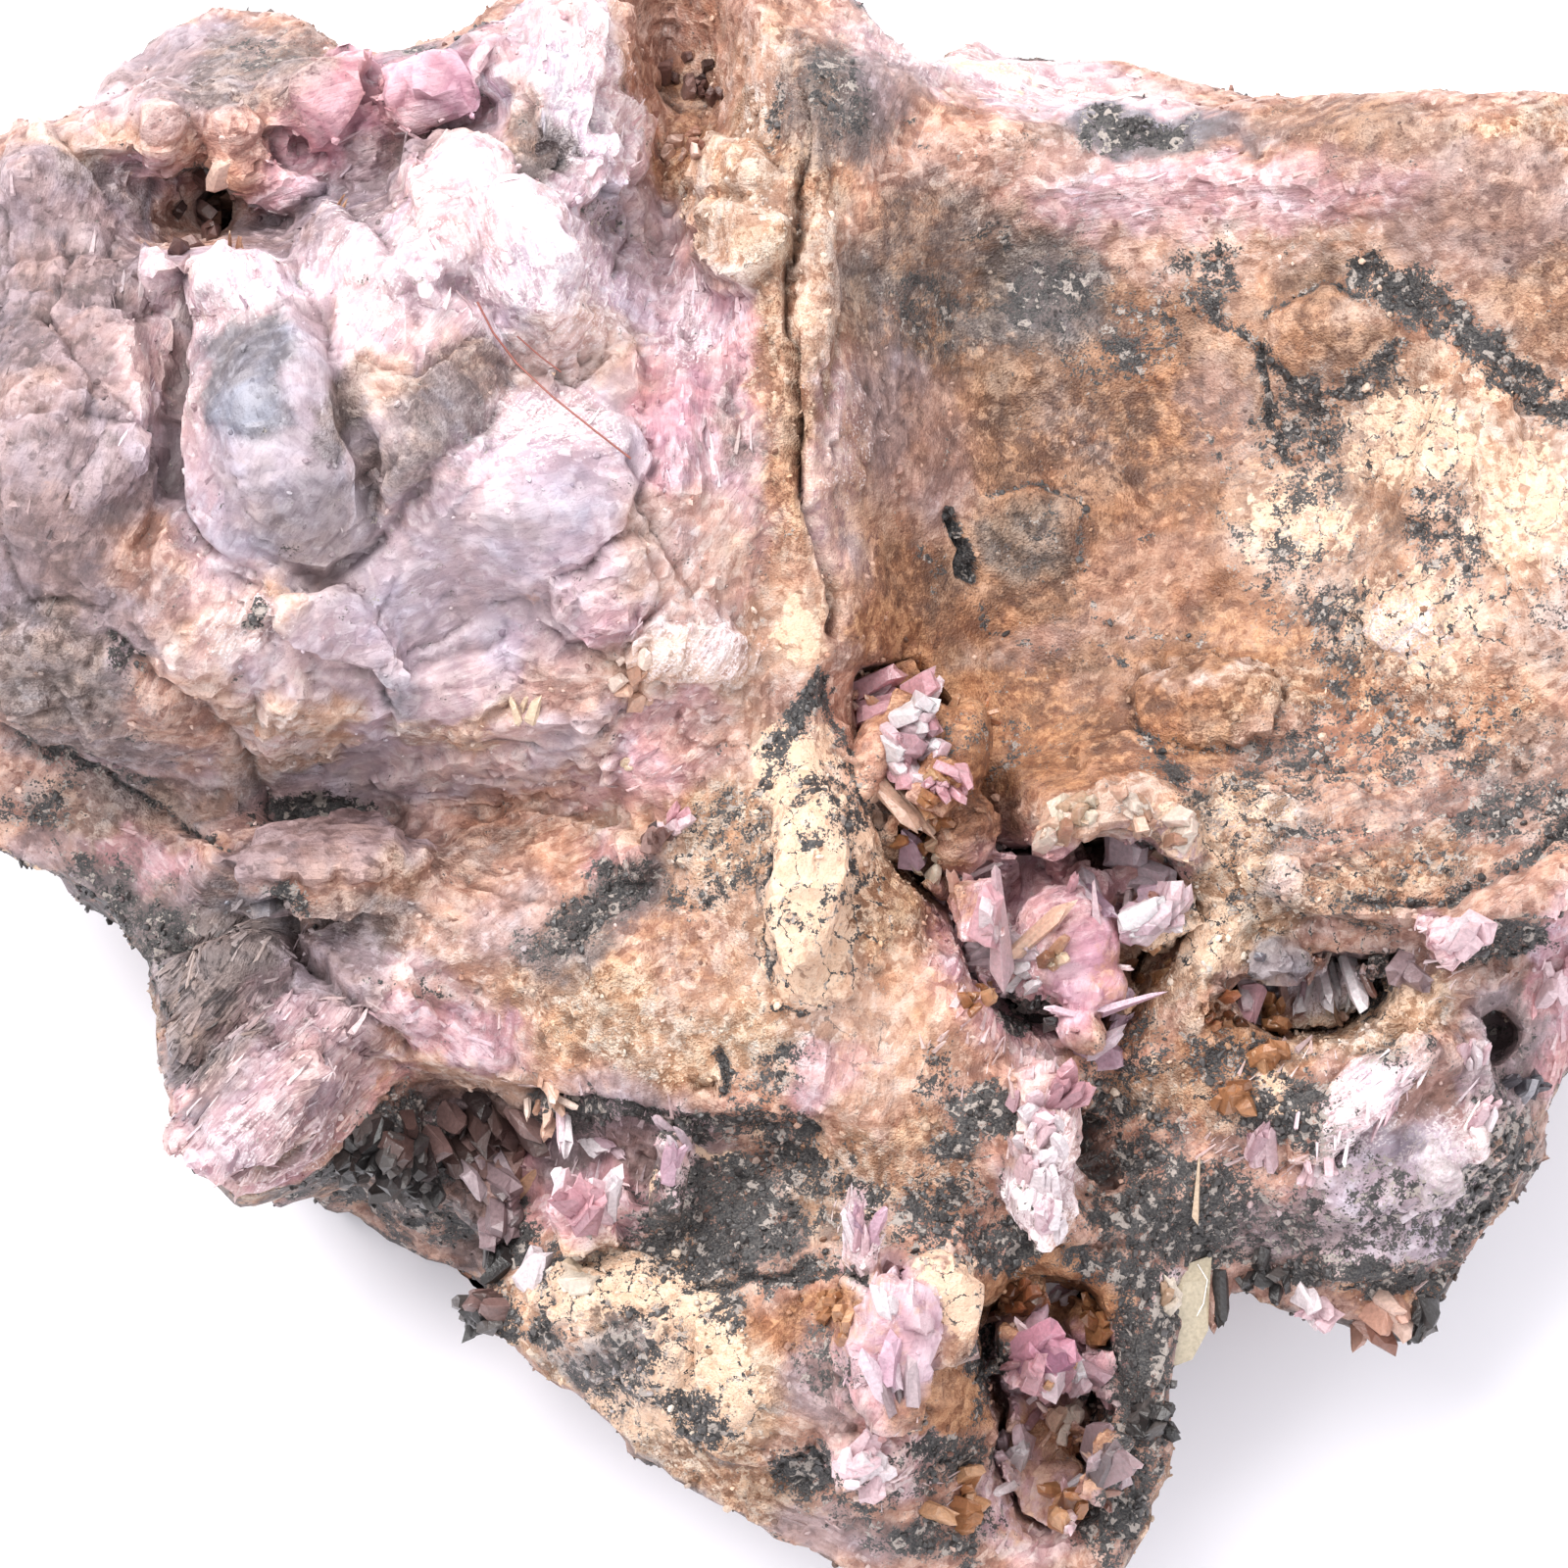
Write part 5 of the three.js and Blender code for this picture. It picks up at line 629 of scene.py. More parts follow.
# Plates and blocks that the face has broken into:
# height in mm, width of its rounded edge, rise across it in mm, direction in which it rises, corners
PLATES = [
    # the far left of the lobe
    (0.2, 11, 1.0, 60, [(0, 120), (48, 132), (88, 176), (120, 240), (60, 262), (0, 270)]),
    (-0.3, 4, 0.5, 200, [(64, 256), (120, 248), (140, 272), (136, 320), (64, 326)]),
    (0.3, 6, 1.2, 20, [
        (60, 330), (140, 318), (150, 262), (188, 276), (192, 336), (172, 416), (160, 444), (110, 400),
    ]),
    (0.2, 8, 0.9, 10, [(0, 290), (56, 300), (60, 340), (104, 400), (96, 436), (40, 440), (0, 430)]),
    (0.4, 13, 0.9, 60, [
        (16, 448), (80, 424), (136, 428), (172, 456), (172, 512), (152, 560), (120, 624), (48, 624),
        (16, 560),
    ]),
    (0.3, 9, 0.9, 110, [(0, 640), (60, 630), (100, 660), (96, 720), (40, 735), (0, 730)]),
    # the second lobe
    (0.7, 19, 0.8, 110, [
        (192, 288), (240, 268), (296, 280), (322, 336), (350, 400), (384, 480), (394, 544), (352, 592),
        (288, 602), (224, 568), (196, 512), (206, 416), (196, 344),
    ]),
    (-0.12, 12, 0.4, 250, [(232, 344), (300, 338), (318, 400), (300, 448), (240, 440), (226, 400)]),
    (0.3, 8, 0.5, 300, [(262, 490), (330, 470), (384, 484), (386, 560), (330, 590), (270, 560)]),
    # the bright blocks
    (0.4, 9, 1.1, 75, [
        (296, 256), (344, 220), (400, 264), (430, 320), (440, 392), (400, 384), (350, 356), (322, 320),
    ]),
    (0.5, 10, 1.3, 80, [
        (416, 184), (456, 144), (512, 160), (552, 200), (592, 256), (616, 336), (624, 376), (590, 400),
        (540, 388), (505, 330), (460, 290), (430, 240),
    ]),
    (0.35, 7, 0.8, 100, [(440, 300), (500, 330), (520, 384), (470, 400), (440, 372)]),
    (0.3, 7, 1.0, 30, [(356, 392), (400, 392), (448, 400), (440, 440), (400, 500), (372, 470), (350, 430)]),
    (0.35, 4, 1.2, 140, [
        (448, 398), (490, 362), (528, 384), (520, 432), (480, 480), (448, 512), (410, 545), (400, 510),
        (430, 450),
    ]),
    (0.3, 8, 1.1, 60, [
        (420, 560), (512, 472), (590, 430), (650, 440), (664, 480), (640, 544), (592, 592), (512, 624),
        (416, 676), (392, 640),
    ]),
    (0.3, 6, 0.6, 30, [(560, 312), (620, 330), (656, 380), (664, 440), (630, 440), (590, 410), (560, 360)]),
    (0.5, 4, 0.9, 110, [(576, 624), (624, 560), (680, 552), (706, 608), (682, 664), (624, 664)]),
    (0.35, 4, 0.9, 100, [(570, 600), (600, 590), (640, 610), (660, 650), (610, 668), (576, 645)]),
    (0.4, 6, 0.9, 120, [(640, 664), (700, 640), (760, 650), (770, 700), (720, 724), (660, 712)]),
    # the slope under them
    (0.3, 7, 1.0, 130, [
        (192, 516), (232, 576), (280, 630), (292, 672), (264, 720), (230, 730), (190, 690), (150, 630),
    ]),
    (0.3, 6, 0.8, 130, [(266, 720), (300, 690), (340, 700), (350, 760), (320, 800), (270, 790)]),
    (0.25, 7, 0.7, 100, [(290, 610), (360, 600), (410, 640), (400, 690), (340, 690), (300, 660)]),
    (0.25, 4, 0.6, 105, [
        (400, 690), (520, 660), (640, 680), (690, 720), (600, 740), (480, 760), (410, 740),
    ]),
    (0.2, 4, 0.5, 105, [
        (380, 790), (480, 765), (600, 745), (690, 735), (640, 780), (520, 800), (420, 826),
    ]),
    (0.35, 6, 0.8, 150, [(70, 690), (130, 660), (180, 720), (230, 790), (200, 830), (140, 800), (90, 760)]),
    (0.5, 8, 0.7, 95, [(236, 892), (262, 862), (340, 848), (390, 850), (420, 880), (380, 902), (290, 906)]),
    (0.3, 6, 0.8, 60, [(460, 850), (540, 830), (650, 850), (660, 900), (560, 920), (480, 900)]),
    (0.3, 4, 1.0, 200, [(300, 960), (360, 930), (420, 960), (400, 1010), (340, 1000)]),
    # the tongue
    (0.35, 7, 1.0, 135, [
        (168, 1000), (230, 960), (285, 955), (340, 1010), (300, 1060), (240, 1080), (180, 1080),
    ]),
    (0.3, 6, 0.8, 225, [
        (190, 1110), (250, 1040), (300, 1010), (400, 1080), (420, 1100), (380, 1150), (330, 1190),
        (240, 1210), (180, 1160),
    ]),
    (0.2, 4, 0.5, 300, [(210, 1130), (300, 1060), (360, 1100), (330, 1170), (250, 1190)]),
    (0.35, 7, 0.7, 60, [(340, 1060), (420, 1010), (500, 1060), (540, 1100), (470, 1110), (400, 1090)]),
    # the band and the column at the back
    (1.0, 14, 0.3, 20, [
        (385, 88), (430, 62), (500, 48), (540, 60), (532, 92), (480, 112), (420, 128), (395, 120),
    ]),
    (0.9, 19, 0.4, 90, [
        (286, 96), (300, 70), (350, 52), (385, 70), (372, 112), (356, 150), (316, 150), (292, 120),
    ]),
    (0.7, 14, 0.4, 60, [(130, 150), (145, 105), (185, 110), (180, 165), (150, 180)]),
    (0.5, 11, 0.5, 20, [
        (186, 110), (240, 100), (290, 160), (330, 190), (290, 215), (230, 190), (200, 160),
    ]),
    (-0.5, 8, 0.4, 60, [(530, 112), (560, 96), (606, 110), (620, 150), (606, 186), (570, 190), (536, 160)]),
    (0.5, 8, 0.4, 90, [
        (560, 200), (600, 200), (632, 176), (640, 130), (630, 90), (656, 110), (660, 160), (640, 205),
        (600, 224),
    ]),
    (0.5, 6, 0.5, 90, [(540, 100), (556, 20), (590, -10), (640, 0), (640, 70), (600, 96)]),
    (0.4, 9, 1.0, 90, [(400, 180), (440, 150), (456, 190), (430, 240), (400, 240)]),
    (0.7, 9, 0.4, 60, [(712, 188), (740, 148), (775, 146), (794, 178), (780, 206), (735, 216)]),
    (0.7, 10, 0.4, 60, [
        (706, 244), (738, 214), (790, 220), (814, 252), (800, 290), (762, 302), (716, 280),
    ]),
    # the bowl
    (0.3, 6, 0.4, 90, [
        (1160, 740), (1165, 700), (1195, 670), (1250, 662), (1310, 684), (1342, 716), (1330, 744),
        (1290, 758), (1220, 762),
    ]),
    (0.35, 14, 0.4, 90, [
        (1296, 312), (1350, 292), (1410, 302), (1445, 336), (1425, 376), (1370, 396), (1320, 384),
        (1290, 350),
    ]),
    (0.25, 4, 0.6, 150, [(1500, 440), (1560, 420), (1620, 440), (1620, 640), (1560, 640), (1510, 560)]),
    (0.2, 4, 0.3, 100, [(1004, 500), (1060, 490), (1100, 520), (1104, 580), (1060, 600), (1010, 590)]),
    (0.2, 4, 0.4, 130, [(1100, 760), (1160, 740), (1210, 780), (1190, 830), (1120, 820)]),
    (0.35, 6, 0.5, 100, [(1230, 800), (1300, 800), (1330, 840), (1290, 870), (1230, 860)]),
    (0.35, 6, 0.5, 100, [(1340, 800), (1400, 790), (1450, 820), (1420, 850), (1350, 846)]),
    (0.3, 6, 0.5, 80, [(1250, 880), (1310, 870), (1360, 900), (1350, 940), (1280, 940)]),
    # the shelf, the lower lobe and the right lobe
    (0.35, 4, 0.8, 95, [
        (880, 1420), (876, 1350), (904, 1288), (928, 1330), (946, 1400), (940, 1450), (900, 1450),
    ]),
    (0.4, 4, 0.6, 100, [(916, 1290), (950, 1272), (986, 1296), (988, 1370), (950, 1384), (922, 1340)]),
    (0.3, 4, 0.6, 160, [(716, 1340), (760, 1320), (808, 1360), (800, 1440), (770, 1490), (722, 1470)]),
    (0.25, 4, 0.5, 110, [(560, 1300), (640, 1270), (700, 1290), (690, 1330), (600, 1350)]),
    (0.25, 4, 0.5, 70, [(580, 1360), (660, 1345), (710, 1370), (700, 1440), (620, 1430)]),
    (0.5, 11, 0.5, 45, [
        (1306, 1196), (1300, 1150), (1376, 1080), (1440, 1046), (1466, 1070), (1404, 1130), (1350, 1186),
    ]),
    (0.5, 4, 0.3, 90, [(1486, 1030), (1502, 1040), (1516, 1110), (1512, 1176), (1494, 1180), (1490, 1100)]),
    (0.3, 4, 0.5, 60, [(1400, 1190), (1460, 1160), (1490, 1210), (1450, 1270), (1390, 1250)]),
    (0.25, 4, 0.5, 100, [(600, 960), (660, 920), (730, 930), (740, 1000), (680, 1040), (610, 1020)]),
    (0.2, 4, 0.5, 60, [(740, 1060), (790, 1040), (850, 1060), (840, 1110), (770, 1120)]),
]

# Crystals in and around the hollows, in groups:
# stuff, x, y, spread, how many, length and width in mm, direction on the drawing, how far they face the eye
PINK_CRYSTALS = [
    ("pale_pink", 1026, 950, 0, 1, 4.3, 0.95, 97, 28), ("rose", 1000, 940, 4, 2, 2.4, 1.5, 106, 40),
    ("peach", 1036, 962, 0, 1, 2.8, 0.85, 43, 22), ("white_pink", 1004, 978, 8, 4, 2.2, 1.1, 30, 35),
    ("white_pink", 1030, 966, 10, 4, 1.6, 0.9, 10, 40), ("pale_pink", 1008, 1013, 0, 1, 1.9, 0.4, 12, 15),
    ("pale_pink", 1112, 940, 0, 1, 1.9, 0.5, 86, 20), ("pink_mass", 1108, 905, 6, 3, 2.2, 0.8, -60, 40),
    ("white_pink", 1160, 940, 10, 4, 2.0, 1.3, 24, 35), ("pale_pink", 1186, 930, 14, 5, 1.9, 1.3, 40, 45),
    ("pink_mass", 1135, 1024, 0, 1, 2.6, 0.6, 17, 15), ("pink_mass", 1110, 1072, 3, 2, 1.7, 1.1, -25, 30),
    ("pink_mass", 925, 868, 2, 2, 1.2, 1.1, 95, 45), ("white_pink", 925, 832, 0, 1, 0.9, 0.3, 65, 20),
    ("rose", 896, 712, 12, 5, 2.6, 1.4, 25, 30), ("rose", 936, 712, 14, 7, 1.7, 1.1, 40, 45),
    ("pale_pink", 930, 748, 24, 14, 1.6, 1.1, 0, 55), ("rose", 918, 772, 16, 7, 1.5, 1.0, -40, 45),
    ("rose", 962, 800, 14, 8, 1.2, 0.8, -60, 45), ("peach", 898, 806, 3, 2, 2.2, 0.9, -72, 25),
    ("orange", 948, 808, 16, 9, 1.0, 0.7, -30, 50), ("orange", 940, 850, 22, 10, 0.8, 0.6, 40, 55),
    ("sand", 946, 880, 14, 8, 0.8, 0.6, 40, 55), ("tan", 1073, 977, 8, 6, 1.0, 0.7, 20, 50),
    ("peach", 1070, 850, 8, 5, 1.3, 0.9, 30, 40), ("sand", 1096, 828, 14, 7, 1.3, 0.9, 10, 45),
    ("peach", 1150, 822, 20, 9, 1.3, 1.0, -10, 50), ("peach", 1194, 850, 14, 7, 1.2, 1.0, 60, 50),
    ("pink_mass", 1160, 890, 22, 9, 1.5, 1.1, 20, 40), ("orange", 1172, 990, 20, 9, 0.9, 0.7, 30, 50),
    ("orange", 992, 1020, 10, 8, 0.8, 0.6, 60, 50), ("pale_pink", 1030, 1000, 14, 8, 1.0, 0.6, 30, 45),
    ("charcoal", 1052, 1036, 14, 16, 0.7, 0.6, 60, 60), ("pink_mass", 1140, 1048, 8, 4, 1.3, 0.6, 70, 30),
]
VUG_CRYSTALS = [
    ("deep_rose", 1050, 1372, 20, 7, 2.2, 1.5, 10, 40), ("rose", 1064, 1404, 18, 7, 1.8, 1.2, 60, 50),
    ("orange", 1064, 1396, 8, 5, 1.4, 1.0, 70, 55), ("pale_pink", 1098, 1408, 12, 8, 1.3, 1.0, 60, 55),
    ("pale_pink", 1080, 1330, 10, 6, 1.2, 0.9, 30, 50), ("orange", 1114, 1352, 16, 9, 1.2, 0.9, 80, 50),
    ("peach", 1088, 1452, 12, 8, 1.2, 0.9, 80, 50), ("rust", 1050, 1318, 18, 8, 1.2, 0.9, 40, 50),
    ("mauve", 1122, 1490, 14, 6, 2.2, 1.2, 60, 40), ("rust", 1088, 1480, 8, 6, 1.0, 0.7, 90, 50),
    ("pale_pink", 1030, 1482, 12, 8, 1.3, 0.9, 110, 50), ("orange", 1084, 1530, 16, 10, 1.1, 0.8, 80, 50),
]
PIT_CRYSTALS = [
    ("white_pink", 1348, 992, 0, 1, 2.3, 0.8, -82, 48), ("white_pink", 1370, 988, 0, 1, 2.1, 0.9, -76, 48),
    ("pale_pink", 1334, 1000, 3, 2, 1.4, 0.5, -96, 20), ("pale_pink", 1358, 1000, 5, 3, 1.3, 0.45, -80, 25),
    ("rose", 1276, 1024, 4, 3, 1.8, 1.2, -80, 30), ("rust", 1240, 1044, 18, 10, 0.8, 0.6, 60, 60),
    ("orange", 1306, 1040, 16, 8, 1.0, 0.8, 80, 55), ("slate", 1302, 982, 14, 5, 0.9, 0.8, 80, 70),
]
RIM_CRYSTALS = [
    # the hollow under the tongue
    ("charcoal", 372, 1176, 20, 14, 1.2, 1.1, -125, 35),
    ("charcoal", 406, 1188, 24, 20, 1.3, 1.1, -100, 35), ("umber", 420, 1164, 20, 8, 1.6, 1.2, -60, 50),
    ("charcoal", 430, 1214, 12, 10, 1.2, 0.8, -90, 20), ("umber", 470, 1160, 26, 12, 1.9, 1.3, -40, 45),
    ("umber", 510, 1150, 26, 12, 1.9, 1.3, -60, 50), ("dark_red", 500, 1180, 26, 8, 1.6, 1.1, -60, 40),
    ("mauve", 505, 1200, 24, 8, 2.0, 1.4, -50, 45), ("mauve", 520, 1250, 12, 6, 1.6, 1.2, -70, 40),
    ("tan", 522, 1228, 0, 1, 2.9, 0.55, 45, 20), ("charcoal", 508, 1290, 12, 9, 1.4, 0.9, -80, 30),
    ("umber", 500, 1332, 10, 7, 1.4, 0.9, 170, 45), ("charcoal", 492, 1350, 10, 8, 1.2, 1.0, 200, 30),
    # the recess beside it
    ("rose", 592, 1232, 14, 7, 2.0, 1.2, 90, 45), ("pale_pink", 590, 1216, 16, 8, 1.4, 0.9, 70, 40),
    ("pale_pink", 620, 1216, 12, 6, 1.6, 0.8, 120, 40), ("white_pink", 606, 1164, 12, 5, 1.1, 0.5, -20, 35),
    ("pink_mass", 686, 1186, 5, 4, 1.6, 0.7, 84, 28), ("lilac", 692, 1162, 6, 3, 1.2, 0.5, 110, 30),
    ("cream", 580, 1300, 10, 4, 1.2, 0.9, 20, 45), ("pale_pink", 538, 1300, 5, 3, 1.8, 1.0, 80, 50),
    ("peach", 560, 1122, 20, 9, 1.1, 0.6, -70, 30), ("white_pink", 576, 1134, 3, 2, 1.3, 0.5, -85, 20),
    # the lower lobe
    ("white_pink", 904, 1318, 2, 2, 1.2, 0.7, 88, 25), ("pink_mass", 900, 1390, 8, 4, 1.8, 0.9, 84, 18),
    ("mauve", 918, 1404, 8, 3, 1.7, 0.8, 92, 18), ("pale_pink", 880, 1478, 22, 12, 1.5, 1.0, 30, 50),
    ("pale_pink", 874, 1258, 6, 5, 1.3, 0.4, 84, 16), ("pink_mass", 884, 1246, 8, 5, 1.3, 0.5, 94, 20),
    ("orange", 850, 1332, 24, 12, 0.9, 0.7, 60, 55), ("orange", 980, 1520, 20, 9, 1.2, 0.9, 20, 50),
    ("charcoal", 1176, 1440, 20, 16, 1.0, 0.8, 0, 30),
    # the pink column under the cavity
    ("pale_pink", 1050, 1130, 20, 12, 1.0, 0.7, 90, 50),
    ("pale_pink", 1060, 1190, 16, 10, 1.2, 0.7, 84, 40),
    ("white_pink", 1062, 1240, 12, 8, 1.3, 0.6, 84, 30), ("rose", 1080, 1110, 10, 6, 1.3, 0.8, 60, 45),
    # the right lobe
    ("white_pink", 1424, 1080, 18, 5, 0.8, 0.22, -120, 12),
    ("pale_pink", 1396, 1110, 22, 6, 0.8, 0.2, -110, 12),
    ("white_pink", 1350, 1160, 24, 7, 0.8, 0.22, -100, 12),
    ("pale_pink", 1400, 1134, 26, 6, 0.8, 0.2, -110, 12),
    ("pale_pink", 1340, 1190, 16, 6, 0.8, 0.4, -90, 20), ("lilac", 1440, 1240, 30, 7, 0.7, 0.4, 70, 15),
    ("pale_pink", 1474, 956, 10, 7, 1.4, 1.1, 60, 50), ("mauve", 1430, 978, 6, 4, 1.5, 1.1, -60, 45),
    ("pale_pink", 1498, 1074, 3, 7, 1.2, 0.5, 86, 50), ("pale_pink", 1502, 1140, 6, 7, 1.2, 0.5, 70, 50),
    ("rose", 1590, 1000, 16, 9, 1.6, 1.0, 80, 45), ("slate", 1550, 1110, 16, 9, 1.1, 0.7, 60, 50),
    ("cream", 1214, 1232, 0, 1, 2.9, 0.45, 92, 20), ("pale_pink", 1278, 1180, 8, 7, 1.5, 0.6, 80, 35),
    ("orange", 1250, 1120, 10, 6, 1.1, 0.9, 20, 50), ("orange", 1288, 1076, 8, 6, 1.2, 0.9, 80, 50),
    ("charcoal", 1250, 1306, 0, 1, 1.9, 0.8, -92, 5), ("charcoal", 1290, 1300, 22, 12, 0.9, 0.7, -90, 30),
    ("pale_pink", 1346, 1336, 14, 7, 1.3, 1.0, -80, 30), ("salmon", 1410, 1344, 16, 7, 1.5, 1.1, -60, 30),
    ("charcoal", 1456, 1346, 10, 7, 1.2, 0.9, -90, 20), ("waxy", 1212, 1318, 0, 1, 3.6, 1.7, -104, 5),
    ("waxy", 1220, 1316, 0, 1, 2.6, 1.2, -84, 5), ("cream", 1190, 1322, 10, 6, 1.0, 0.7, 100, 40),
    # the back and the bright blocks
    ("tan", 245, 254, 5, 6, 0.6, 0.14, 100, 40), ("tan", 352, 212, 5, 5, 0.6, 0.14, 60, 40),
    ("cream", 634, 778, 2, 3, 0.6, 0.5, 20, 50), ("cream", 540, 728, 4, 3, 1.0, 0.5, 70, 25),
    ("dark_red", 200, 214, 30, 12, 1.3, 1.1, 80, 70), ("salmon", 215, 176, 26, 7, 1.2, 1.1, 60, 60),
    ("dark_red", 700, 60, 22, 12, 1.0, 0.8, 60, 60), ("salmon", 706, 140, 18, 8, 0.9, 0.7, 60, 60),
    ("dark_red", 672, 860, 12, 9, 1.0, 0.7, 60, 50), ("rose", 690, 840, 14, 8, 1.0, 0.6, 20, 45),
    ("peach", 640, 690, 30, 8, 0.9, 0.7, 60, 50),
]

# Lumps that have grown together with what they stand on:
# shape, x, y, rise over the surface, length, width and height in mm, turn in degrees
CAVITY_LUMPS = (
    ("block", 900, 706, 0.3, 3.4, 1.6, 2.6, 25), ("block", 932, 748, 0.4, 2.6, 2.9, 2.6, -20),
    ("block", 956, 800, 0.0, 1.8, 2.2, 2.0, -30), ("ball", 925, 868, 0.1, 1.1, 1.2, 1.4, 0),
    ("block", 994, 926, 0.3, 1.7, 2.3, 2.2, 10), ("block", 1026, 968, 0.3, 3.2, 1.3, 2.0, 20),
    ("ball", 1086, 958, 0.1, 4.4, 4.8, 3.2, 20), ("ball", 1106, 1000, 0.1, 3.4, 2.6, 2.8, -20),
    ("ball", 1060, 1000, -0.1, 3.0, 2.4, 2.4, 0), ("ball", 1098, 1050, 0.2, 2.3, 1.7, 2.2, -30),
    ("ball", 974, 780, 0.0, 2.6, 5.6, 5.0, -20), ("ball", 984, 850, 0.0, 2.6, 3.4, 4.0, -20),
    ("ball", 888, 780, 0.0, 2.0, 4.4, 4.4, -15), ("ball", 908, 840, 0.0, 2.2, 3.4, 4.0, -15),
    ("ball", 1158, 890, -0.2, 3.4, 2.6, 2.4, 10), ("block", 1184, 934, 0.5, 2.6, 1.9, 2.2, 25),
    ("ball", 1110, 910, -0.1, 2.2, 2.6, 2.2, 0),
)
VUG_LUMPS = (
    ("block", 1048, 1384, 0.2, 3.0, 2.2, 2.2, -20), ("ball", 1098, 1408, 0.2, 1.6, 1.5, 1.6, 0),
    ("block", 1124, 1404, 0.0, 1.3, 2.2, 1.6, 10), ("block", 1086, 1456, 0.3, 1.3, 1.8, 1.6, 20),
    ("block", 1124, 1490, 0.0, 1.4, 3.0, 1.8, -25), ("ball", 1110, 1350, 0.1, 1.8, 1.8, 1.6, 0),
    ("ball", 1040, 1310, -0.1, 2.2, 1.8, 1.6, 0),
)
ROCK_LUMPS = (
    ("block", 1050, 1100, 0.1, 1.9, 1.7, 2.0, 20), ("block", 1060, 1146, 0.1, 2.2, 1.9, 2.0, -10),
    ("block", 1056, 1196, 0.1, 1.7, 2.4, 2.0, 5), ("block", 1062, 1240, 0.0, 1.5, 2.0, 1.8, 0),
    ("block", 1072, 856, 0.2, 1.7, 1.4, 2.0, 30), ("block", 1096, 832, 0.2, 1.9, 1.3, 2.0, 25),
    ("block", 1134, 820, 0.2, 2.1, 1.3, 2.0, -5), ("block", 1172, 826, 0.2, 1.9, 1.4, 2.0, -25),
    ("block", 1198, 854, 0.2, 1.4, 1.9, 2.0, -10), ("ball", 1302, 984, 0.1, 2.2, 1.9, 1.8, 0),
    ("block", 1474, 954, -0.5, 1.7, 1.6, 1.8, 30), ("block", 596, 1240, 0.2, 2.4, 2.6, 2.2, 20),
    ("block", 684, 1192, 0.1, 1.4, 3.4, 2.0, -8), ("block", 908, 1372, -0.4, 2.4, 5.2, 1.8, 4),
    ("block", 964, 1326, -0.4, 1.9, 3.8, 1.6, 8), ("block", 884, 1478, 0.2, 3.0, 2.0, 2.0, 10),
    ("block", 664, 872, 0.0, 1.3, 1.4, 1.8, 20), ("block", 686, 850, 0.0, 1.0, 1.2, 1.6, -30),
    ("block", 876, 1262, 0.1, 1.4, 3.2, 1.6, -6),
)


CHARCOAL = [row[1:] for row in PATCHES if row[0] == "charcoal"]
CREAM = [row[1:] for row in PATCHES if row[0] == "cream"]
THIN_STUFFS = {"cream": 0.35, "charcoal": 0.35}  # drawn by the crusts instead, so weaker in the stuffs

# What the walls are mixed from: stuff, size of its patches in mm, level above which it shows, seed
WALL_LAYERS = (
    ("charcoal", 4.5, 0.02, 31), ("salmon", 5.0, 0.12, 47), ("tan", 3.6, 0.14, 59), ("mauve", 4.2, 0.16, 71),
    ("cream", 2.6, 0.34, 83),
)

# Chips of slightly other colours: size in mm, seed, depth
CHIPS = ((0.55, 401, 0.3), (1.9, 421, 0.2))


def fade(value: np.ndarray, low: float, high: float) -> np.ndarray:
    """Rises smoothly from 0 where value is low to 1 where it is high."""
    share = np.clip((value - low) / (high - low), 0, 1)
    return share * share * (3 - 2 * share)


def lattice(cell: np.ndarray, seed: int) -> np.ndarray:
    """Gives each lattice cell a number from 0 to 1.

    Args:
        cell: whole cell numbers, one row of three for each point.
        seed: which set of numbers to use.

    Returns:
        One number for each row.
    """
    mixed = cell[:, 0] * 374761393 + cell[:, 1] * 668265263 + cell[:, 2] * 974634777 + seed * 144269504
    mixed = (mixed ^ (mixed >> 13)) * 1274126177
    mixed = (mixed ^ (mixed >> 16)) * 668265263
    return ((mixed >> 8) & 0xFFFFFF) / 0xFFFFFF


def smooth_noise(points: np.ndarray, seed: int) -> np.ndarray:
    """Gives smooth noise from 0 to 1 with lumps one unit apart.

    Args:
        points: one row of three for each point.
        seed: which noise to use.

    Returns:
        One number for each point.
    """
    base = np.floor(points).astype(np.int64)
    part = points - base
    ease = part * part * (3 - 2 * part)
    total = np.zeros(len(points))
    for corner in range(8):
        step = np.array([corner & 1, (corner >> 1) & 1, (corner >> 2) & 1])
        total += np.prod(np.where(step, ease, 1 - ease), axis=1) * lattice(base + step, seed)
    return total


def rough_noise(points: np.ndarray, octaves: int, seed: int) -> np.ndarray:
    """Gives noise from -1 to 1 with finer lumps on the coarse ones.

    Args:
        points: one row of three for each point.
        octaves: how many sizes of lump there are.
        seed: which noise to use.

    Returns:
        One number for each point.
    """
    shares = 0.5 ** np.arange(octaves)
    layers = [share * smooth_noise(points * 2.03**k + 17.3 * k, seed + k) for k, share in enumerate(shares)]
    return 2 * sum(layers) / shares.sum() - 1


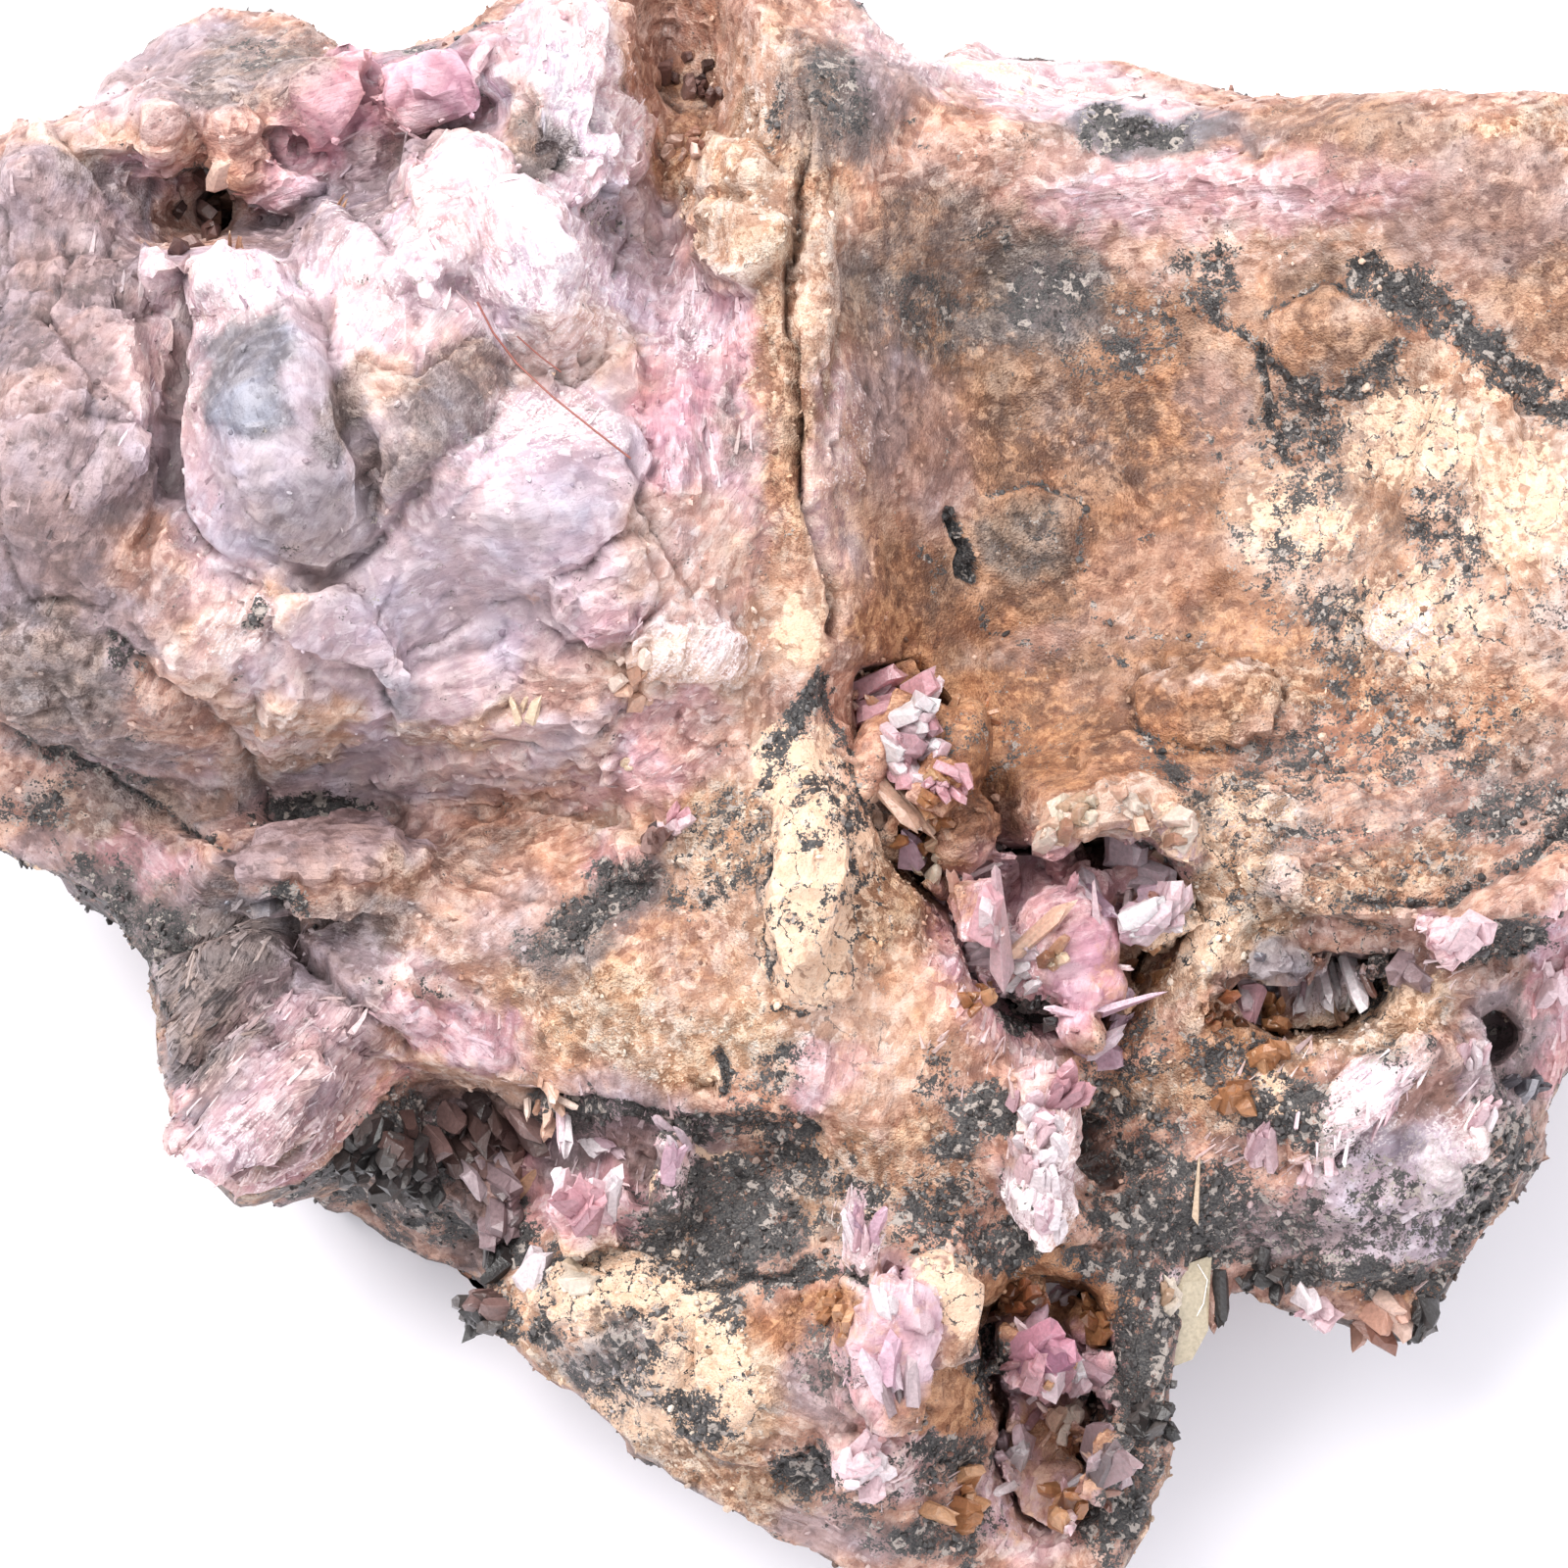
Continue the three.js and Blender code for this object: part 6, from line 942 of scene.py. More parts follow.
@dataclass
class Cells:
    """The irregular cells around scattered seeds, for a set of points.

    Args:
        number: which cell each point is in.
        offset: from the cell's seed to the point.
    """

    number: np.ndarray
    offset: np.ndarray

    @classmethod
    def around(cls, points: np.ndarray, seed: int) -> "Cells":
        """Finds the cell of each point.

        Args:
            points: one row of three for each point, with seeds about one unit apart.
            seed: which seeds to use.

        Returns:
            The cells.
        """
        base = np.floor(points).astype(np.int64)
        nearest = np.full(len(points), 1e9)
        number = np.zeros(len(points), np.int64)
        offset = np.zeros(points.shape)
        for corner in range(27):
            cell = base + np.array([corner % 3 - 1, corner // 3 % 3 - 1, corner // 9 - 1])
            spot = cell + np.stack([lattice(cell, seed + k) for k in range(3)], axis=1)
            away = points - spot
            far = np.einsum("ij,ij->i", away, away)
            closer = far < nearest
            nearest = np.where(closer, far, nearest)
            mixed = cell[:, 0] * 73856093 ^ cell[:, 1] * 19349663 ^ cell[:, 2] * 83492791
            number = np.where(closer, mixed, number)
            offset = np.where(closer[:, None], away, offset)
        return cls(number, offset)

    def draw(self, seed: int) -> np.ndarray:
        """Gives each point a number from 0 to 1 that its whole cell shares."""
        low, high = self.number & 0xFFFFF, (self.number >> 20) & 0xFFFFF
        return lattice(np.stack([low, high, self.number * 0], axis=1), seed)

    def facets(self, seed: int) -> np.ndarray:
        """Gives the height of a slanting facet for each cell, about from -1 to 1."""
        slopes = np.stack([self.draw(seed + k) - 0.5 for k in range(3)], axis=1)
        return 1.2 * (self.draw(seed + 3) - 0.5) + 1.6 * np.einsum("ij,ij->i", slopes, self.offset)


class Drawing:
    """The drawing of the face, and where points of the specimen lie on it."""

    @staticmethod
    def place(points: np.ndarray) -> np.ndarray:
        """Finds points on the drawing.

        Args:
            points: places in the frame, in mm.

        Returns:
            x and y on the drawing for each point.
        """
        across = points[:, 0] + FACE_OFFSET[0]
        up = (points[:, 1] + FACE_OFFSET[1]) * math.sin(VIEW_ELEVATION)
        up = up + (points[:, 2] - FACE_LEVEL) * math.cos(VIEW_ELEVATION)
        return DRAWING_MIDDLE + np.stack([across, -up], axis=1) / DRAWING_UNIT

    @staticmethod
    def lift(x: float, y: float, height: float) -> np.ndarray:
        """Gives the place in mm that is seen at x and y on the drawing, at a height towards the eye."""
        flat = ((x - DRAWING_MIDDLE) * RIGHT - (y - DRAWING_MIDDLE) * UP) * DRAWING_UNIT
        return DRAWING_HOME + flat + EYE * (height - DRAWING_HOME @ EYE)

    @staticmethod
    def inside(places: np.ndarray, oval: tuple) -> np.ndarray:
        """Tells how far out in an oval each place is: 0 in its middle, 1 on its edge.

        Args:
            places: x and y on the drawing.
            oval: x, y, half width, half height and turn.

        Returns:
            One number for each place.
        """
        x, y, wide, high, turn = oval
        angle = math.radians(turn)
        right, front = places[:, 0] - x, places[:, 1] - y
        along = right * math.cos(angle) - front * math.sin(angle)
        across = right * math.sin(angle) + front * math.cos(angle)
        return np.hypot(along / wide, across / high)

    @staticmethod
    def from_line(places: np.ndarray, line: list) -> np.ndarray:
        """Gives the distance of each place from a line of points.

        Args:
            places: x and y on the drawing.
            line: the line's points.

        Returns:
            One distance for each place.
        """
        nearest = np.full(len(places), 1e9)
        for start, end in zip(np.array(line[:-1], float), np.array(line[1:], float)):
            way = end - start
            share = np.clip((places - start) @ way / (way @ way), 0, 1)
            nearest = np.minimum(nearest, np.linalg.norm(places - start - share[:, None] * way, axis=1))
        return nearest

    @classmethod
    def cover(cls, places: np.ndarray, rows: list) -> np.ndarray:
        """Gives how strongly a list of ovals covers each place.

        Args:
            places: x and y on the drawing.
            rows: x, y, half width, half height, turn and strength of each oval.

        Returns:
            One number from 0 to 1 for each place.
        """
        most = np.zeros(len(places))
        for *oval, strength in rows:
            most = np.maximum(most, strength * fade(cls.inside(places, tuple(oval)), 1.35, 0.45))
        return most

    @classmethod
    def depth_inside(cls, places: np.ndarray, corners: list) -> np.ndarray:
        """Gives how far inside a closed outline each place is, negative outside.

        Args:
            places: x and y on the drawing.
            corners: the outline's corners.

        Returns:
            One distance for each place.
        """
        away = cls.from_line(places, corners + corners[:1])
        inside = np.zeros(len(places), bool)
        for (x1, y1), (x2, y2) in zip(corners, corners[1:] + corners[:1]):
            between = (places[:, 1] < y1) != (places[:, 1] < y2)
            crossing = x1 + (places[:, 1] - y1) * (x2 - x1) / ((y2 - y1) or 1e-9)
            inside ^= between & (places[:, 0] < crossing)
        return np.where(inside, away, -away)


def deselect() -> None:
    """Leaves object mode and selects nothing."""
    if bpy.context.mode != "OBJECT":
        bpy.ops.object.mode_set(mode="OBJECT")
    bpy.ops.object.select_all(action="DESELECT")


def make_active(piece: bpy.types.Object) -> None:
    """Selects one piece alone and makes it the active one."""
    deselect()
    piece.select_set(True)
    bpy.context.view_layer.objects.active = piece


def read_points(mesh: bpy.types.Mesh) -> tuple[np.ndarray, np.ndarray]:
    """Reads a mesh's points.

    Args:
        mesh: the mesh.

    Returns:
        The points' places in mm, and their normals.
    """
    count = len(mesh.vertices)
    places = np.zeros(count * 3, np.float32)
    mesh.vertices.foreach_get("co", places)
    normals = np.zeros(count * 3, np.float32)
    mesh.vertices.foreach_get("normal", normals)
    return places.reshape(-1, 3).astype(float) / MM, normals.reshape(-1, 3).astype(float)


def write_points(mesh: bpy.types.Mesh, places: np.ndarray) -> None:
    """Moves a mesh's points to the given places in mm."""
    mesh.vertices.foreach_set("co", (places * MM).astype(np.float32).ravel())
    mesh.update()


def along_axes(places: np.ndarray, axes: tuple[np.ndarray, ...]) -> np.ndarray:
    """Measures each place along three directions of its own."""
    return np.stack([np.einsum("ij,ij->i", places, axis) for axis in axes], axis=1)


def add_attribute(mesh: bpy.types.Mesh, name: str, kind: str, domain: str, values: np.ndarray) -> None:
    """Stores values on a mesh.

    Args:
        mesh: the mesh.
        name: the attribute's name.
        kind: FLOAT_COLOR or FLOAT_VECTOR.
        domain: POINT or CORNER.
        values: one row for each point or corner, for a colour three or four numbers long.
    """
    attribute = mesh.attributes.new(name, kind, domain)
    if kind == "FLOAT_COLOR":
        full = np.ones((len(values), 4), np.float32)
        full[:, : values.shape[1]] = values
        attribute.data.foreach_set("color", full.ravel())
    else:
        attribute.data.foreach_set("vector", values.astype(np.float32).ravel())


Feed = bpy.types.NodeSocket | float | tuple  # what a node's input may be given


class NodeBench:
    """Builds a material's nodes."""

    def __init__(self, name: str) -> None:
        """Starts a material with one principled shader."""
        self.material = bpy.data.materials.new(name)
        self.material.use_nodes = True
        self.tree = self.material.node_tree
        self.shader = next(node for node in self.tree.nodes if node.type == "BSDF_PRINCIPLED")

    def node(self, kind: str, settings: dict | None = None, **inputs: Feed) -> bpy.types.Node:
        """Adds a node.

        Args:
            kind: the node's type.
            settings: properties to set on it.
            inputs: values or sockets for its inputs, by name with _ for a space, or by number after an i.

        Returns:
            The node.
        """
        made = self.tree.nodes.new(kind)
        for key, value in (settings or {}).items():
            setattr(made, key, value)
        for key, value in inputs.items():
            by_number = key[0] == "i" and key[1:].isdigit()
            self.feed(made.inputs[int(key[1:]) if by_number else key.replace("_", " ")], value)
        return made

    def feed(self, socket: bpy.types.NodeSocket, value: Feed) -> None:
        """Links a socket to another, or sets its value."""
        if isinstance(value, bpy.types.NodeSocket):
            self.tree.links.new(value, socket)
        else:
            socket.default_value = value

    def math(
        self, operation: str, first: Feed, second: Feed = 0.0, third: Feed = 0.0
    ) -> bpy.types.NodeSocket:
        """Adds a Math node and gives its output."""
        return self.node("ShaderNodeMath", {"operation": operation}, i0=first, i1=second, i2=third).outputs[0]

    def times(self, first: Feed, second: Feed) -> bpy.types.NodeSocket:
        """Multiplies two numbers."""
        return self.math("MULTIPLY", first, second)

    def minus(self, first: Feed, second: Feed) -> bpy.types.NodeSocket:
        """Takes the second number from the first."""
        return self.math("SUBTRACT", first, second)

    def add_share(self, value: Feed, share: Feed, base: Feed) -> bpy.types.NodeSocket:
        """Adds a share of a value to a base."""
        return self.math("MULTIPLY_ADD", value, share, base)

    def mix(self, factor: Feed, first: Feed, second: Feed, blend: str = "MIX") -> bpy.types.NodeSocket:
        """Adds a colour Mix node and gives its output."""
        made = self.node("ShaderNodeMix", {"data_type": "RGBA", "blend_type": blend})
        self.feed(made.inputs[0], factor)
        self.feed(made.inputs[6], first)
        self.feed(made.inputs[7], second)
        return made.outputs[2]

    def noise(self, vector: Feed, scale: float, detail: float, rough: float) -> bpy.types.NodeSocket:
        """Adds a Noise node and gives its number."""
        made = self.node("ShaderNodeTexNoise", Vector=vector, Scale=scale, Detail=detail, Roughness=rough)
        return made.outputs["Fac"]

    def stretch(self, vector: Feed, scale: tuple) -> bpy.types.NodeSocket:
        """Scales a vector by three numbers."""
        settings = {"operation": "MULTIPLY"}
        return self.node("ShaderNodeVectorMath", settings, i0=vector, i1=scale).outputs[0]

    def facets(self, vector: Feed) -> tuple[bpy.types.Node, bpy.types.NodeSocket]:
        """Parts a plane into cells, each with its own random numbers and a facet that tilts its own way."""
        minus = {"operation": "SUBTRACT"}
        dot = {"operation": "DOT_PRODUCT"}
        cells = self.node("ShaderNodeTexVoronoi", {"voronoi_dimensions": "2D"}, Vector=vector, Scale=1.0)
        inside = self.node("ShaderNodeVectorMath", minus, i0=vector, i1=cells.outputs["Position"])
        tilt = self.node("ShaderNodeVectorMath", minus, i0=cells.outputs["Color"], i1=(0.5, 0.5, 0.5))
        plane = self.node("ShaderNodeVectorMath", dot, i0=inside.outputs[0], i1=tilt.outputs[0])
        return self.parts(cells.outputs["Color"]), plane.outputs["Value"]

    def parts(self, socket: bpy.types.NodeSocket) -> bpy.types.Node:
        """Separates a colour into its three numbers."""
        return self.node("ShaderNodeSeparateColor", Color=socket)

    def ramp(
        self, value: Feed, low: float, high: float, start: float = 0.0, end: float = 1.0
    ) -> bpy.types.NodeSocket:
        """Maps low and high to start and end, clamped."""
        made = self.node("ShaderNodeMapRange", {"clamp": True}, Value=value)
        for key, number in (("From Min", low), ("From Max", high), ("To Min", start), ("To Max", end)):
            made.inputs[key].default_value = number
        return made.outputs[0]

    def attribute(self, name: str, output: str = "Color") -> bpy.types.NodeSocket:
        """Reads an attribute of the mesh."""
        return self.node("ShaderNodeAttribute", {"attribute_name": name}).outputs[output]

    def places(self) -> bpy.types.NodeSocket:
        """Gives object coordinates in mm."""
        coordinates = self.node("ShaderNodeTexCoord").outputs["Object"]
        return self.stretch(coordinates, (1 / MM,) * 3)


def colour(shown: str) -> tuple:
    """Turns six hexadecimal digits into linear red, green, blue and a full alpha."""
    return (*linear(shown).tolist(), 1.0)


@dataclass(frozen=True)
class RockFinish:
    """The surface of the rock: mixed grains, fibres, flakes, black crust and thin black cracks.

    Args:
        name: the material's name.
        black: colour of the black crust.
        black_light: colour of its palest specks.
        fleck: colour of the flecks on it.
        soot: colour of the soot around it.
        cream: colour of the cream crust.
        cream_light: colour of its palest grains.
        frost_and_highlight: colour of the white frosting and of the painted highlights.
        rust: darker colour of the stains.
        amber: lighter colour of the stains.
        bump: height of the finest relief, in m.
    """

    name: str = "rock"
    black: str = "2b2a2c"
    black_light: str = "55514f"
    fleck: str = "a99e97"
    soot: str = "5d5150"
    cream: str = "cfa88c"
    cream_light: str = "e4c7af"
    frost_and_highlight: str = "f6e8ea"
    rust: str = "88563a"
    amber: str = "c9976f"
    bump: float = 0.00025

    def material(self) -> bpy.types.Material:
        """Builds the material."""
        rock = RockBench(self.name)
        tone, base = rock.grains()
        base = rock.stains(base, tone, colour(self.rust), colour(self.amber))
        base = rock.cream_crust(base, tone, colour(self.cream), colour(self.cream_light))
        base = rock.lay_frost_and_highlight(base, colour(self.frost_and_highlight))
        line = rock.cracks()
        base = rock.seams(base)
        base, crust = rock.sooty(base, colour(self.soot))
        black = rock.black_tones(colour(self.black), colour(self.black_light), colour(self.fleck))
        base = rock.mix(rock.math("MAXIMUM", line, crust), base, black)
        rock.feed(rock.shader.inputs["Base Color"], base)
        rock.feed(rock.shader.inputs["Roughness"], rock.roughness())
        rock.feed(rock.shader.inputs["Normal"], rock.relief(self.bump))
        rock.shader.inputs["Specular IOR Level"].default_value = 0.45
        return rock.material


class RockBench(NodeBench):
    """The nodes of the rock: what they read, their noises, and its layers from the bottom up."""

    def __init__(self, name: str) -> None:
        """Starts the material and reads what the skin has stored."""
        super().__init__(name)
        self.spot = self.places()
        self.tint, self.streaky = self.attribute("tint"), self.attribute("tint", "Alpha")
        self.light, self.busy = self.attribute("light"), self.attribute("light", "Alpha")
        self.dark, self.gloss = self.attribute("dark"), self.attribute("dark", "Alpha")
        self.black, self.crackle, self.frost_and_highlight = self.parts(self.attribute("marks")).outputs
        self.stain = self.attribute("marks", "Alpha")
        self.cream, self.soot, self.flaky = self.parts(self.attribute("crusts")).outputs
        self.add_noises()

    def add_noises(self) -> None:
        """Adds the noises that the layers share, each from about -0.5 to 0.5."""
        flow = self.attribute("flow", "Vector")
        self.mottle = self.minus(self.noise(self.spot, 2.4, 3, 0.65), 0.5)
        self.broad = self.minus(self.noise(self.spot, 0.8, 4, 0.7), 0.5)
        self.speck = self.minus(self.noise(self.spot, 9.0, 1, 0.6), 0.5)
        self.streak = self.minus(self.noise(self.stretch(flow, (0.6, 6.5, 3.0)), 1.0, 3, 0.6), 0.5)
        chips, self.facet = self.facets(self.stretch(flow, (1.3, 3.0, 0.0)))
        self.chips = [self.minus(number, 0.5) for number in chips.outputs]
        grains = self.node("ShaderNodeTexVoronoi", Vector=self.spot, Scale=2.3)
        self.grain = [self.minus(number, 0.5) for number in self.parts(grains.outputs["Color"]).outputs]
        self.gritty = self.math("POWER", self.busy, 3.0)

    def grains(self) -> tuple[bpy.types.NodeSocket, bpy.types.NodeSocket]:
        """Mixes pale and dark grains, and gives how pale they are with the colour."""
        tone = self.times(self.times(self.mottle, 3.4), self.busy)
        tone = self.add_share(self.times(self.speck, 2.6), self.gritty, tone)
        tone = self.add_share(self.times(self.streak, 3.0), self.streaky, tone)
        tone = self.add_share(self.chips[0], self.times(self.flaky, 2.0), tone)
        tone = self.add_share(self.grain[0], self.busy, tone)
        base = self.mix(self.ramp(tone, 0.05, 0.75), self.tint, self.light)
        return tone, self.mix(self.ramp(tone, -0.05, -0.75), base, self.dark)

    def stains(self, base: Feed, tone: Feed, rust: tuple, amber: tuple) -> bpy.types.NodeSocket:
        """Lays rusty stains over the grains."""
        stained = self.add_share(self.broad, -2.2, self.stain)
        stained = self.add_share(self.mottle, 0.8, stained)
        rusty = self.mix(self.ramp(tone, -0.5, 0.6), rust, amber)
        return self.mix(self.ramp(stained, 0.4, 0.9, 0.0, 0.62), base, rusty)

    def cream_crust(self, base: Feed, tone: Feed, cream: tuple, light: tuple) -> bpy.types.NodeSocket:
        """Lays the cream crust over them."""
        creamy = self.add_share(self.mottle, 1.1, self.cream)
        creamy = self.add_share(self.grain[1], 0.3, creamy)
        pale = self.mix(self.ramp(tone, -0.9, 0.7), cream, light)
        return self.mix(self.ramp(creamy, 0.46, 0.56, 0.0, 0.9), base, pale)

    def lay_frost_and_highlight(self, base: Feed, white: tuple) -> bpy.types.NodeSocket:
        """Lays the white frosting and the painted highlights over them."""
        frost_highlight_share = self.math("ADD", self.frost_and_highlight, self.times(self.math("ADD", self.streak, self.speck), 1.1))
        return self.mix(self.ramp(frost_highlight_share, 0.5, 0.8, 0.0, 0.75), base, white)

    def cracks(self) -> bpy.types.NodeSocket:
        """Gives where the thin black cracks run."""
        warp = self.node("ShaderNodeCombineXYZ", X=self.mottle, Y=self.broad, Z=self.speck).outputs[0]
        add = {"operation": "MULTIPLY_ADD"}
        warped = self.node("ShaderNodeVectorMath", add, i0=warp, i1=(0.9, 1.6, 0.5), i2=self.spot)
        edges = {"feature": "DISTANCE_TO_EDGE", "voronoi_dimensions": "2D"}
        net = self.node("ShaderNodeTexVoronoi", edges, Vector=warped.outputs[0], Scale=0.8)
        thick = self.ramp(self.add_share(self.broad, 0.6, self.mottle), -0.14, 0.24, -0.015, 0.075)
        on_line = self.math("LESS_THAN", net.outputs["Distance"], thick)
        return self.times(on_line, self.ramp(self.crackle, 0.25, 0.5))

    def seams(self, base: Feed) -> bpy.types.NodeSocket:
        """Draws fine dark seams between the grains."""
        seam = self.math("ABSOLUTE", self.add_share(self.grain[0], 0.06, self.mottle))
        broken = self.ramp(self.math("ADD", self.broad, self.speck), -0.05, 0.1)
        seam = self.times(self.ramp(seam, 0.035, 0.0), broken)
        murky = self.mix(1.0, self.dark, (0.5, 0.47, 0.45, 1), "MULTIPLY")
        return self.mix(self.times(seam, self.times(self.busy, 0.75)), base, murky)

    def sooty(self, base: Feed, soot: tuple) -> tuple[bpy.types.NodeSocket, bpy.types.NodeSocket]:
        """Darkens with soot, and gives with the colour where the black crust lies."""
        ragged = self.add_share(self.broad, 1.7, self.black)
        ragged = self.add_share(self.mottle, 1.2, ragged)
        ragged = self.add_share(self.speck, 1.3, ragged)
        ragged = self.add_share(self.chips[1], 0.25, ragged)
        dust = self.add_share(self.streak, 1.2, self.soot)
        dust = self.add_share(self.broad, 1.4, dust)
        dust = self.add_share(self.speck, 0.5, dust)
        edge = self.ramp(ragged, 0.38, 0.6, 0.0, 0.45)
        share = self.math("MAXIMUM", edge, self.ramp(dust, 0.35, 0.75, 0.0, 0.6))
        return self.mix(share, base, soot), self.ramp(ragged, 0.54, 0.62)

    def black_tones(self, black: tuple, light: tuple, fleck: tuple) -> bpy.types.NodeSocket:
        """Gives the speckled colour of the black crust."""
        tone = self.mix(self.ramp(self.speck, -0.1, 0.2), black, light)
        flecked = self.add_share(self.grain[2], 0.5, self.mottle)
        flecked = self.add_share(self.frost_and_highlight, 0.25, flecked)
        return self.mix(self.ramp(flecked, 0.18, 0.25, 0.0, 0.85), tone, fleck)

    def relief(self, distance: float) -> bpy.types.NodeSocket:
        """Gives the normal of the finest relief: chips, fibres and grit."""
        fibres = self.times(self.streak, self.streaky)
        height = self.add_share(self.facet, self.add_share(self.flaky, 2.0, 0.1), fibres)
        height = self.add_share(self.speck, self.add_share(self.gritty, 0.9, 0.03), height)
        return self.node("ShaderNodeBump", Height=height, Strength=0.9, Distance=distance).outputs[0]

    def roughness(self) -> bpy.types.NodeSocket:
        """Gives the roughness, a little different for each chip."""
        return self.add_share(self.chips[2], 0.25, self.add_share(self.gloss, -0.5, 0.82))


@dataclass(frozen=True)
class CrystalFinish:
    """Small crystals and crumbs, each with its own tint.

    Args:
        name: the material's name.
        rough: how rough they are.
        clear: how much light goes through them.
        glow: how much light spreads in them.
    """

    name: str
    rough: float = 0.5
    clear: float = 0.0
    glow: float = 0.0

    def material(self) -> bpy.types.Material:
        """Builds the material."""
        bench = NodeBench(self.name)
        places = bench.places()
        speck = bench.noise(places, 6.0, 2, 0.6)
        tone = bench.ramp(speck, 0.3, 0.7, 0.82, 1.15)
        shade = bench.node("ShaderNodeCombineColor", Red=tone, Green=tone, Blue=tone).outputs[0]
        base = bench.mix(1.0, bench.attribute("tint"), shade, "MULTIPLY")
        bump = bench.node("ShaderNodeBump", Height=speck, Strength=0.4, Distance=0.0001)
        bench.feed(bench.shader.inputs["Base Color"], base)
        bench.feed(bench.shader.inputs["Normal"], bump.outputs[0])
        bench.shader.inputs["Roughness"].default_value = self.rough
        bench.shader.inputs["IOR"].default_value = 1.6
        bench.shader.inputs["Transmission Weight"].default_value = self.clear
        if self.glow:
            bench.shader.inputs["Subsurface Weight"].default_value = self.glow
            bench.shader.inputs["Subsurface Scale"].default_value = 0.0012
            bench.shader.inputs["Subsurface Radius"].default_value = (1.0, 0.55, 0.6)
        return bench.material


@dataclass
class Surface:
    """What the small pieces need to know about a finished skin.

    Args:
        places: places of its points in mm.
        normals: their normals.
        sheet: where they lie on the drawing.
        tones: their colour, light and dark colour.
        traits: chunk, grain, streak, busy and gloss.
        along: which way their fibres run.
        black: how black they are.
        face: 1 on the face and 0 on the walls.
    """

    places: np.ndarray
    normals: np.ndarray
    sheet: np.ndarray
    tones: np.ndarray
    traits: np.ndarray
    along: np.ndarray
    black: np.ndarray
    face: np.ndarray

    def near(self, x: float, y: float, reach: float = 10) -> np.ndarray:
        """Gives the numbers of the points around a place on the drawing that can be seen from the front.

        Args:
            x: the place on the drawing.
            y: the place on the drawing.
            reach: how far around it to look.

        Returns:
            The points' numbers.
        """
        away = np.hypot(self.sheet[:, 0] - x, self.sheet[:, 1] - y)
        found = np.flatnonzero((away < reach) & (self.normals[:, 2] > FACES_AWAY))
        if not len(found):
            found = np.argsort(away)[:3]
        height = self.places[found] @ EYE
        return found[height > height.max() - HIDDEN_DEPTH]


@dataclass
class Skin:
    """A fine skin over one of the plain solids, carved and painted by the drawing.

    Args:
        node: the plain solid.
        name: the piece's name.
        slot: the material slot meant for it; not used.
        voxel: size of the skin's first squares, in mm.
        split: whether the squares of the face are cut in four.
        most: how many triangles it may have.
        walls: whether its sides have the dark rock of the walls.
        finish: its surface.
        sheaf: size of a sheaf of fibres, in mm.
        lumps: lumps grown together with the solid: shape, x, y, rise over it, length, width, height, turn.
    """

    node: str
    name: str
    slot: str
    voxel: float
    split: bool
    most: int
    walls: bool = True
    finish: RockFinish = RockFinish()
    sheaf: float = 2.4
    lumps: tuple = ()

    def build(self) -> Surface:
        """Makes the skin, dresses it and puts it in place of the plain solid.

        Returns:
            The finished surface.
        """
        piece = self.fine_copy()
        self.carve(piece.data)
        self.thin(piece)
        surface = self.paint(piece.data)
        piece.data.materials.clear()
        piece.data.materials.append(self.finish.material())
        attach(piece, "root")
        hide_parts(self.node)
        log.info("%s: %d faces", self.name, len(piece.data.polygons))
        return surface

    def fine_copy(self) -> bpy.types.Object:
        """Copies the plain solid and gives it a fine, even skin, finest on the face."""
        node = frame["nodes"][self.node]
        piece = node.copy()
        piece.data = node.data.copy()
        piece.parent = None
        piece.name = self.name
        bpy.context.scene.collection.objects.link(piece)
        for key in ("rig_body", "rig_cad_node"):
            del piece[key]
        make_active(piece)
        bpy.ops.object.mode_set(mode="EDIT")
        bpy.ops.mesh.select_all(action="SELECT")
        bpy.ops.mesh.remove_doubles(threshold=SAME_PLACE * MM)
        bpy.ops.object.mode_set(mode="OBJECT")
        self.add_lumps(piece)
        remesh = piece.modifiers.new("even skin", "REMESH")
        remesh.mode = "VOXEL"
        remesh.voxel_size = self.voxel * MM
        bpy.ops.object.modifier_apply(modifier=remesh.name)
        if self.split:
            self.split_face(piece)
        return piece

    def add_lumps(self, piece: bpy.types.Object) -> None:
        """Joins the lumps to the solid, each set on the surface that the eye meets at its place."""
        places, normals = read_points(piece.data)
        sheet = Drawing.place(places)
        heights = places @ EYE
        for shape, x, y, rise, long, wide, high, turn in self.lumps:
            away = np.hypot(sheet[:, 0] - x, sheet[:, 1] - y)
            near = np.argsort(away)[:LUMP_POINTS]
            spot = Drawing.lift(x, y, heights[near].max() + rise)
            deselect()
            if shape == "block":
                bpy.ops.mesh.primitive_cube_add(size=1, location=Vector(spot) * MM)
            else:
                bpy.ops.mesh.primitive_ico_sphere_add(subdivisions=3, radius=0.5, location=Vector(spot) * MM)
            lump = bpy.context.object
            lump.scale = (long * MM, wide * MM, high * MM)
            lump.rotation_euler = (math.pi / 2 - VIEW_ELEVATION, 0, math.radians(turn))
            bpy.ops.object.transform_apply(location=False, rotation=True, scale=True)
            lump.select_set(True)
            piece.select_set(True)
            bpy.context.view_layer.objects.active = piece
            bpy.ops.object.join()
        make_active(piece)

    def split_face(self, piece: bpy.types.Object) -> None:
        """Cuts the squares of the face in four."""
        mesh = piece.data
        centres = np.zeros(len(mesh.polygons) * 3, np.float32)
        mesh.polygons.foreach_get("center", centres)
        normals = np.zeros(len(mesh.polygons) * 3, np.float32)
        mesh.polygons.foreach_get("normal", normals)
        chosen = (normals[2::3] > FACES_UP) & (centres[2::3] > FACE_FOOT * MM)
        make_active(piece)
        bpy.ops.object.mode_set(mode="EDIT")
        bpy.ops.mesh.select_mode(type="FACE")
        bpy.ops.mesh.select_all(action="DESELECT")
        bpy.ops.object.mode_set(mode="OBJECT")
        mesh.polygons.foreach_set("select", chosen)
        bpy.ops.object.mode_set(mode="EDIT")
        bpy.ops.mesh.subdivide(number_cuts=1)
        bpy.ops.object.mode_set(mode="OBJECT")

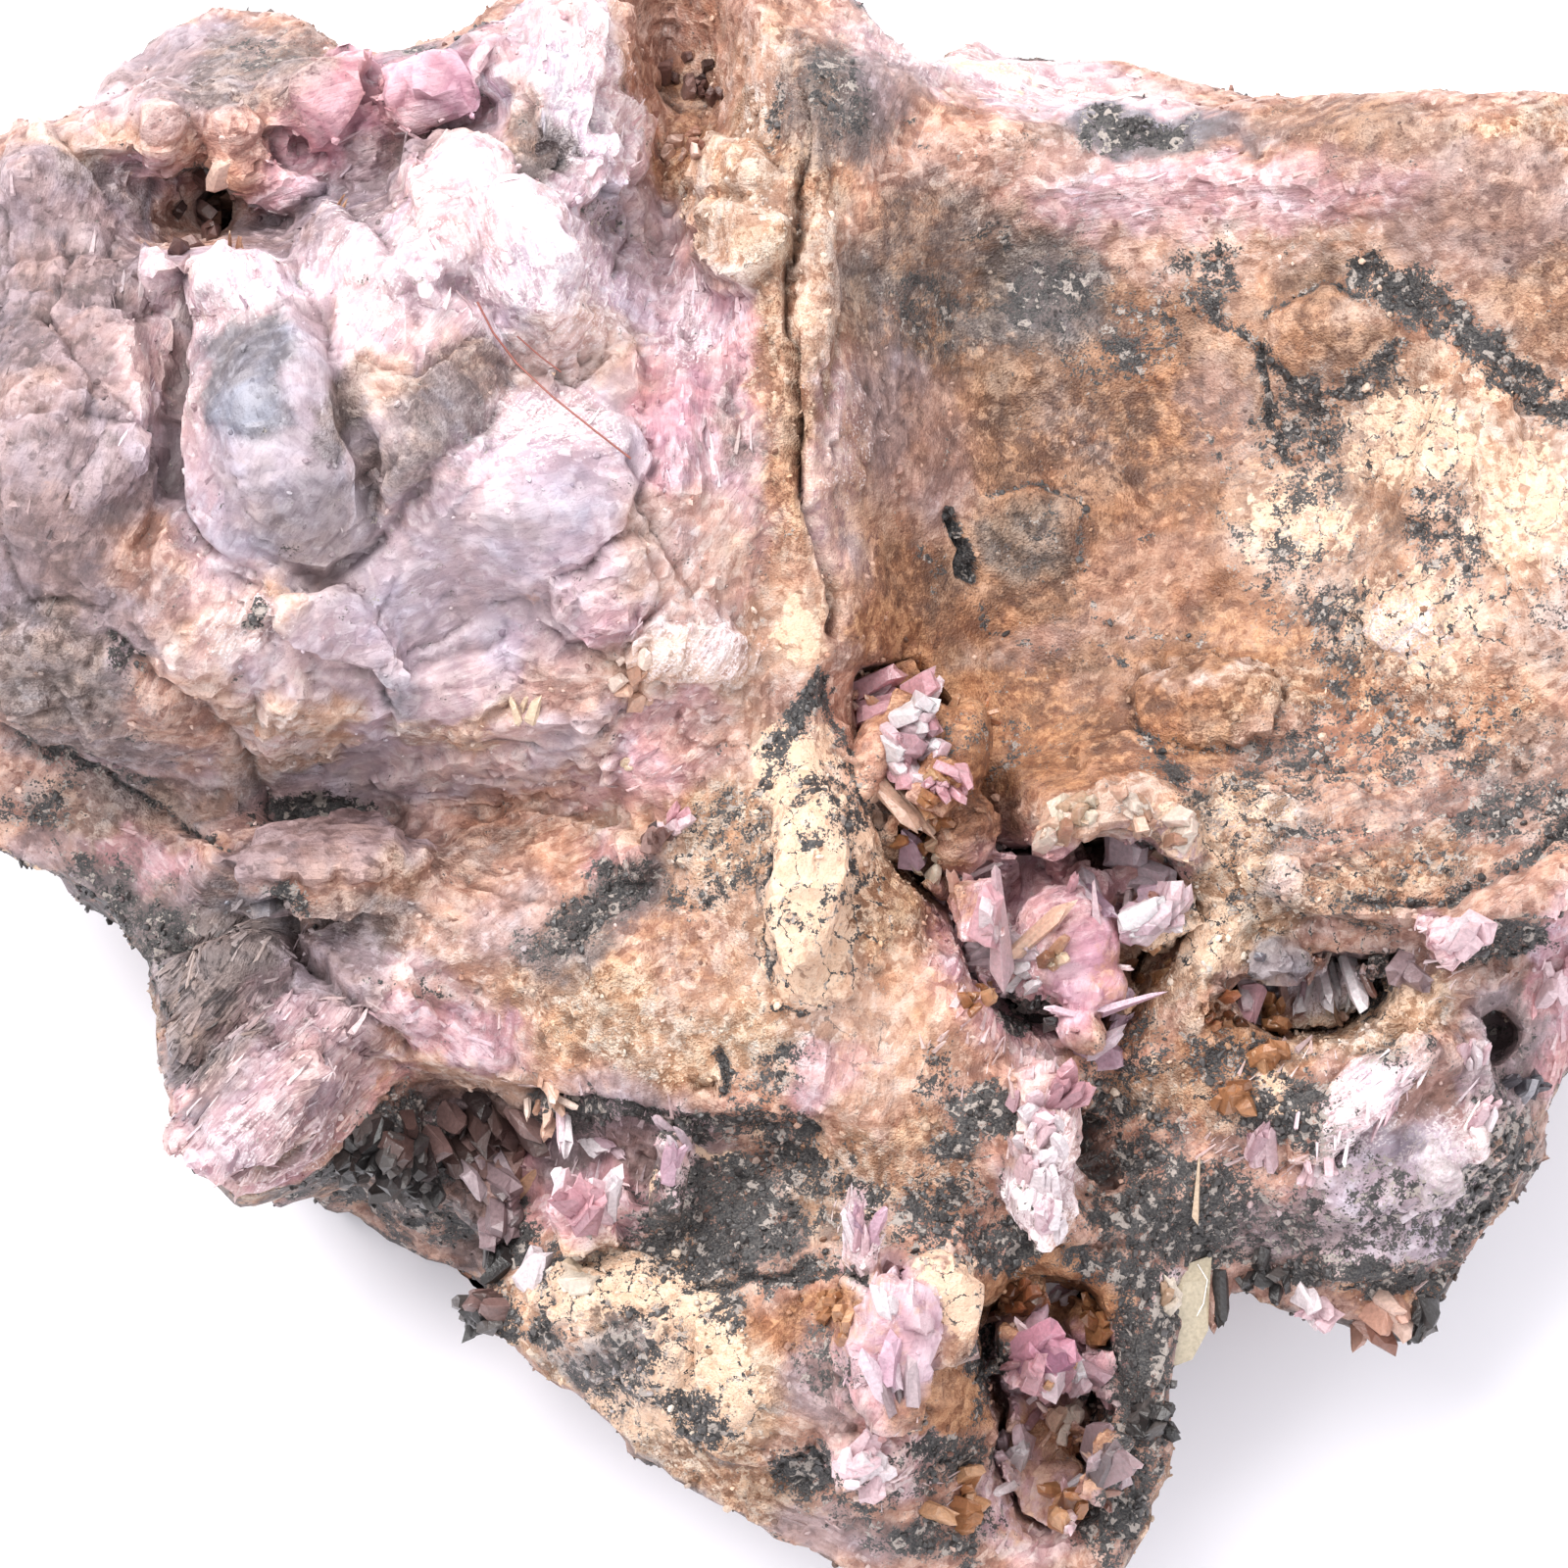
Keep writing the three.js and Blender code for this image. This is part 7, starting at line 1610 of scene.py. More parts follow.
    def thin(self, piece: bpy.types.Object) -> None:
        """Leaves out the triangles that the shape needs least, and shades all but the sharp edges smooth."""
        count = sum(len(face.vertices) - 2 for face in piece.data.polygons)
        make_active(piece)
        fewer = piece.modifiers.new("fewer", "DECIMATE")
        fewer.ratio = min(1.0, self.most / count)
        bpy.ops.object.modifier_apply(modifier=fewer.name)
        bpy.ops.object.shade_smooth_by_angle(angle=SHARP_EDGE)

    @staticmethod
    def mix_stuffs(sheet: np.ndarray, places: np.ndarray, face: np.ndarray) -> tuple[np.ndarray, np.ndarray]:
        """Gives every point its tones and traits.

        Args:
            sheet: where the points lie on the drawing.
            places: the points in mm.
            face: 1 on the face and 0 on the walls.

        Returns:
            The tones, and the traits.
        """
        tones = np.tile(STUFF["salmon"].tones(), (len(sheet), 1))
        traits = np.tile(STUFF["salmon"].traits(), (len(sheet), 1))
        for name, *oval, strength in PATCHES:
            inside = fade(Drawing.inside(sheet, tuple(oval)), 1.15, 0.75)[:, None]
            share = strength * THIN_STUFFS.get(name, 1) * inside
            tones += share * (STUFF[name].tones() - tones)
            traits += share * (STUFF[name].traits() - traits)
        wall_tones = np.tile(STUFF["grey_brown"].tones() * 0.7, (len(sheet), 1))
        wall_traits = np.tile(STUFF["grey_brown"].traits(), (len(sheet), 1))
        for name, size, level, seed in WALL_LAYERS:
            share = fade(rough_noise(places / size, 4, seed), level, level + 0.12)[:, None]
            wall_tones += 0.85 * share * (STUFF[name].tones() * 0.8 - wall_tones)
            wall_traits += share * (STUFF[name].traits() - wall_traits)
        on_face = face[:, None]
        return tones * on_face + wall_tones * (1 - on_face), traits * on_face + wall_traits * (1 - on_face)

    def on_face(self, sheet: np.ndarray, places: np.ndarray, normals: np.ndarray) -> np.ndarray:
        """Tells which points belong to the face: 1 on it, 0 on the walls."""
        if not self.walls:
            return np.ones(len(sheet))
        rough = rough_noise(places / 2.2, 3, 9)
        inner = fade(Drawing.depth_inside(sheet, RIM) + 25 * rough, 30, 60) * fade(normals[:, 2], -0.3, 0.0)
        return np.maximum(inner, fade(normals[:, 2] + 0.2 * rough, 0.05, 0.4))

    @staticmethod
    def fibre_frames(sheaves: Cells, sheet: np.ndarray, normals: np.ndarray) -> tuple[np.ndarray, ...]:
        """Finds how the fibres of each sheaf lie.

        Args:
            sheaves: the sheaves.
            sheet: where the points lie on the drawing.
            normals: the points' normals.

        Returns:
            For each point, the directions along, across and out of its sheaf.
        """
        _, first, which, counts = np.unique(
            sheaves.number, return_index=True, return_inverse=True, return_counts=True
        )
        which = which.ravel()
        out = np.stack([np.bincount(which, normals[:, k]) for k in range(3)], axis=1)
        out /= np.maximum(np.linalg.norm(out, axis=1, keepdims=True), 1e-6)
        spots = np.stack([np.bincount(which, sheet[:, k]) / counts for k in range(2)], axis=1)
        rows = np.array(FIBRES, float)
        near = np.argmin(np.linalg.norm(spots[:, None, :] - rows[None, :, :2], axis=2), axis=1)
        turn = np.radians(rows[near, 2] + 16 * (sheaves.draw(5)[first] - 0.5))
        drawn = np.cos(turn)[:, None] * RIGHT + np.sin(turn)[:, None] * UP
        facing = np.maximum(out @ EYE, 0.35)
        along = drawn - EYE * (np.einsum("ij,ij->i", out, drawn) / facing)[:, None]
        along -= out * np.einsum("ij,ij->i", along, out)[:, None]
        along /= np.maximum(np.linalg.norm(along, axis=1, keepdims=True), 1e-6)
        across = np.cross(out, along)
        return along[which], across[which], out[which]

    def sheaves(self, places: np.ndarray) -> Cells:
        """Parts the points into sheaves of fibres."""
        return Cells.around(places / self.sheaf + 0.25 * rough_noise(places / 1.5, 2, 19)[:, None], 101)

    def carve(self, mesh: bpy.types.Mesh) -> None:
        """Gives the skin its relief, and stores where its points were before.

        Args:
            mesh: the fine skin.
        """
        places, normals = read_points(mesh)
        sheet = Drawing.place(places)
        ragged = self.ragged(sheet, places)
        face = self.on_face(sheet, places, normals)
        _, traits = self.mix_stuffs(ragged, places, face)
        lift = self.grown_relief(places, normals, sheet, traits)
        lift += (1 - face) * 0.5 * rough_noise(places / 2.4, 4, 67)
        soot = face * fade(Drawing.cover(ragged, BLACK + CHARCOAL), 0.5, 0.8)
        lift += soot * 0.16 * rough_noise(places * 1.7, 3, 73)
        self.draw_relief(lift, sheet, ragged, face)
        lift = np.clip(lift, DEEPEST, HIGHEST) * fade(places[:, 2], 0.3, 2.0)
        moved = places + normals * lift[:, None]
        if self.walls:
            moved[:, 2] = np.where(places[:, 2] < FLAT_CUT, 0.0, np.maximum(moved[:, 2], 0.0))
        add_attribute(mesh, "rest", "FLOAT_VECTOR", "POINT", places)
        add_attribute(mesh, "out", "FLOAT_VECTOR", "POINT", normals)
        add_attribute(mesh, "lift", "FLOAT_VECTOR", "POINT", np.repeat(lift[:, None], 3, axis=1))
        write_points(mesh, moved)

    def grown_relief(
        self, places: np.ndarray, normals: np.ndarray, sheet: np.ndarray, traits: np.ndarray
    ) -> np.ndarray:
        """Gives the relief that the stuffs grow by themselves: facets along their fibres, flakes and grains.

        Args:
            places: the points in mm.
            normals: their normals.
            sheet: where they lie on the drawing.
            traits: the traits of what they are made of.

        Returns:
            One height for each point.
        """
        chunk, grain = traits[:, 0], traits[:, 1]
        sheaves = self.sheaves(places)
        flow = along_axes(places, self.fibre_frames(sheaves, sheet, normals))
        shift = sheaves.draw(7)[:, None] * 50
        facets = Cells.around(flow * (0.5, 1.3, 0.9) + shift, 211)
        flakes = Cells.around(flow * (1.2, 2.6, 2.0) + shift, 307)
        lift = 0.8 * chunk * sheaves.facets(41) + chunk * facets.facets(43) + 0.6 * chunk * flakes.facets(47)
        lift += grain * 1.8 * rough_noise(places * 2.1, 2, 53)
        return lift

    def draw_relief(self, lift: np.ndarray, sheet: np.ndarray, ragged: np.ndarray, face: np.ndarray) -> None:
        """Adds the plates, cracks, dents and knobs of the drawing to the relief.

        Args:
            lift: the heights that they are added to.
            sheet: where the points lie on the drawing.
            ragged: the same, a little shifted.
            face: 1 on the face and 0 on the walls.
        """
        bent = BENT * sheet + (1 - BENT) * ragged
        for height, edge, rise, towards, corners in PLATES:
            lift += face * self.plate(bent, height, edge, rise, towards, corners)
        for width, depth, line in CRACKS:
            lift -= face * depth * np.exp(-((Drawing.from_line(bent, line) / width) ** 2))
        for *oval, depth in DENTS:
            lift -= face * depth * fade(Drawing.inside(ragged, tuple(oval)), 1.25, 0.6)
        for *oval, height in RISES:
            lift += face * height * fade(Drawing.inside(ragged, tuple(oval)), 1.06, 0.9)

    @staticmethod
    def stand_out(mesh: bpy.types.Mesh, rounds: int) -> np.ndarray:
        """Tells how far the points stand out of the surface around them.

        Args:
            mesh: the skin.
            rounds: how often the surface is smoothed, so how wide the surroundings are.

        Returns:
            One distance in mm for each point, negative in hollows.
        """
        places, normals = read_points(mesh)
        ends = np.zeros(len(mesh.edges) * 2, np.int32)
        mesh.edges.foreach_get("vertices", ends)
        one, other = ends[::2], ends[1::2]
        count = np.maximum(np.bincount(ends, minlength=len(places)), 1)
        smooth = places.copy()
        for _ in range(rounds):
            for k in range(3):
                total = np.bincount(one, smooth[other, k], len(places))
                total = total + np.bincount(other, smooth[one, k], len(places))
                smooth[:, k] = 0.5 * smooth[:, k] + 0.5 * total / count
        return np.einsum("ij,ij->i", places - smooth, normals)

    @staticmethod
    def ragged(sheet: np.ndarray, places: np.ndarray) -> np.ndarray:
        """Shifts places on the drawing a little, for ragged borders."""
        far = np.stack([rough_noise(places / 2.2, 3, k) for k in (3, 11)], axis=1)
        near = np.stack([rough_noise(places / 0.8, 2, k) for k in (23, 29)], axis=1)
        return sheet + 26 * far + 14 * near

    @staticmethod
    def plate(
        sheet: np.ndarray, height: float, edge: float, rise: float, towards: float, corners: list
    ) -> np.ndarray:
        """Gives the relief of one plate.

        Args:
            sheet: where the points lie on the drawing.
            height: how high it stands, in mm.
            edge: how wide its rounded edge is.
            rise: how much it rises from one side to the other, in mm.
            towards: the direction in which it rises, in degrees.
            corners: its outline.

        Returns:
            One height for each point.
        """
        lift = np.zeros(len(sheet))
        bounds = np.array(corners, float)
        near = np.all((sheet > bounds.min(0) - 8) & (sheet < bounds.max(0) + 8), axis=1)
        way = np.array([math.cos(math.radians(towards)), -math.sin(math.radians(towards))])
        reach = bounds @ way
        depth = Drawing.depth_inside(sheet[near], corners)
        slope = (sheet[near] @ way - (reach.min() + reach.max()) / 2) / (reach.max() - reach.min())
        lift[near] = fade(depth, -3, 3) * rise * slope + height * fade(depth, -3, edge)
        return lift

    def paint(self, mesh: bpy.types.Mesh) -> Surface:
        """Works out what the material reads, and stores it.

        Args:
            mesh: the carved skin.

        Returns:
            The finished surface.
        """
        rest, out_rest, lift = (read_attribute(mesh, name) for name in ("rest", "out", "lift"))
        out_rest /= np.maximum(np.linalg.norm(out_rest, axis=1, keepdims=True), 1e-6)
        for name in ("rest", "out", "lift"):
            mesh.attributes.remove(mesh.attributes[name])
        sheet = Drawing.place(rest)
        ragged = self.ragged(sheet, rest)
        face = self.on_face(sheet, rest, out_rest)
        tones, traits = self.mix_stuffs(ragged, rest, face)
        self.vary(tones, traits, rest)
        ridge = self.stand_out(mesh, 2)
        # painted highlights on ridges and swells, painted shade in hollows and deep carves
        self.shade(tones, traits, ridge, self.stand_out(mesh, 12), lift[:, 0])
        black = self.black_crust_and_hollow_shade(rest, BENT * sheet + (1 - BENT) * ragged, ragged, face, ridge)
        # white frosting from the table, painted highlight where it lies on the lit tops, plus painted
        # highlight on every ridge
        frost_and_highlight = face * Drawing.cover(ragged, FROST_AND_HIGHLIGHT) + 0.15 * fade(ridge, 0.015, 0.07)
        stain = face * Drawing.cover(ragged, STAIN) + (1 - face) * 0.35
        marks = np.stack([black, face * Drawing.cover(ragged, CRACKLE), frost_and_highlight, stain], axis=1)
        wall_cream = (1 - face) * 0.7 * fade(rough_noise(rest / 2.6, 3, 141), 0.2, 0.5)
        cream = face * Drawing.cover(ragged, CREAM) + wall_cream
        flaky = 3 * traits[:, 0] + 2 * traits[:, 1]
        crusts = np.stack([cream, face * Drawing.cover(ragged, SOOT), flaky], axis=1)
        sheaves = self.sheaves(rest)
        axes = self.fibre_frames(sheaves, sheet, out_rest)
        places, normals = read_points(mesh)
        self.store_flow(mesh, places, axes, sheaves)
        tones = np.clip(tones, DARKEST, PALEST)
        for k, (name, trait) in enumerate((("tint", 2), ("light", 3), ("dark", 4))):
            values = np.column_stack([tones[:, 3 * k : 3 * k + 3], traits[:, trait]])
            add_attribute(mesh, name, "FLOAT_COLOR", "POINT", values)
        add_attribute(mesh, "marks", "FLOAT_COLOR", "POINT", marks)
        add_attribute(mesh, "crusts", "FLOAT_COLOR", "POINT", crusts)
        return Surface(places, normals, Drawing.place(places), tones, traits, axes[0], black, face)

    @staticmethod
    def vary(tones: np.ndarray, traits: np.ndarray, rest: np.ndarray) -> None:
        """Varies the colours in clouds, in warmth and from chip to chip.

        Args:
            tones: the colours, changed in place.
            traits: the traits.
            rest: the points before they were carved.
        """
        mottle = rough_noise(rest / 1.3, 5, 151)
        drift = rough_noise(rest / 4.5, 3, 161)[:, None]
        busy = (0.35 + 0.65 * traits[:, 3])[:, None]
        tones[:, :3] += busy * fade(mottle, 0.02, 0.5)[:, None] * (tones[:, 3:6] - tones[:, :3])
        tones[:, :3] += busy * fade(-mottle, 0.02, 0.5)[:, None] * (tones[:, 6:] - tones[:, :3])
        warm = rough_noise(rest / 3.2, 4, 181)[:, None]
        tones *= 1 + 0.14 * drift + warm * np.tile((0.1, -0.02, -0.16), 3)
        for size, seed, depth in CHIPS:
            shifted = rest / size + 0.4 * rough_noise(rest / (0.9 * size), 2, 27)[:, None]
            chips = Cells.around(shifted, seed)
            tones *= (1 + depth * (0.4 + traits[:, 3]) * (chips.draw(5) - 0.5))[:, None]
            hue = (traits[:, 3] * (chips.draw(6) - 0.5))[:, None]
            tones *= 1 + hue * np.tile((0.1, -0.03, -0.18), 3)

    @staticmethod
    def shade(
        tones: np.ndarray, traits: np.ndarray, ridge: np.ndarray, swell: np.ndarray, lift: np.ndarray
    ) -> None:
        """Paints highlights on ridges and swells, and paints shade in hollows, wide dips and deep carved
        places.

        Args:
            tones: the colours, changed in place.
            traits: the traits.
            ridge: how far the points stand out of what is close by, in mm.
            swell: how far they stand out of a wider part.
            lift: how far they were carved out.
        """
        # painted highlight on ridges, painted shade in hollows and wide dips, painted shade where the relief
        # is carved deep
        tones[:, :3] += 0.55 * fade(ridge, 0.012, 0.07)[:, None] * (tones[:, 3:6] - tones[:, :3])
        painted_hollow_shade = (0.3 + 0.5 * traits[:, 3]) * fade(-ridge, 0.01, 0.07)
        tones[:, :3] += painted_hollow_shade[:, None] * (0.9 * tones[:, 6:] - tones[:, :3])
        tones *= (1 + 0.12 * fade(swell, 0.02, 0.25) - 0.3 * fade(-swell, 0.03, 0.3))[:, None]
        tones *= (1 - 0.35 * fade(-lift, 0.35, 1.2))[:, None]

    @staticmethod
    def black_crust_and_hollow_shade(
        rest: np.ndarray, bent: np.ndarray, ragged: np.ndarray, face: np.ndarray, ridge: np.ndarray
    ) -> np.ndarray:
        """Tells how strongly each point has the black crust, a little stronger in hollows as painted shade
        and weaker on ridges as painted highlight.

        Args:
            rest: the points before they were carved.
            bent: where they lie on the drawing, nearly.
            ragged: the same, shifted more.
            face: 1 on the face and 0 on the walls.
            ridge: how far they stand out of what is close by, in mm.

        Returns:
            One number for each point.
        """
        black = face * Drawing.cover(ragged, BLACK + CHARCOAL)
        for width, strength, line in BLACK_LINES:
            drawn = fade(Drawing.from_line(bent, line), 1.5 * width + 5, 0.5 * width)
            black = np.maximum(black, face * strength * drawn)
        walls = 0.15 + 0.6 * fade(rough_noise(rest / 3.1, 4, 131), -0.25, 0.3)
        black = np.maximum(black, (1 - face) * walls)
        # painted shade: more black in hollows; painted highlight: less black on ridges
        black += 0.12 * fade(-ridge, 0.01, 0.07) - 0.1 * fade(ridge, 0.01, 0.07)
        return black

    @staticmethod
    def store_flow(
        mesh: bpy.types.Mesh, places: np.ndarray, axes: tuple[np.ndarray, ...], sheaves: Cells
    ) -> None:
        """Stores where each corner lies along and across the fibres of its face's sheaf.

        Args:
            mesh: the skin.
            places: its points in mm.
            axes: the directions along, across and out of the sheaf at each point.
            sheaves: the sheaf of each point.
        """
        corners = np.zeros(len(mesh.loops), np.int32)
        mesh.loops.foreach_get("vertex_index", corners)
        starts = np.zeros(len(mesh.polygons), np.int32)
        mesh.polygons.foreach_get("loop_start", starts)
        totals = np.zeros(len(mesh.polygons), np.int32)
        mesh.polygons.foreach_get("loop_total", totals)
        leader = np.repeat(corners[starts], totals)
        flow = along_axes(places[corners], tuple(axis[leader] for axis in axes))
        flow += 40 * sheaves.draw(7)[leader][:, None]
        add_attribute(mesh, "flow", "FLOAT_VECTOR", "CORNER", flow)


def read_attribute(mesh: bpy.types.Mesh, name: str) -> np.ndarray:
    """Reads a vector attribute of a mesh's points."""
    values = np.zeros(len(mesh.vertices) * 3, np.float32)
    mesh.attributes[name].data.foreach_get("vector", values)
    return values.reshape(-1, 3).astype(float)


class Shape(Enum):
    """The small shapes that lie on the rock."""

    SPLINTER = "splinter"
    FLAKE = "flake"
    CRUMB = "crumb"
    PRISM = "prism"
    BLOCK = "block"


def template(shape: Shape) -> tuple[np.ndarray, list]:
    """Models one small shape, one unit long, wide and high, with its length along x.

    Args:
        shape: which one.

    Returns:
        Its points and faces.
    """
    deselect()
    if shape is Shape.CRUMB:
        bpy.ops.mesh.primitive_ico_sphere_add(subdivisions=1, radius=0.5)
    elif shape is Shape.PRISM:
        bpy.ops.mesh.primitive_cylinder_add(vertices=6, radius=0.5, depth=1, rotation=(0, math.pi / 2, 0))
    else:
        bpy.ops.mesh.primitive_cube_add(size=1)
    piece = bpy.context.object
    bpy.ops.object.transform_apply(location=False, rotation=True, scale=False)
    if shape is Shape.PRISM:
        select_faces(piece, lambda face: face.normal.x > 0.9)
        bpy.ops.object.mode_set(mode="EDIT")
        bpy.ops.mesh.extrude_region_move(TRANSFORM_OT_translate={"value": (0.2, 0, 0)})
        bpy.ops.transform.resize(value=(1, 0.35, 0.6))
        bpy.ops.object.mode_set(mode="OBJECT")
    elif shape is Shape.BLOCK:
        select_faces(piece, lambda face: True)
        bpy.ops.object.mode_set(mode="EDIT")
        bpy.ops.mesh.bevel(offset=0.16, segments=1, affect="EDGES")
        bpy.ops.object.mode_set(mode="OBJECT")
    places = np.array([corner.co for corner in piece.data.vertices])
    if shape is Shape.SPLINTER:
        places[:, 1:] *= np.where(places[:, :1] > 0, 0.3, 1.0)
    elif shape is Shape.BLOCK:
        places[:, 1:] *= 1 - 0.35 * (places[:, :1] + 0.5)
        places[:, 0] += 0.3 * places[:, 1] * (places[:, 0] > 0)
    elif shape is Shape.FLAKE:
        places[:, 1] *= np.where(places[:, 0] > 0, 0.6, 1.0)
        places[:, 0] += 0.15 * np.sign(places[:, 1]) * (places[:, 0] > 0)
        places[:, :2] *= np.where(places[:, 2:] > 0, 0.85, 1.0)
    faces = [tuple(face.vertices) for face in piece.data.polygons]
    bpy.data.objects.remove(piece)
    return places, faces


def select_faces(piece: bpy.types.Object, wanted: Callable[[bpy.types.MeshPolygon], bool]) -> None:
    """Selects the faces of a piece that a test picks."""
    make_active(piece)
    bpy.ops.object.mode_set(mode="EDIT")
    bpy.ops.mesh.select_mode(type="FACE")
    bpy.ops.mesh.select_all(action="DESELECT")
    bpy.ops.object.mode_set(mode="OBJECT")
    for face in piece.data.polygons:
        face.select = wanted(face)


@dataclass
class Copies:
    """Many moved copies of one small shape.

    Args:
        shape: the small shape.
        moves: a 3 by 3 matrix for each copy, in mm.
        spots: each copy's place in mm.
        tints: each copy's colour.
        broken: how uneven the copies are, as a share of their size.
    """

    shape: Shape
    moves: np.ndarray
    spots: np.ndarray
    tints: np.ndarray
    broken: float = 0.0

    def points_and_faces(self, chance: np.random.Generator) -> tuple[np.ndarray, list]:
        """Gives the points in mm and the faces of all copies."""
        points, faces = template(self.shape)
        count, size = len(self.spots), len(points)
        uneven = points[None] * (1 + chance.normal(0, self.broken, (count, size, 3)))
        placed = np.einsum("nij,npj->npi", self.moves, uneven) + self.spots[:, None, :]
        placed[:, :, 2] = np.maximum(placed[:, :, 2], FLOOR_GAP)
        rings = [tuple(k * size + corner for corner in face) for k in range(count) for face in faces]
        return placed.reshape(-1, 3), rings


def join_copies(name: str, batches: list[Copies], seed: int) -> bpy.types.Object:
    """Makes one mesh of many moved copies of small shapes.

    Args:
        name: the piece's name.
        batches: the copies of each shape.
        seed: for how they are broken.

    Returns:
        The piece.
    """
    chance = np.random.default_rng(seed)
    places, faces, tints = [], [], []
    for batch in batches:
        if not len(batch.spots):
            continue
        points, rings = batch.points_and_faces(chance)
        first = sum(len(block) for block in places)
        places.append(points)
        faces += [tuple(first + corner for corner in ring) for ring in rings]
        shown = np.clip(batch.tints, DARKEST, PALEST)
        tints.append(np.repeat(shown, len(points) // len(batch.spots), axis=0))
    mesh = bpy.data.meshes.new(name)
    mesh.from_pydata((np.concatenate(places) * MM).tolist(), [], faces)
    mesh.update()
    add_attribute(mesh, "tint", "FLOAT_COLOR", "POINT", np.concatenate(tints))
    piece = bpy.data.objects.new(name, mesh)
    bpy.context.scene.collection.objects.link(piece)
    return piece


def unit(vectors: np.ndarray) -> np.ndarray:
    """Makes every row one long."""
    return vectors / np.maximum(np.linalg.norm(vectors, axis=1, keepdims=True), 1e-9)


@dataclass
class Litter:
    """Small pieces grown or stuck all over a part of the rock.

    Args:
        name: the piece's name.
        shape: which small shape.
        count: how many.
        size: smallest and largest length in mm.
        width: width as a share of the length.
        flat: height as a share of the width.
        tilt: least and greatest tilt out of the surface, in degrees.
        sink: how deep it sits, as a share of its height.
        finish: their surface.
        slot: the material slot meant for them; not used.
        seed: for their places.
    """

    name: str
    shape: Shape
    count: int
    size: tuple[float, float]
    width: float
    flat: float
    tilt: tuple[float, float]
    sink: float
    finish: CrystalFinish
    slot: str
    seed: int

    def likelihood(self, surface: Surface) -> np.ndarray:
        """Tells how likely a small piece is at each point of the surface."""
        high = (surface.places[:, 2] > 1.5).astype(float)
        grain, streak = surface.traits.T[1:3]
        if self.name.startswith("black"):
            return high * fade(surface.black, 0.45, 0.8)
        if self.shape is Shape.SPLINTER:
            spiky = fade(Drawing.cover(surface.sheet, SPIKY), 0.2, 0.8)
            return high * surface.face * spiky * (surface.black < 0.7)
        if self.shape is Shape.FLAKE:
            fibrous = np.clip(streak - 0.24, 0, 1)
            return high * fibrous * (surface.black < 0.5) * (grain < 0.045) * surface.face
        return high * np.clip(grain * 8 - 0.3, 0.03, 1) * (surface.black < 0.8)

    def build(self, surface: Surface) -> bpy.types.Object:
        """Scatters the small pieces over the surface.

        Args:
            surface: the finished surface.

        Returns:
            The joined pieces.
        """
        chance = np.random.default_rng(self.seed)
        weight = self.likelihood(surface)
        chosen = chance.choice(len(weight), self.count, replace=False, p=weight / weight.sum())
        out = surface.normals[chosen]
        along = surface.along[chosen] + chance.normal(0, 0.12, (self.count, 3))
        if self.shape is Shape.CRUMB:
            along = chance.normal(0, 1, (self.count, 3))
            out = unit(out + chance.normal(0, 0.6, (self.count, 3)))
        along = unit(along - out * np.einsum("ij,ij->i", along, out)[:, None])
        tilt = np.radians(chance.uniform(*self.tilt, self.count))[:, None]
        lifted = along * np.cos(tilt) + out * np.sin(tilt)
        across = unit(np.cross(out, along))
        top = np.cross(lifted, across)
        length = self.size[0] + (self.size[1] - self.size[0]) * chance.random(self.count) ** 2
        wide = length * self.width * chance.uniform(0.6, 1.4, self.count)
        high = wide * self.flat * chance.uniform(0.7, 1.3, self.count)
        moves = np.stack([lifted * length[:, None], across * wide[:, None], top * high[:, None]], axis=2)
        spots = surface.places[chosen] + surface.normals[chosen] * ((0.5 - self.sink) * high)[:, None]
        pick = chance.random(self.count)[:, None]
        tones = surface.tones[chosen]
        tints = np.where(pick < 0.8, tones[:, 3:6], tones[:, 6:])
        tints = np.where(pick < 0.45, tones[:, :3], tints)
        tints = tints * chance.uniform(0.85, 1.12, (self.count, 1))
        sooty = chance.random(self.count) < fade(surface.black[chosen], 0.35, 0.75)
        if self.shape is Shape.SPLINTER:
            tints = 0.4 * tints + 0.6 * linear("f0d8dc") * DEPTH
        tints = np.where(sooty[:, None], linear("393636") * chance.uniform(0.6, 1.8, (self.count, 1)), tints)
        piece = join_copies(self.name, [Copies(self.shape, moves, spots, tints, 0.15)], self.seed)
        piece.data.materials.append(self.finish.material())
        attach(piece, "root")
        log.info("%s: %d faces", self.name, len(piece.data.polygons))
        return piece


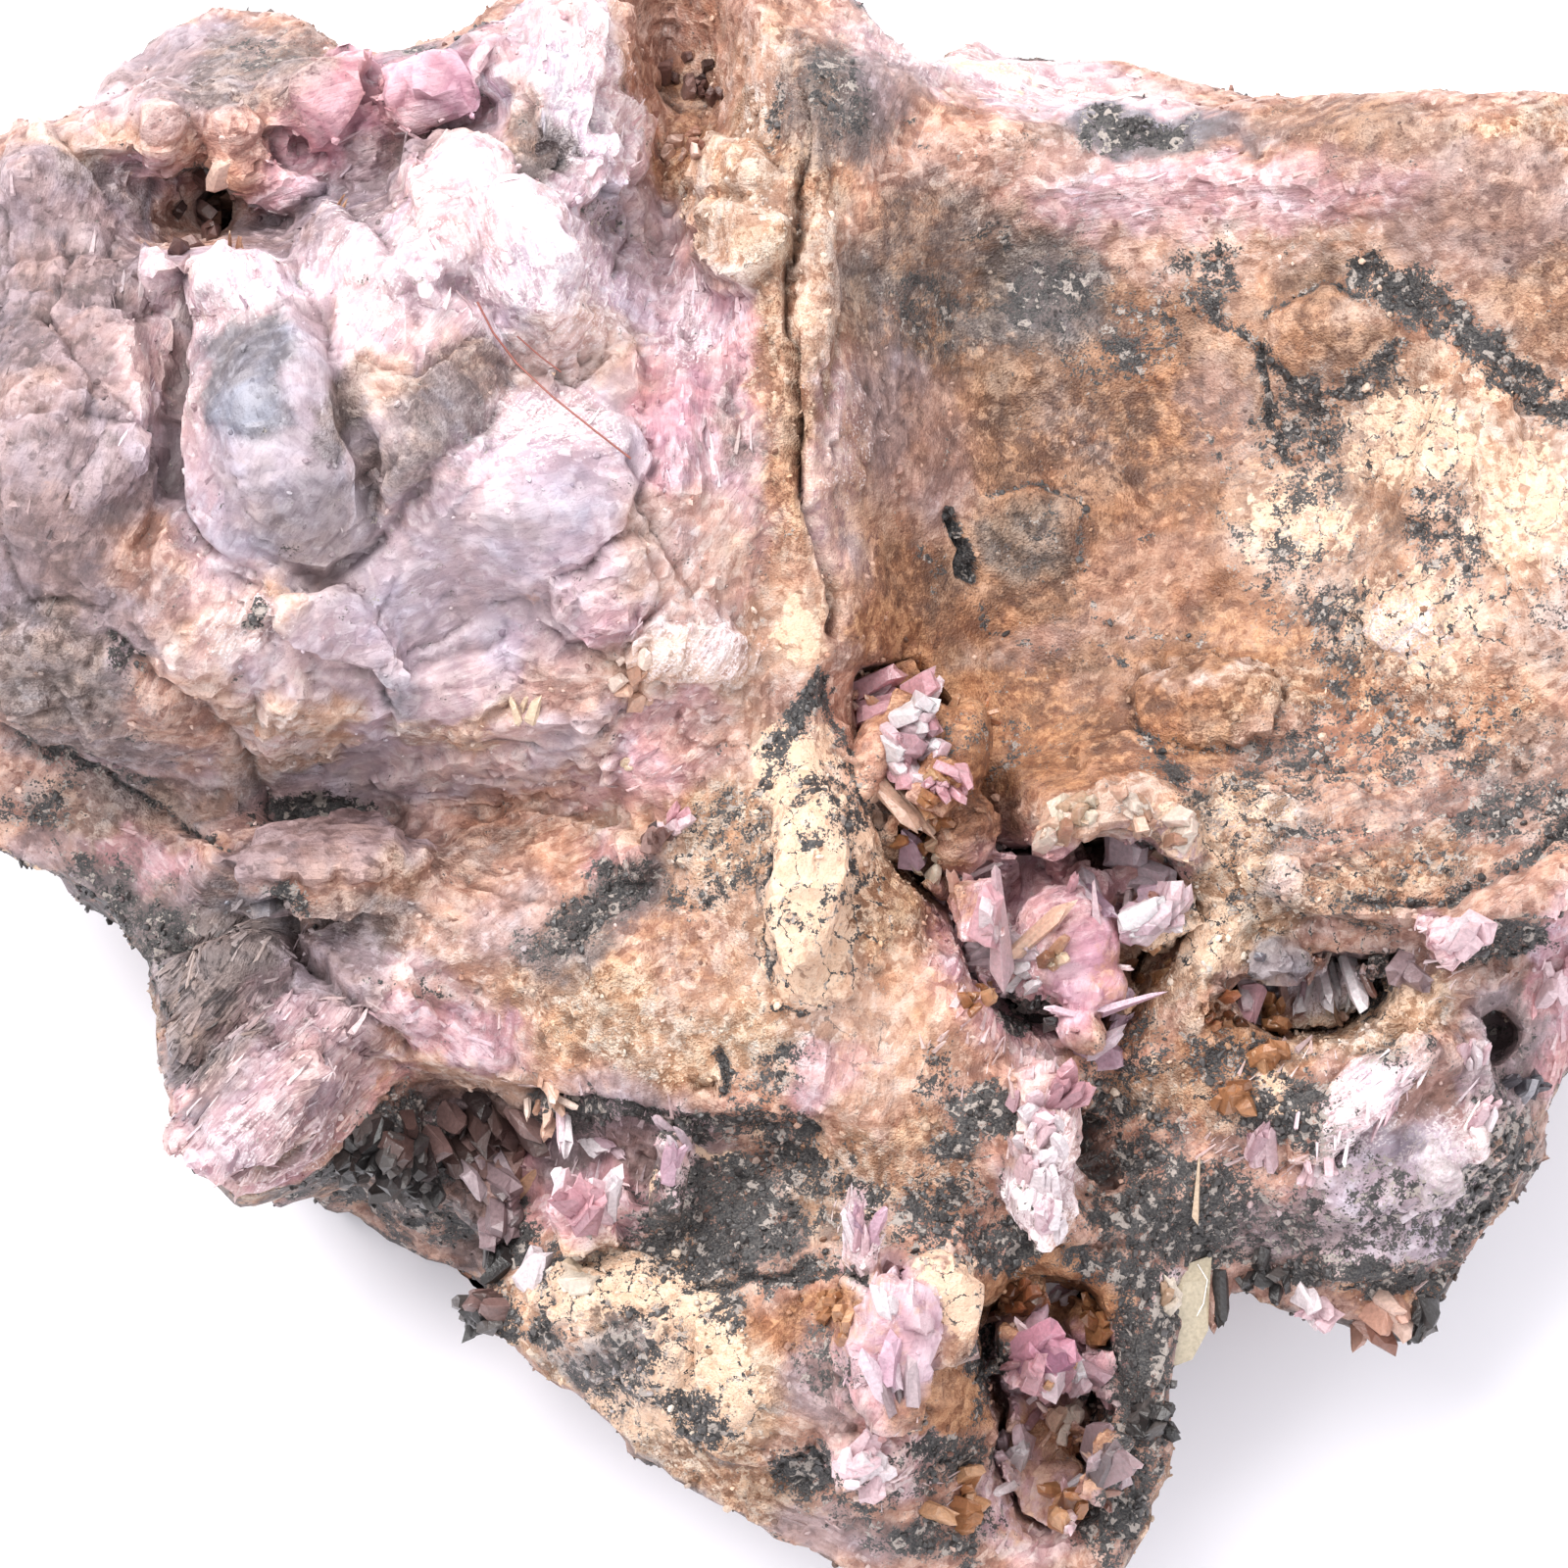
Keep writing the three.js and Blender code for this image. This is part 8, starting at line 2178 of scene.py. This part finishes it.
@dataclass
class Druse:
    """Crystals that stand in groups, and a crust of small ones under them.

    Args:
        name: the piece's name.
        groups: the rows of crystals.
        small: how many small crystals cover the crust.
        finish: their surface.
        slot: the material slot meant for them; not used.
        seed: for their places.
    """

    name: str
    groups: list
    small: int
    finish: CrystalFinish
    slot: str
    seed: int

    def build(self, surfaces: list[Surface], crust: Surface | None) -> bpy.types.Object:
        """Sets the crystals on the rock.

        Args:
            surfaces: the skins that they may stand on.
            crust: the skin that the small ones cover.

        Returns:
            The joined crystals.
        """
        chance = np.random.default_rng(self.seed)
        grown = [self.grow(row, surfaces, chance) for row in self.groups for _ in range(row[4])]
        if crust is not None:
            high = np.flatnonzero(crust.normals[:, 2] > 0.0)
            for k in chance.choice(high, self.small, replace=False):
                grown.append(self.grow_small(crust, k, chance))
        feet, ways, sizes, tints = (np.array(part) for part in zip(*grown))
        ways = unit(ways)
        across = unit(np.cross(ways, chance.normal(0, 1, ways.shape)))
        top = np.cross(ways, across)
        moves = np.stack([ways * sizes[:, :1], across * sizes[:, 1:2], top * sizes[:, 2:]], axis=2)
        spots = feet + ways * sizes[:, :1] * 0.22
        slim = sizes[:, 1] / sizes[:, 0]
        kinds = (
            (Shape.BLOCK, slim > STUBBY),
            (Shape.PRISM, (slim <= STUBBY) & (slim > SLIM)),
            (Shape.SPLINTER, slim <= SLIM),
        )
        batches = [
            Copies(shape, moves[chosen], spots[chosen], tints[chosen], 0.18) for shape, chosen in kinds
        ]
        piece = join_copies(self.name, batches, self.seed)
        piece.data.materials.append(self.finish.material())
        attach(piece, "root")
        log.info("%s: %d faces", self.name, len(piece.data.polygons))
        return piece

    def grow(self, row: tuple, surfaces: list[Surface], chance: np.random.Generator) -> tuple:
        """Grows one crystal of a group.

        Args:
            row: the group's row.
            surfaces: the skins that it may stand on.
            chance: where its chances come from.

        Returns:
            Its foot, the way it points, its length, width and height, and its colour.
        """
        name, x, y, spread, count, length, width, turn, lean = row
        spot = np.array([x, y]) + chance.normal(0, 0.5, 2) * spread
        foot, out = self.foot(surfaces, spot, chance)
        loose = 3 if count == 1 else 12 + 26 * fade(np.array(width / length), 0.3, 0.8)
        angle = math.radians(turn + chance.normal(0, loose))
        tilt = math.radians(np.clip(lean + chance.normal(0, loose / 3), 0, 85))
        way = math.cos(tilt) * (math.cos(angle) * RIGHT + math.sin(angle) * UP) + math.sin(tilt) * EYE
        way = way + (0.2 * out if count > 4 else 0)
        scale = 1 if count == 1 else chance.uniform(0.6, 1.25)
        size = (length * scale, width * scale * chance.uniform(0.8, 1.2), width * scale * 0.7)
        return foot, way, size, self.tint(STUFF[name].tones(), chance)

    def grow_small(self, crust: Surface, k: int, chance: np.random.Generator) -> tuple:
        """Grows one small crystal on the crust.

        Args:
            crust: the skin that it grows on.
            k: the number of the point under it.
            chance: where its chances come from.

        Returns:
            Its foot, the way it points, its length, width and height, and its colour.
        """
        way = crust.normals[k] + chance.normal(0, 0.5, 3)
        length = chance.uniform(0.5, 1.3)
        size = (length, length * chance.uniform(0.3, 0.6), length * chance.uniform(0.25, 0.4))
        return crust.places[k], way, size, self.tint(crust.tones[k], chance)

    @staticmethod
    def tint(tones: np.ndarray, chance: np.random.Generator) -> np.ndarray:
        """Picks one of three tones and varies it a little."""
        return tones.reshape(3, 3)[chance.choice(3, p=CRYSTAL_MIX)] * chance.uniform(0.9, 1.1)

    @staticmethod
    def foot(
        surfaces: list[Surface], spot: np.ndarray, chance: np.random.Generator
    ) -> tuple[np.ndarray, np.ndarray]:
        """Finds where a crystal stands, and the way that the surface faces there.

        Args:
            surfaces: the skins that it may stand on, the likeliest first.
            spot: the place on the drawing.
            chance: where its chances come from.

        Returns:
            The place in mm, and the surface's normal there.
        """
        best = None
        for surface in surfaces:
            found = surface.near(spot[0], spot[1])
            k = chance.choice(found)
            away = np.hypot(*(surface.sheet[k] - spot))
            if best is None or away < best[0] - MUCH_NEARER:
                best = (away, surface.places[k], surface.normals[k])
        return best[1], best[2]


@dataclass
class Hair:
    """A stray thread that lies on the face.

    Args:
        name: its name.
        points: where it runs on the drawing.
        thick: its thickness in mm.
        shown: its colour.
    """

    name: str
    points: list
    thick: float
    shown: str

    def build(self, surface: Surface) -> None:
        """Lays the thread on the surface.

        Args:
            surface: the surface under it.
        """
        line = []
        for (x1, y1), (x2, y2) in zip(self.points[:-1], self.points[1:]):
            steps = max(2, int(math.hypot(x2 - x1, y2 - y1) / THREAD_STEP))
            line += [(x1 + (x2 - x1) * k / steps, y1 + (y2 - y1) * k / steps) for k in range(steps)]
        line.append(self.points[-1])
        heights = [(surface.places[surface.near(x, y, THREAD_REACH)] @ EYE).max() for x, y in line]
        shares = np.ones(2 * THREAD_SPAN + 1) / (2 * THREAD_SPAN + 1)
        level = [max(heights[max(0, k - THREAD_SPAN) : k + THREAD_SPAN + 1]) for k in range(len(heights))]
        level = np.convolve(np.pad(level, THREAD_SPAN, "edge"), shares, "valid") + THREAD_LIFT
        spots = [Drawing.lift(x, y, top) for (x, y), top in zip(line, level)]
        curve = bpy.data.curves.new(self.name, "CURVE")
        curve.dimensions = "3D"
        curve.bevel_depth = self.thick / 2 * MM
        curve.bevel_resolution = 1
        curve.use_fill_caps = True
        spline = curve.splines.new("POLY")
        spline.points.add(len(spots) - 1)
        for point, spot in zip(spline.points, spots):
            point.co = (*(spot * MM), 1)
        piece = bpy.data.objects.new(self.name, curve)
        bpy.context.scene.collection.objects.link(piece)
        make_active(piece)
        bpy.ops.object.convert(target="MESH")
        tints = np.tile(linear(self.shown), (len(piece.data.vertices), 1))
        add_attribute(piece.data, "tint", "FLOAT_COLOR", "POINT", tints)
        piece.data.materials.clear()
        piece.data.materials.append(CrystalFinish(self.name, 0.5).material())
        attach(piece, "root")


@dataclass
class Studio:
    """The pale floor, the soft lights and the camera.

    Args:
        floor_size: in mm.
        sky: strength of the light from all around.
        key: power of the large lamp above the back, in W.
    """

    floor_size: float = 1600
    sky: float = 1.03
    key: float = 4.6

    def build(self) -> None:
        """Sets up the studio."""
        self.floor()
        self.lights()
        self.camera()

    def floor(self) -> None:
        """Lays the floor."""
        deselect()
        bpy.ops.mesh.primitive_plane_add(size=self.floor_size * MM, location=(0, 0, 0))
        floor = bpy.context.object
        floor.name = "floor"
        bench = NodeBench("floor")
        bench.shader.inputs["Base Color"].default_value = colour("fbf9ff")
        bench.shader.inputs["Roughness"].default_value = 0.9
        floor.data.materials.append(bench.material)

    def lights(self) -> None:
        """Hangs the lamps."""
        world = bpy.data.worlds.new("studio")
        world.use_nodes = True
        world.node_tree.nodes["Background"].inputs[0].default_value = (0.98, 0.98, 1.0, 1)
        world.node_tree.nodes["Background"].inputs[1].default_value = self.sky
        bpy.context.scene.world = world
        for name, place, size, power, tone in (
            ("key", (-190, 210, 450), 440, self.key, (1.0, 0.985, 0.97)),
            ("fill", (260, -260, 380), 300, self.key * 0.15, (0.95, 0.96, 1.0)),
        ):
            lamp = bpy.data.lights.new(name, "AREA")
            lamp.size = size * MM
            lamp.energy = power
            lamp.color = tone
            hung = bpy.data.objects.new(name, lamp)
            hung.location = Vector(place) * MM
            hung.rotation_euler = (-hung.location).to_track_quat("-Z", "Y").to_euler()
            bpy.context.scene.collection.objects.link(hung)
        bpy.context.scene.view_settings.view_transform = "Standard"

    def camera(self) -> None:
        """Places the camera where the face looks as it is drawn."""
        aim = Vector(DRAWING_HOME) * MM
        back = Vector(EYE)
        lens = bpy.data.cameras.new("camera")
        lens.sensor_width = 36
        lens.lens = 36 * VIEW_DISTANCE / VIEW_WIDTH
        camera = bpy.data.objects.new("camera", lens)
        camera.location = aim + back * VIEW_DISTANCE * MM
        camera.rotation_euler = (-back).to_track_quat("-Z", "Y").to_euler()
        lens.clip_start, lens.clip_end = 0.01, 10
        bpy.context.scene.collection.objects.link(camera)
        bpy.context.scene.camera = camera


def main() -> None:
    """Builds the specimen's looks and the studio."""
    logging.basicConfig(level=logging.INFO, format="%(message)s")
    lump = Skin("specimen_body", "rock_lump", "rock", 0.5, True, 196000, lumps=ROCK_LUMPS).build()
    smooth = {"voxel": 0.2, "split": False, "walls": False, "sheaf": 1.6}
    cavity, vug, pit = (
        Skin(*names, most=most, lumps=lumps, **smooth).build()
        for names, most, lumps in (
            (("cavity_crystals", "cavity_crust", "pink_crystals"), 30000, CAVITY_LUMPS),
            (("lower_vug_crystals", "lower_vug_crust", "stained_crystals"), 18000, VUG_LUMPS),
            (("right_pit_crystals", "right_pit_crust", "pale_crystals"), 9000, ()),
        )
    )

    pink = CrystalFinish("pink_crystal", 0.3, 0.1, 0.3)
    stained = CrystalFinish("stained_crystal", 0.35, 0.1, 0.2)
    pale = CrystalFinish("pale_crystal", 0.3, 0.1, 0.3)
    plain = CrystalFinish("rim_crystal", 0.4)
    Druse("cavity_blades", PINK_CRYSTALS, 60, pink, "pink_crystals", 11).build([cavity, lump], cavity)
    Druse("lower_vug_blades", VUG_CRYSTALS, 40, stained, "stained_crystals", 12).build([vug, lump], vug)
    Druse("right_pit_blades", PIT_CRYSTALS, 25, pale, "pale_crystals", 13).build([pit, lump], pit)
    Druse("rim_crystals", RIM_CRYSTALS, 0, plain, "rock", 14).build([lump], None)

    flake, white = CrystalFinish("fibre_flake", 0.45), CrystalFinish("white_splinter", 0.4)
    crumb, black = CrystalFinish("crumb", 0.6), CrystalFinish("black_grain", 0.4)
    for litter in (
        Litter("fibre_flakes", Shape.FLAKE, 1400, (0.4, 1.2), 0.18, 0.4, (-5, 4), 0.75, flake, "rock", 1),
        Litter("white_splinters", Shape.SPLINTER, 600, (0.3, 1.0), 0.2, 0.8, (2, 22), 0.45, white, "rock", 4),
        Litter("crumbs", Shape.CRUMB, 6500, (0.12, 0.42), 0.8, 0.6, (0, 90), 0.45, crumb, "rock", 2),
        Litter("black_grains", Shape.CRUMB, 6000, (0.12, 0.5), 0.8, 0.7, (0, 90), 0.4, black, "rock", 3),
    ):
        litter.build(lump)

    stray = [(494, 319), (510, 350), (533, 380), (570, 415), (612, 449), (648, 477)]
    Hair("stray_thread", stray, 0.09, "8c4f45").build(lump)
    Hair("thread_branch", [(533, 352), (556, 372), (577, 388)], 0.07, "8c4f45").build(lump)
    Hair("white_thread", [(1222, 1290), (1232, 1306), (1228, 1330), (1216, 1352)], 0.06, "f4eeea").build(lump)
    Studio().build()


if __name__ == "__main__":
    main()
